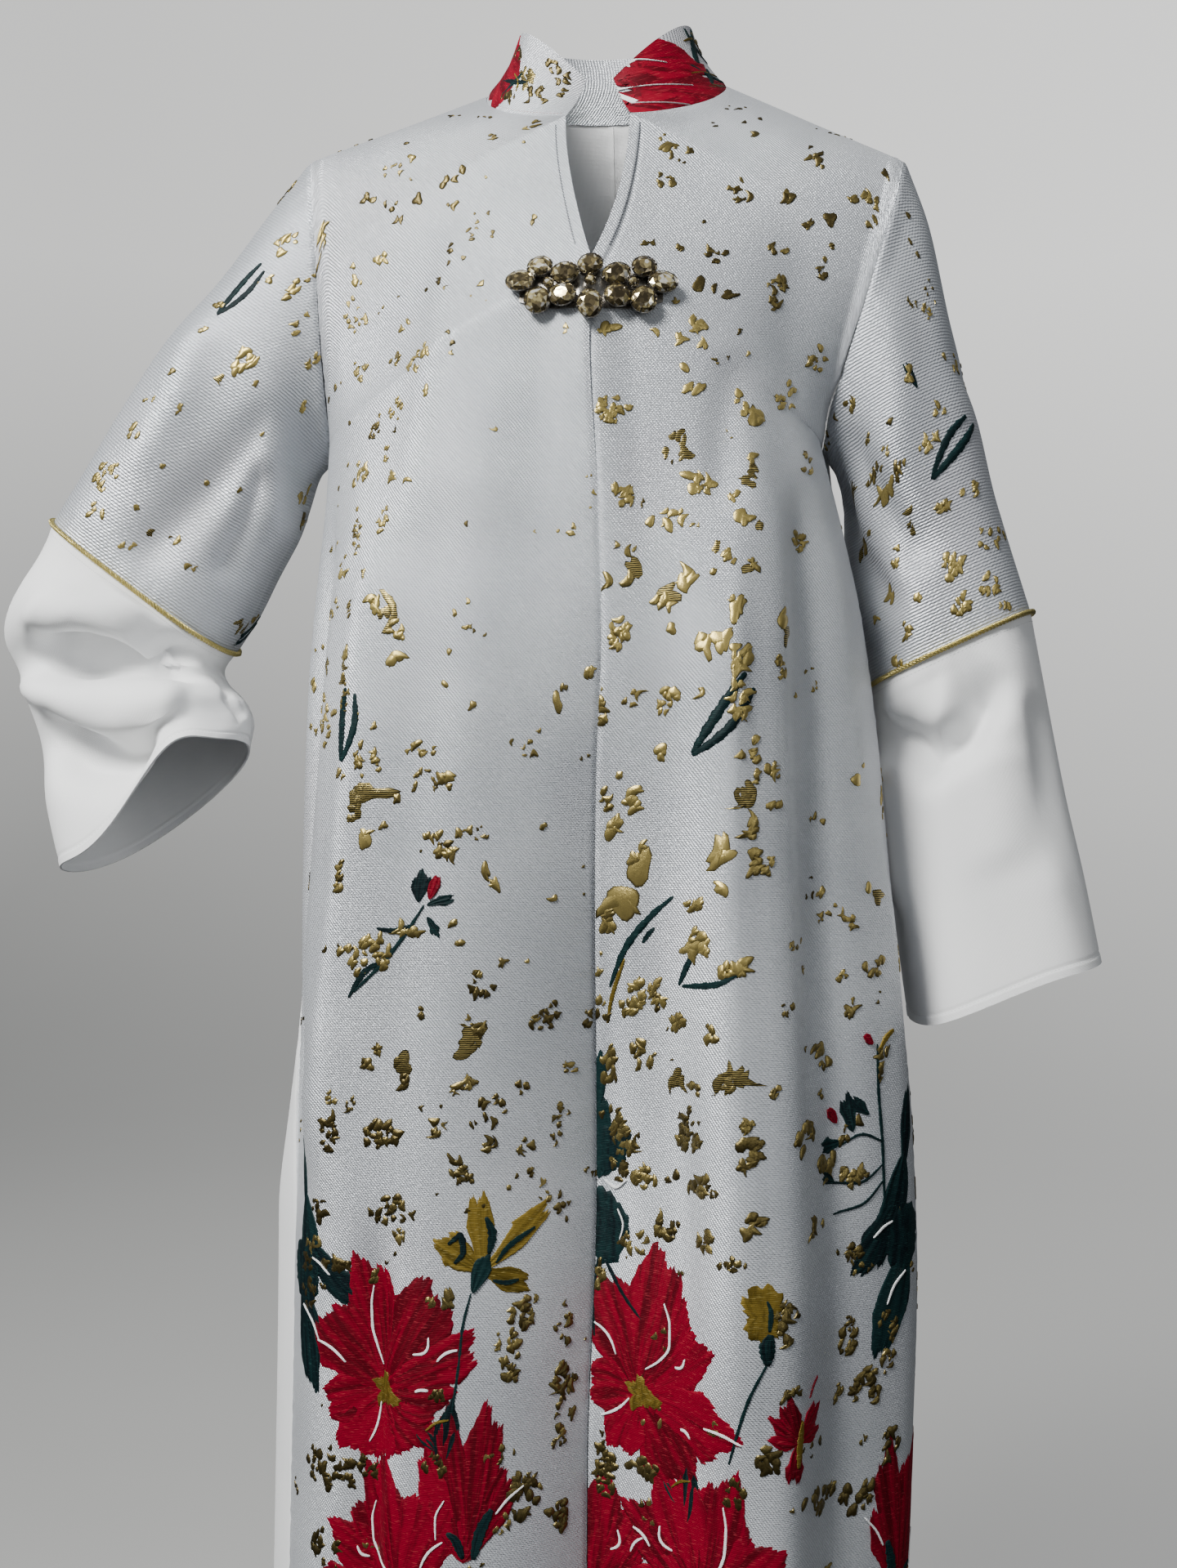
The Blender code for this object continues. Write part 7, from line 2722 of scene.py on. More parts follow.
FLECKS = {
    "front_right": """
    -107 -20 10 3 3 3.7 .9, -80 -14 10 5 3 3.7 .9, -165 3 2 2 1 5 .9, -179 12 16 4 2 5.6 .9,
    -133 30 3 4 1 4.3 .9, -127 48 2 3 1 7.4 .4, -141 56 10 6 6 3.7 .7, -72 33 7 5 4 4.3 .9,
    -102 73 7 5 3 6.2 .8, -89 64 7 5 3 6.8 .8, -157 78 10 4 4 5 .8, -139 85 8 3 4 3.7 .9,
    -121 84 3 3 1 8.7 .9, -95 89 6 5 3 5.6 .7, -134 100 5 7 2 4.3 .9, -71 114 13 16 9 3.7 .8,
    -92 134 5 9 4 3.7 .9, -83 143 5 4 2 3.7 .9, -98 154 13 5 3 5.6 .9, -68 162 2 2 1 5 .7,
    -39 113 2 4 2 4.3 .7, -45 27 8 9 5 5.6 .8, -188 93 6 8 3 5.6 .5, -192 102 10 3 4 3.7 .8,
    -142 124 9 7 5 5 .3, -165 132 7 9 4 5 .3, -166 161 10 12 13 3.7 .4,
    -125 179 5 6 2 5.6 .4, -113 205 11 10 11 5 .3, -132 197 6 6 6 3.7 .6,
    -164 199 6 8 9 4.3 .5, -193 208 14 3 5 3.7 .7, -103 231 2 2 1 6.2 .2,
    -129 238 6 9 11 3.7 .4, -147 245 6 11 10 3.7 .8, -174 237 3 2 1 3.7 .8,
    -137 266 4 8 6 3.7 .5, -158 276 10 7 5 5.6 .4, -130 284 3 2 2 5.6 .3,
    -114 288 2 2 1 5 .3, -58 260 2 2 1 3.7 .2, -14 193 5 9 3 3.7 .4, -133 312 4 11 9 4.3 .3,
    -155 315 4 17 14 3.7 .6, -206 320 13 8 3 7.4 -.8, -165 338 4 8 6 5 .3,
    -145 346 1 1 1 5 -.8, -171 365 10 6 8 3.7 .5, -155 366 2 7 6 3.7 .6,
    -256 353 6 13 3 5 .5, -135 364 4 6 4 7.4 .3, -122 371 5 3 1 13.6 -.9,
    -128 372 4 2 1 8.7 -.9, -120 384 7 7 6 5 .3, -122 399 3 4 2 8.7 .3,
    -229 385 6 2 2 4.3 .5, -181 401 7 4 2 8.7 -.8, -157 397 2 4 2 7.4 .4,
    -158 409 2 6 4 5.6 -.9, -234 409 3 3 2 5.6 .4, -178 437 12 16 14 5 .3,
    -156 422 4 16 14 3.7 .6, -138 442 5 5 3 4.3 .6, -145 464 3 14 10 4.3 .5,
    -135 467 3 8 5 5 .5, -236 444 6 7 4 4.3 .5, -158 473 3 4 3 5 .5,
    -137 485 4 4 1 18.6 -.9, -145 493 6 5 4 9.3 -.9, -149 501 4 7 5 5.6 -.9,
    -141 512 4 5 2 12.4 .2, -122 489 2 2 1 6.2 .6, -130 506 2 2 1 5.6 .6,
    -110 460 7 5 3 6.2 .5, -100 457 8 6 4 5 .5, -91 476 5 2 3 7.4 .5, -105 478 9 9 9 3.7 .7,
    -88 482 1 2 1 5 .6, -100 513 8 3 5 5.6 .5, -92 524 7 7 9 6.2 .6, -78 510 7 3 4 5 .6,
    -67 535 2 2 1 8.6 .5, -62 545 3 4 2 6.2 .4, -25 553 2 2 1 5.5 .6, -30 507 2 2 1 5 .7,
    -39 460 6 7 4 4.3 .6, -31 447 1 1 1 3.1 .6, -20 429 2 2 1 9.3 .5, -16 419 2 2 1 5 .7,
    0 409 3 4 3 7.4 .4, -72 431 2 2 1 5.6 .6, -90 418 2 2 1 5 .5, -87 398 2 2 1 4.3 .6,
    -74 384 3 2 2 3.7 .6, -83 374 2 2 1 4.3 .4, -74 367 2 2 1 3.7 .3, -11 324 2 2 1 5 .2,
    -206 532 14 24 9 7 .7, -160 537 3 11 6 6.2 .6, -145 587 16 13 22 6.2 .4,
    -118 574 7 6 6 7 .4, -83 646 8 7 3 13.3 -.8, -73 637 6 5 5 6.2 .6,
    -121 659 8 3 2 11.7 -.9, -124 670 3 4 3 7 .8, -86 579 4 4 3 5.5 .6,
    -60 594 3 3 2 5.5 .6, -88 568 2 2 1 6.2 .6, -140 705 12 8 24 6.2 .6,
    -101 699 6 6 6 6.2 .5, -69 687 9 9 8 5.5 .6, -176 706 6 13 14 6.2 .7,
    -221 660 10 27 8 5.5 .6, -136 753 15 9 18 6.2 .6, -91 726 9 9 8 6.2 .6,
    -51 720 10 14 8 5.5 .6, -27 701 6 16 5 4.7 .6, -51 812 10 13 14 6.2 .5,
    -23 826 6 14 8 5.5 .6, -200 805 8 19 18 6.2 .7, -175 792 10 5 8 7 .7,
    -103 806 9 5 8 7 .5, -58 845 7 13 14 6.2 .5, -22 872 7 23 20 6.2 .5,
    -191 923 14 15 24 6.2 .7, -165 923 14 9 22 6.2 .7, -49 929 9 13 18 7 .6,
    -26 948 7 14 14 6.2 .6, -106 910 8 8 10 6.2 .6, -190 975 13 11 16 6.2 .7,
    -90 673 4 4 4 6.2 .5, -49 673 5 6 3 4.7 .6, -109 626 4 5 3 5.5 .6, -24 754 6 10 5 5.5 .6,
    -154 797 6 4 5 6.2 .5, -71 709 5 5 4 6.2 .5, -151 659 8 6 5 5.5 .6, -77 605 5 7 3 5.5 .6,
    -42 632 3 5 2 4.7 .6,
    """,
    "front_left": """
    90 -19 10 5 8 3.1 .9, 96 13 2 3 1 4.3 .9, 106 6 2 3 1 4.3 .9, 103 31 2 3 1 7.4 .9,
    77 18 2 9 3 2.5 .9, 49 52 4 4 2 7.4 .6, 54 60 8 8 8 4.3 .8, 45 82 6 7 5 5.6 .7,
    90 89 10 6 7 4.3 .8, 100 90 1 1 1 6.8 .8, 94 78 2 2 1 3.7 .9, 126 91 4 6 4 6.2 .8,
    144 61 10 8 6 5 .7, 145 61 1 2 1 7.4 .6, 156 16 14 4 5 3.1 .9, 139 46 2 3 1 3.7 .9,
    176 88 9 5 8 6.2 .6, 192 63 6 3 2 5.6 .9, 138 111 5 6 4 5 .8, 152 105 2 2 1 9.9 .9,
    181 102 9 6 3 5.6 .6, 149 126 6 7 3 3.7 .8, 147 142 5 5 5 4.3 .8, 117 130 9 3 4 5 .7,
    70 113 1 1 1 3.1 .9, 37 133 6 3 3 4.3 .8, 56 132 2 3 2 5 .8, 75 137 6 7 6 5 .9,
    84 134 1 1 1 5 .9, 119 153 9 7 10 5 .7, 116 171 6 7 5 6.2 .7, 67 159 2 2 1 10.5 .9,
    77 160 1 1 1 5.6 .9, 87 163 2 2 1 8.7 .9, 53 173 4 2 2 5 .5, 63 189 9 5 6 8.1 .1,
    52 200 7 3 3 6.2 .1, 10 194 7 3 4 6.2 .1, 41 196 2 2 1 5.6 .1, 71 203 2 2 1 7.4 .1,
    59 220 1 2 1 6.8 .2, 66 233 5 2 2 7.4 .2, 93 188 3 2 3 2.5 .9, 150 197 7 10 7 5 .6,
    131 228 7 10 9 5.6 .3, 97 239 5 9 7 5.6 .2, 111 246 8 7 3 10.5 .3, 13 245 9 9 20 5 .3,
    25 244 2 3 2 6.2 .2, 52 263 5 3 2 9.3 -.9, 60 272 4 7 3 11.2 -.9, 48 274 2 2 1 6.2 -.8,
    67 295 10 7 8 7.4 .2, 101 275 5 5 3 6.8 .3, 101 289 3 10 4 8.1 -.9, 148 268 6 11 6 3.7 .7,
    149 280 7 5 3 5 .5, 22 300 8 7 12 5.6 .4, 91 302 5 4 5 6.2 .3, 48 315 12 6 7 6.8 .2,
    95 316 4 7 4 8.7 .2, 104 319 3 4 2 5.6 -.8, 144 328 7 12 9 5 .5, 28 335 5 3 2 5.6 .5,
    18 331 1 1 1 4.3 .5, 29 347 3 4 1 13.6 -.8, 24 352 3 3 2 6.8 .6, 13 353 2 3 1 8.7 .6,
    61 356 6 5 4 8.7 .3, 49 364 4 2 1 13.6 -.9, 44 371 9 6 6 5.6 .5, 78 336 1 1 1 6.8 -.8,
    85 343 5 5 6 5 .4, 98 349 2 2 1 8.1 -.9, 102 345 2 4 3 5 .5, 76 352 1 1 1 5 .4,
    92 376 4 4 2 11.8 .3, 86 370 2 2 2 5 .4, 19 385 6 9 16 5.6 .3, 51 385 1 1 1 7.4 .5,
    73 396 10 6 5 10.5 .2, 93 405 6 9 8 8.7 .2, 120 379 3 6 2 9.3 .4, 124 389 2 4 1 11.2 -.9,
    119 407 3 10 7 5 .6, 27 426 5 5 4 5.6 .5, 48 430 9 9 9 6.8 .3, 71 425 3 2 2 5 .4,
    93 429 6 13 12 7.4 .3, 44 459 5 4 3 7.4 .3, 8 433 2 9 6 5.6 .5, 152 409 6 2 2 3.1 .7,
    156 419 3 3 3 3.1 .7, 138 426 2 1 1 3.7 .6, 19 473 2 2 1 5.6 .4, 27 490 7 8 6 9.3 .3,
    15 505 5 7 5 8.7 .3, 10 487 3 8 6 5 .5, 32 522 7 6 3 8.6 .4, 33 532 2 2 1 20.3 .3,
    95 464 2 2 1 6.2 .5, 103 467 2 14 12 4.3 .5, 113 474 5 5 7 5 .6, 97 488 4 8 4 12.4 -.9,
    102 507 1 9 4 7.4 .4, 114 494 4 3 3 6.2 .5, 86 523 4 5 2 18.7 .2, 86 545 1 1 1 10.1 .3,
    104 527 2 9 8 6.2 .5, 112 532 3 6 4 7 .5, 185 479 2 2 1 9.3 .2, 193 469 2 1 1 3.7 .5,
    256 467 3 13 4 5 .5, 230 492 4 14 5 5.6 .5, 157 502 6 5 4 3.7 .6,
    201 553 2 2 1 10.9 -.9, 193 548 1 1 1 7 .4, 160 550 1 1 1 6.2 .5, 21 552 5 3 2 20.3 .3,
    69 555 6 3 6 7 .4, 10 569 4 15 10 7.8 .5, 40 611 13 7 16 7 .3, 28 621 9 5 10 7.8 .4,
    58 630 8 4 7 7 .4, 74 578 9 8 9 8.6 .3, 96 593 8 7 12 7 .3, 100 662 6 8 7 9.4 -.7,
    58 666 6 5 3 10.9 -.7, 10 661 6 15 12 7 .5, 35 653 11 10 8 6.2 .5,
    20 713 10 18 20 7.8 .5, 71 702 12 8 16 7 .5, 112 702 7 14 14 7 .5,
    37 732 11 6 12 7.8 .4, 84 730 13 8 16 7 .5, 118 751 5 9 6 6.2 .5, 157 655 12 9 6 7 .5,
    145 698 11 9 10 7 .4, 170 722 15 7 14 7 .4, 190 730 10 6 10 7 .4,
    159 754 10 7 5 6.2 .5, 198 597 8 6 5 6.2 .5, 182 622 4 4 4 6.2 .5, 207 659 5 14 8 6.2 .5,
    3 798 3 9 8 6.2 .5, 134 809 8 13 14 7 .5, 203 863 12 13 16 7 .5,
    189 831 6 11 8 6.2 .5, 162 922 23 8 18 7 .5, 122 887 6 9 8 7 .6, 8 921 7 18 24 7 .6,
    37 912 14 5 12 7 .6, 218 834 8 19 14 6.2 .5, 102 914 6 9 10 7 .6,
    138 848 7 7 6 6.2 .5, 198 929 12 10 14 7 .6, 223 897 7 14 10 6.2 .6,
    76 670 5 4 4 7 .5, 123 667 4 5 4 5.5 .5, 180 570 5 4 3 5.5 .5, 86 634 5 5 5 6.2 .5,
    125 617 6 6 3 4.7 .6, 54 760 8 6 8 7 .5, 91 764 8 6 8 7 .5, 23 775 6 6 6 7 .5,
    """,
    "sleeve_right": """
    -118 -285 19 14 8 5.6 .8, -120 -265 16 13 7 5.6 .5, -51 -251 8 12 8 6.8 .4,
    -14 -240 4 19 10 5.6 .5, -55 -196 8 6 4 5 .6, -50 -174 5 5 3 4.3 .5,
    -7 -172 9 8 9 7.4 .3, -14 -151 3 4 2 6.2 -.7, 14 -166 3 2 2 5 .5, 12 -217 5 12 5 5.6 .5,
    42 -203 3 18 8 5 .4, 65 -175 6 5 4 5 .4, -42 -136 3 3 2 5 .7, -47 -113 6 5 4 5 .4,
    -43 -88 6 5 5 5.6 .4, -47 -53 10 12 22 5 .4, -39 -28 7 6 8 5.6 .3, -14 -48 2 2 1 5 .5,
    -7 -23 6 5 4 5 .4, 19 -45 5 3 3 4.3 .6, 2 -39 2 2 1 5.6 -.9, 20 -90 2 2 1 4.3 .5,
    -11 -82 2 2 1 4.3 .5, 108 -130 10 11 8 5.6 .4, 39 -37 5 3 3 4.3 .6,
    104 -20 13 5 4 7.4 -.9, -22 -120 3 3 2 5 .5, 40 -141 2 2 1 4.3 .5,
    -40 -223 5 10 4 5 .5, 44 -100 2 2 1 4.3 .6,
    """,
    "sleeve_left": """
    67 -276 4 6 1 5 .9, 58 -254 4 9 3 3.7 .8, 30 -217 6 7 4 3.1 .8, 8 -177 3 6 3 7.4 .5,
    50 -210 10 11 6 4.3 .5, 55 -175 14 9 5 5 .5, -70 -179 13 4 7 5 .6,
    -19 -156 3 2 2 5 .8, -29 -137 3 6 4 5 .4, -46 -130 16 4 7 6.2 .6,
    -88 -130 11 3 2 9.3 -.9, -37 -114 9 3 3 10.5 .2, -18 -125 5 8 5 5 .6,
    -64 -95 9 6 4 8.1 .5, -80 -90 6 2 1 8.7 -.9, -30 -71 5 6 5 5.6 .4, -15 -86 4 8 4 7.4 -.9,
    -51 -50 12 4 3 9.3 .2, -62 -41 3 2 1 6.2 .4, -22 -38 4 5 3 6.8 .3, -36 -24 5 10 6 5 .5,
    -44 -6 6 3 3 6.8 .4, 13 -130 12 6 10 6.2 .2, 35 -89 11 5 7 5 .4, 8 -49 11 8 14 6.2 .3,
    6 -22 7 6 8 5.6 .4, 45 -59 19 11 8 5 .4, 29 -27 9 9 8 5.6 .3, 35 -9 5 5 5 5 .4,
    103 -167 16 16 5 5 .4, 27 -147 6 5 4 5 .4, 53 -232 9 12 4 3.7 .7,
    110 -209 11 8 3 3.7 .7, 8 -88 8 7 7 5 .5, -50 -152 9 4 4 4.3 .6,
    """,
    "collar": """
    10 -30 7 10 7 5.4 .8, 26 -18 9 8 9 5.4 .9, 38 -30 8 8 8 6.4 -.8, 52 -14 8 7 9 5 .9,
    22 -44 8 5 6 4.8 .8, 60 -42 8 6 6 4.8 .9, 268 -36 10 16 9 4.4 .7, 130 -30 20 18 12 4.4 .5,
    250 -30 18 18 12 4.4 .6, 180 -24 14 16 8 4.4 .6, 340 -6 6 4 4 4.4 .8
    """,
}


HEM_TURNING = 0.030
PRINT_SEEDS = {"front": 11, "sleeve": 31, "collar": 51}
FRONT_SOWINGS = (
    Sowing(105, (1.03, HEM_DROP)),
    Sowing(46, (0.56, 1.03), 4.8, 0.6, 1),
    Sowing(60, (0.02, 1.03), 2.8, 0.7, 2, 2),
)
SLEEVE_SOWING = Sowing(60, (-0.30, 0.0), 3.4, 0.6)
SLEEVE_SOWN = (-0.37, -0.10)


@dataclass
class Garment:
    """Every piece of cloth, as fine grids over the surfaces, with its relief and print."""

    front_rows: int = 9
    front_columns: int = 84
    back_rows: int = 6
    back_columns: int = 60
    ring_columns: int = 144
    tube_rows: int = 84
    collar_grid: tuple[int, int] = (193, 25)
    edge_share: float = 0.75
    band_width: float = 6.2
    cuff_band: tuple[float, float] = (5.6, 0.25)
    pit_rows: float = 6.5
    pit_rounds: int = 900
    side_rounds: int = 90
    valley_depth: float = 0.066
    valley_top: float = 0.34
    valley_ease: float = 0.42
    valley_widths: tuple[float, float] = (0.080, 0.068)
    fold_rim: float = 0.012
    roll_top: tuple[float, float] = (0.006, 0.065)
    roll_low: tuple[float, float] = (0.008, 0.036)
    fronts: dict[Side, Cloth] = field(default_factory=dict)

    def spread(self, count: int) -> Array:
        """Shares from 0 to 1 that lie closer together near both ends."""
        share = np.linspace(0, 1, count + 1)
        return share - self.edge_share * np.sin(2 * math.pi * share) / (2 * math.pi)

    def front(self, side: Side) -> Cloth:
        """A front.

        Args:
            side: Side of the garment.

        Returns:
            The piece.
        """
        rows = np.linspace(0, LAST_ROW, LAST_ROW * self.front_rows + 1)
        across, row = np.meshgrid(self.spread(self.front_columns), rows)
        points = BodyShape.front(side, across, row)
        self.calm_pit(points, across, row, 1, self.pit_rounds)
        inner = np.abs(points[..., 0] - points[:, :1, 0]) / self.valley_widths[side is Side.LEFT]
        inner = inner ** 2 if side is Side.LEFT else inner
        lower = ease((-points[..., 2] - self.valley_top) / self.valley_ease)
        points[..., 1] += self.valley_depth * lower * np.exp(-inner)
        return Cloth("front_" + side.value, points, side.sign, s_start=points[:, 0, 0],
                     s_sign=side.sign, t_end=HEM_DROP)

    def calm_pit(self, points: Array, across: Array, row: Array, axis: int,
                 rounds: int) -> None:
        """Smooths a piece along one axis level with its armpit, down its columns.

        Args:
            points: Points of the piece, changed in place.
            across: Shares of the way from the inner (0) to the outer edge (1).
            row: Rows, counted down from the shoulder line.
            axis: The axis.
            rounds: How often it is smoothed.
        """
        calm = points[..., axis].copy()
        for _ in range(rounds):
            calm[1:-1] = (calm[:-2] + 2 * calm[1:-1] + calm[2:]) / 4
        share = (bump(row - ARMHOLE_ROWS, self.pit_rows) * ease(across / 0.12)
                 * ease((1 - across) / 0.10))
        points[..., axis] += share * (calm - points[..., axis])

    def back(self, side: Side) -> Cloth:
        """Half of the back.

        Args:
            side: Side of the garment.

        Returns:
            The piece.
        """
        rows = np.linspace(0, LAST_ROW, LAST_ROW * self.back_rows + 1)
        across, row = np.meshgrid(self.spread(self.back_columns), rows)
        points = BodyShape.back_half(side, across, row)
        self.calm_pit(points, across, row, 0, self.side_rounds)
        self.calm_pit(points, across, row, 1, self.pit_rounds)
        return Cloth("back_" + side.value, points, -side.sign, s_start=points[:, 0, 0],
                     s_sign=side.sign, t_end=HEM_DROP)

    def tube(self, name: str, side: Side, surface: Callable[..., Array]) -> Cloth:
        """A sleeve or a cuff, whose own seam lies underneath.

        Args:
            name: Name of the piece.
            side: Side of the garment.
            surface: Surface of the piece.

        Returns:
            The piece.
        """
        turn = np.linspace(math.pi, 3 * math.pi, self.ring_columns + 1)
        turn, along = np.meshgrid(turn, self.spread(self.tube_rows))
        points = surface(side, turn, along)
        points[:, -1] = points[:, 0]
        return Cloth(f"{name}_{side.value}", points, -side.sign, True, s_sign=-side.sign)

    def collar(self) -> Cloth:
        """The stand collar.

        Returns:
            The piece.
        """
        columns, rows = self.collar_grid
        last = 2 * (NECK_ROWS + BACK_NECK_COLUMNS)
        column, height = np.meshgrid(np.linspace(0, last, columns), np.linspace(1, 0, rows))
        return Cloth("collar", collar_surface(column, height), -1, thickness=0.0018)

    def rest_at_shoulder(self, relief: Relief) -> None:
        """Calms a body piece's relief at the shoulder seam.

        Args:
            relief: The piece's relief.
        """
        row = np.linspace(0, LAST_ROW, relief.height.shape[0])[:, None]
        relief.height *= ease(row / 0.6 + 0.15)

    def sew_hem(self, cloth: Cloth, thread: Thread) -> None:
        """A row of stitches that holds the hem's turning.

        Args:
            cloth: The piece.
            thread: Its stitches.
        """
        edge = np.linspace(cloth.s[-1, 0], cloth.s[-1, -1], 200)
        thread.run(edge, np.full(200, HEM_DROP - HEM_TURNING), HEM_STITCH)

    def sew_edge(self, cloth: Cloth, thread: Thread, up: float, gap: float,
                 stitch: Stitch) -> None:
        """A row of stitches at a height over the last row, with a gap at both ends.

        Args:
            cloth: The piece.
            thread: Its stitches.
            up: Height over the last row.
            gap: Gap at both ends.
            stitch: Kind of stitch.
        """
        along = np.linspace(cloth.s.min() + gap, cloth.s.max() - gap, 300)
        thread.run(along, np.full(300, -up), stitch)

    def dress_front(self, side: Side) -> None:
        """A front, with seams, keyhole band, print and stitches.

        Args:
            side: Side of the garment.
        """
        cloth = self.front(side)
        self.fronts[side] = cloth
        relief = Relief(cloth)
        row = np.linspace(0, LAST_ROW, cloth.s.shape[0])[:, None]
        inner = np.abs(cloth.s - cloth.s[:, :1])
        keyhole = ease(row - NECK_ROWS) * ease((ARMHOLE_ROWS + 0.2 - row) / 0.2)
        relief.drags()
        relief.band(inner, self.band_width, 0.7, keyhole)
        relief.seam(np.where(row > ARMHOLE_ROWS, inner, 1.0), cloth.t, "centre_front")
        relief.seam(np.abs(cloth.s - cloth.s[:, -1:]), cloth.t, "side_front")
        relief.seam(np.abs(HEM_DROP - cloth.t - HEM_TURNING), cloth.s, "hem")
        self.rest_at_shoulder(relief)
        relief.apply()
        piece = cloth.build(Jacquard())
        design = Print(cloth, PRINT_SEEDS["front"] + side.sign)
        width = (cloth.s.min(), cloth.s.max())
        clusters = [table_rows(FLECKS[cloth.name])]
        clusters += [design.sow(sowing, width) for sowing in FRONT_SOWINGS]
        on_it = [design.flecks(np.concatenate(clusters), MetalThread())]
        on_it += design.motifs(MOTIFS[cloth.name], YARNS)
        thread = Thread(cloth)
        band = np.arange(NECK_ROWS * self.front_rows + 3, ARMHOLE_ROWS * self.front_rows - 4)
        away = cloth.s[band, 0] + side.sign * (self.band_width + 0.5) * MM
        thread.run(away, cloth.t[band, 4], KEYHOLE_STITCH)
        self.sew_hem(cloth, thread)
        on_it.append(thread.build(DARK_THREAD))
        cloth.declare(piece, "hung", ["collar", "back_" + side.value], on_it)

    def dress_back(self, side: Side) -> None:
        """Half of the back, with seams and stitches.

        Args:
            side: Side of the garment.
        """
        cloth = self.back(side)
        relief = Relief(cloth)
        relief.seam(np.abs(cloth.s - cloth.s[:, :1]), cloth.t, "centre_back")
        relief.seam(np.abs(cloth.s - cloth.s[:, -1:]), cloth.t, "side_back")
        self.rest_at_shoulder(relief)
        relief.apply()
        piece = cloth.build(PlainWhite())
        thread = Thread(cloth)
        self.sew_hem(cloth, thread)
        cloth.declare(piece, "hung", ["collar"], [thread.build(WHITE_THREAD)])

    def shape_tube(self, cloth: Cloth, is_cuff: bool) -> None:
        """Folds and seams of a sleeve or a cuff, and the band over a cuff's mouth.

        Args:
            cloth: The sleeve or the cuff.
            is_cuff: Whether it is a cuff.
        """
        relief = Relief(cloth)
        relief.drags()
        top = cloth.t - cloth.t[:1]
        relief.height *= ease(top / self.fold_rim) * ease(-cloth.t / self.fold_rim)
        relief.roll *= (ease((top - self.roll_top[0]) / self.roll_top[1])
                        * ease((-cloth.t - self.roll_low[0]) / self.roll_low[1]))
        if is_cuff:
            relief.seam(top, cloth.s, "cuff")
            relief.band(np.abs(cloth.t), *self.cuff_band, np.ones_like(cloth.t))
        else:
            relief.seam(top, cloth.s, "armhole")
            relief.seam(np.abs(cloth.t), cloth.s, "elbow")
        apart = np.minimum(cloth.s - cloth.s.min(axis=1, keepdims=True),
                           cloth.s.max(axis=1, keepdims=True) - cloth.s)
        relief.seam(apart, cloth.t, "underarm")
        relief.apply()

    def dress_arm(self, side: Side) -> None:
        """Sleeve, cuff and braid of one side.

        Args:
            side: Side of the garment.
        """
        sleeve = self.tube("sleeve", side, TubeShape.sleeve)
        cuff = self.tube("cuff", side, TubeShape.cuff)
        self.shape_tube(sleeve, False)
        self.shape_tube(cuff, True)
        piece = sleeve.build(Jacquard("jacquard_ribbed", grain=0.15, ribbed=True))
        design = Print(sleeve, PRINT_SEEDS["sleeve"] + side.sign)
        clusters = [table_rows(FLECKS[sleeve.name]), design.sow(SLEEVE_SOWING, SLEEVE_SOWN)]
        on_it = [design.flecks(np.concatenate(clusters), MetalThread())]
        on_it += design.motifs(MOTIFS[sleeve.name], YARNS)
        sleeve.declare(piece, "hung", ["front_" + side.value, "back_" + side.value], on_it)
        piece = cuff.build(PlainWhite())
        thread = Thread(cuff)
        self.sew_edge(cuff, thread, 0.0060, 0.004, CUFF_STITCH)
        thread.run(cuff.s[0, ::2], cuff.t[0, ::2] + 0.0062, CUFF_STITCH)
        braid = Rope(side).build(cuff, GoldBraid())
        cuff.declare(piece, "hung", ["sleeve_" + side.value],
                     [thread.build(WHITE_THREAD), braid])

    def dress_neck(self) -> None:
        """Collar and brooch."""
        cloth = self.collar()
        relief = Relief(cloth)
        relief.seam(np.abs(cloth.t), cloth.s, "neck")
        relief.apply()
        piece = cloth.build(Jacquard("collar_jacquard", slot="collar_print"))
        design = Print(cloth, PRINT_SEEDS["collar"])
        on_it = design.motifs(MOTIFS[cloth.name], YARNS)
        on_it.append(design.flecks(table_rows(FLECKS[cloth.name]), MetalThread()))
        thread = Thread(cloth)
        self.sew_edge(cloth, thread, 0.0030, 0.003, COLLAR_STITCH)
        on_it.append(thread.build(ROSE_THREAD))
        cloth.declare(piece, "hung", ["front_right", "front_left", "back_right", "back_left"],
                      on_it)
        brooch = Brooch(self.fronts)
        brooch.setting(DarkSilver())
        for stone in STONES:
            brooch.stone(stone, ChampagneGlass())


class Lamp(NamedTuple):
    """A soft rectangular light."""

    name: str
    place: tuple[float, float, float]
    size: tuple[float, float]
    power: float
    colour: tuple[float, float, float]


LAMP_AIM = (0.0, 0.0, -0.7)
LAMPS = (
    Lamp("window", (-1.45, -1.9, 1.7), (1.0, 1.0), 208, (1.0, 1.0, 0.98)),
    Lamp("left", (-2.4, -0.9, 0.0), (0.7, 1.4), 4, (0.97, 0.99, 1.0)),
    Lamp("right", (2.2, -2.0, 0.0), (0.8, 1.6), 11, (0.97, 0.99, 1.0)),
    Lamp("front", (0.5, -3.2, -0.2), (1.6, 1.6), 6, (0.98, 0.99, 1.0)),
)


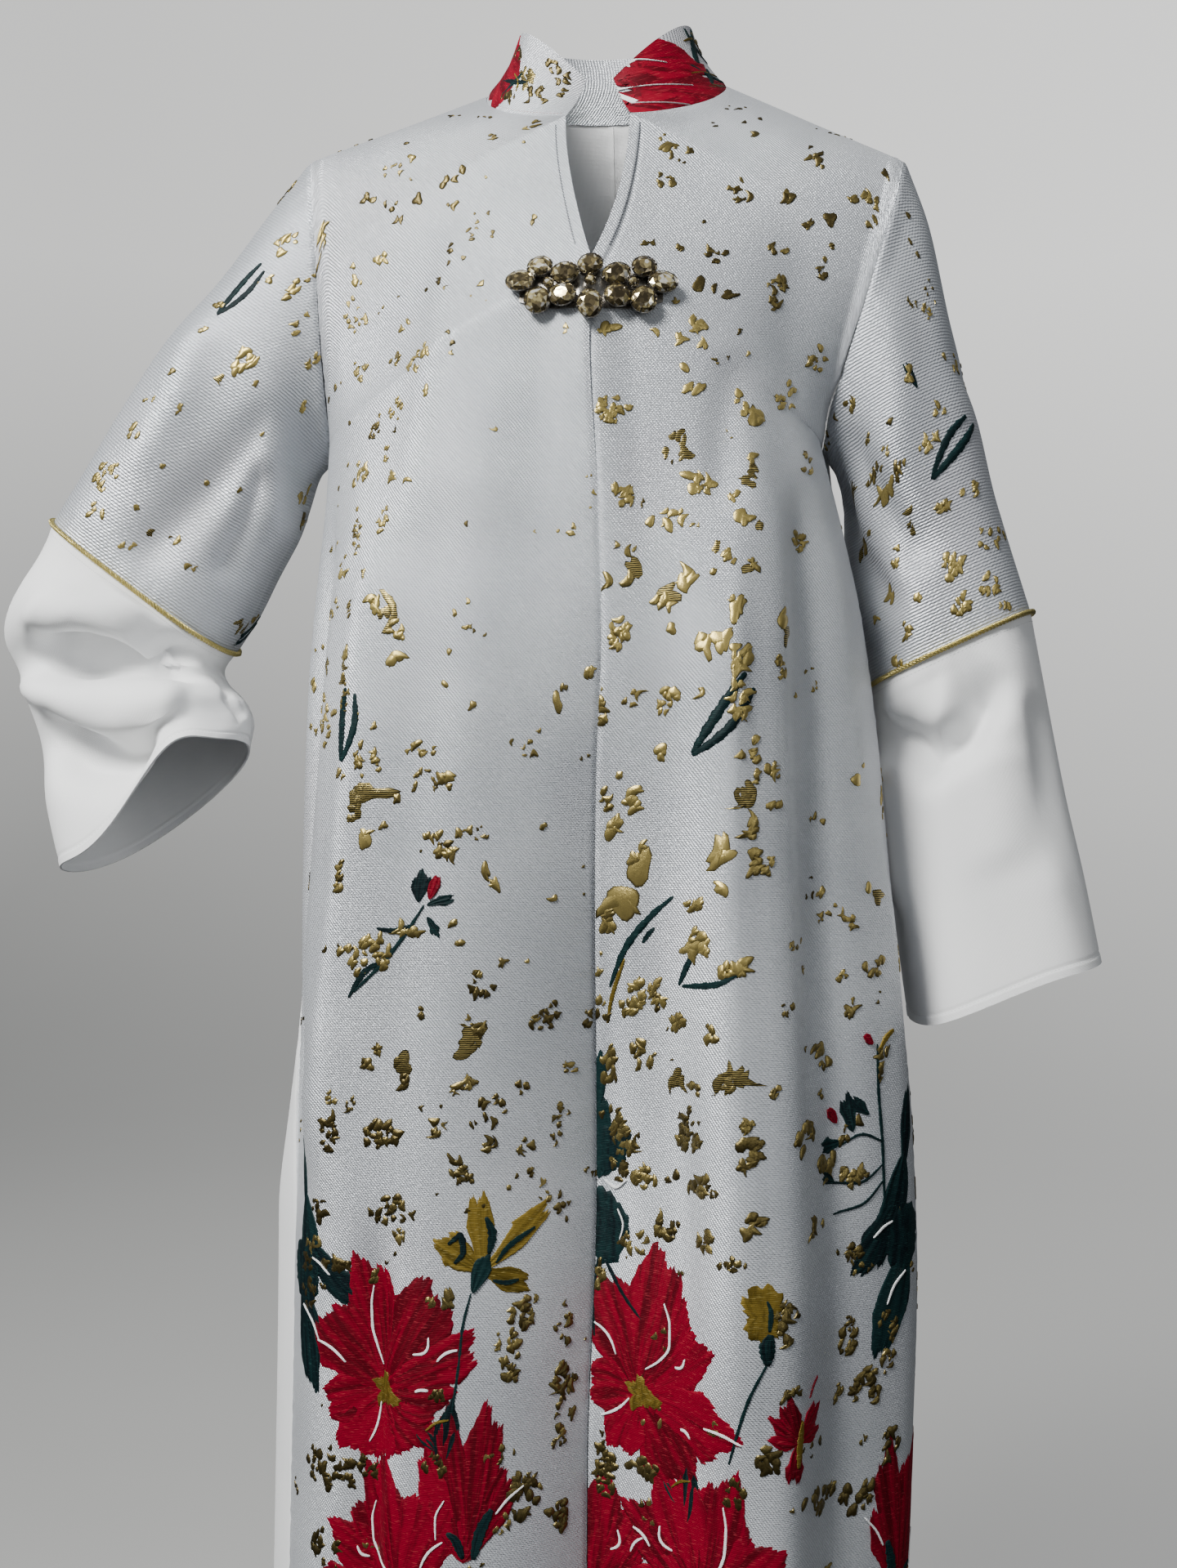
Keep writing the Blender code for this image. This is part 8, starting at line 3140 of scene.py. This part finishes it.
@dataclass
class Studio:
    """Camera, soft lights, and a pale bowl that is wall and floor in one."""

    azimuth: float = 5.6
    distance: float = 1.1
    shift: float = -0.01256
    height: float = -0.4823
    sensor: float = 36.0
    lens: float = 36 * 1926 / 1919
    floor_drop: float = 1.406
    bowl_radius: float = 5.5
    bowl_height: float = 7.0
    bowl_grid: tuple[int, int] = (49, 96)
    room: Colour = (0.92, 0.96, 1.0, 1.0)
    room_levels: tuple[float, ...] = (-0.5, 0.6, 0.04, 0.24)

    def camera(self) -> None:
        """A level camera, turned a little towards the wearer's left."""
        data = bpy.data.cameras.new("camera")
        data.sensor_width = self.sensor
        data.lens = self.lens
        turn = math.radians(self.azimuth)
        forward = np.array((-math.sin(turn), math.cos(turn)))
        right = np.array((math.cos(turn), math.sin(turn)))
        place = right * self.shift - forward * self.distance
        camera = bpy.data.objects.new("camera", data)
        camera.location = (place[0], place[1], self.height)
        camera.rotation_euler = (math.pi / 2, 0.0, turn)
        bpy.context.collection.objects.link(camera)
        bpy.context.scene.camera = camera

    def bowl(self) -> None:
        """A turned bowl: flat floor, wide curve, upright wall.

        With the share of the way up its profile, its radius grows to the power of 0.8 until
        it is full, and its height by a soft step to the power of 1.3.
        """
        rows, columns = self.bowl_grid
        share = np.linspace(0, 1, rows)
        out = self.bowl_radius * np.minimum(share * 2.4, 1.0) ** 0.8
        up = self.bowl_height * ease((share - 0.18) / 0.82) ** 1.3
        turn, level = np.meshgrid(np.linspace(0, 2 * math.pi, columns + 1), np.arange(rows))
        points = xyz(out[level] * np.cos(turn), out[level] * np.sin(turn),
                     up[level] - self.floor_drop)[:, :-1]
        number = closed_up(np.arange(rows * columns).reshape(rows, columns))
        mesh = bpy.data.meshes.new("bowl")
        mesh.from_pydata(points.reshape(-1, 3).tolist(), [], grid_quads(number).tolist())
        mesh.shade_smooth()
        mesh.materials.append(WallPaint().material())
        bowl = bpy.data.objects.new("bowl", mesh)
        bpy.context.collection.objects.link(bowl)
        bowl.visible_diffuse = False
        bowl.visible_glossy = False
        bowl.visible_shadow = False

    def light(self, lamp: Lamp) -> None:
        """Sets up a light, turned to the kaftan's middle.

        Args:
            lamp: The light.
        """
        data = bpy.data.lights.new(lamp.name, "AREA")
        data.shape = "RECTANGLE"
        data.size, data.size_y = lamp.size
        data.energy = lamp.power
        data.color = lamp.colour
        made = bpy.data.objects.new(lamp.name, data)
        made.location = lamp.place
        aim = Vector(LAMP_AIM) - Vector(lamp.place)
        made.rotation_euler = aim.to_track_quat("-Z", "Y").to_euler()
        bpy.context.collection.objects.link(made)

    def lights(self) -> None:
        """A window high on the camera's left, three weak lights, and a room brighter above."""
        world = bpy.data.worlds.new("room")
        world.use_nodes = True
        tree = world.node_tree
        back = tree.nodes["Background"]
        back.inputs[0].default_value = self.room
        place, split, level = (tree.nodes.new("ShaderNode" + kind)
                               for kind in ("TexCoord", "SeparateXYZ", "MapRange"))
        for number, value in enumerate(self.room_levels, start=1):
            level.inputs[number].default_value = value
        tree.links.new(place.outputs[0], split.inputs[0])
        tree.links.new(split.outputs[2], level.inputs[0])
        tree.links.new(level.outputs[0], back.inputs[1])
        bpy.context.scene.world = world
        for lamp in LAMPS:
            self.light(lamp)


def main() -> None:
    """Builds the kaftan's looks."""
    logging.basicConfig(level=logging.INFO, format="%(message)s")
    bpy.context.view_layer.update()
    garment = Garment()
    for side in Side:
        garment.dress_front(side)
        garment.dress_back(side)
        garment.dress_arm(side)
    garment.dress_neck()
    studio = Studio()
    studio.camera()
    studio.bowl()
    studio.lights()


if __name__ == "__main__":
    main()
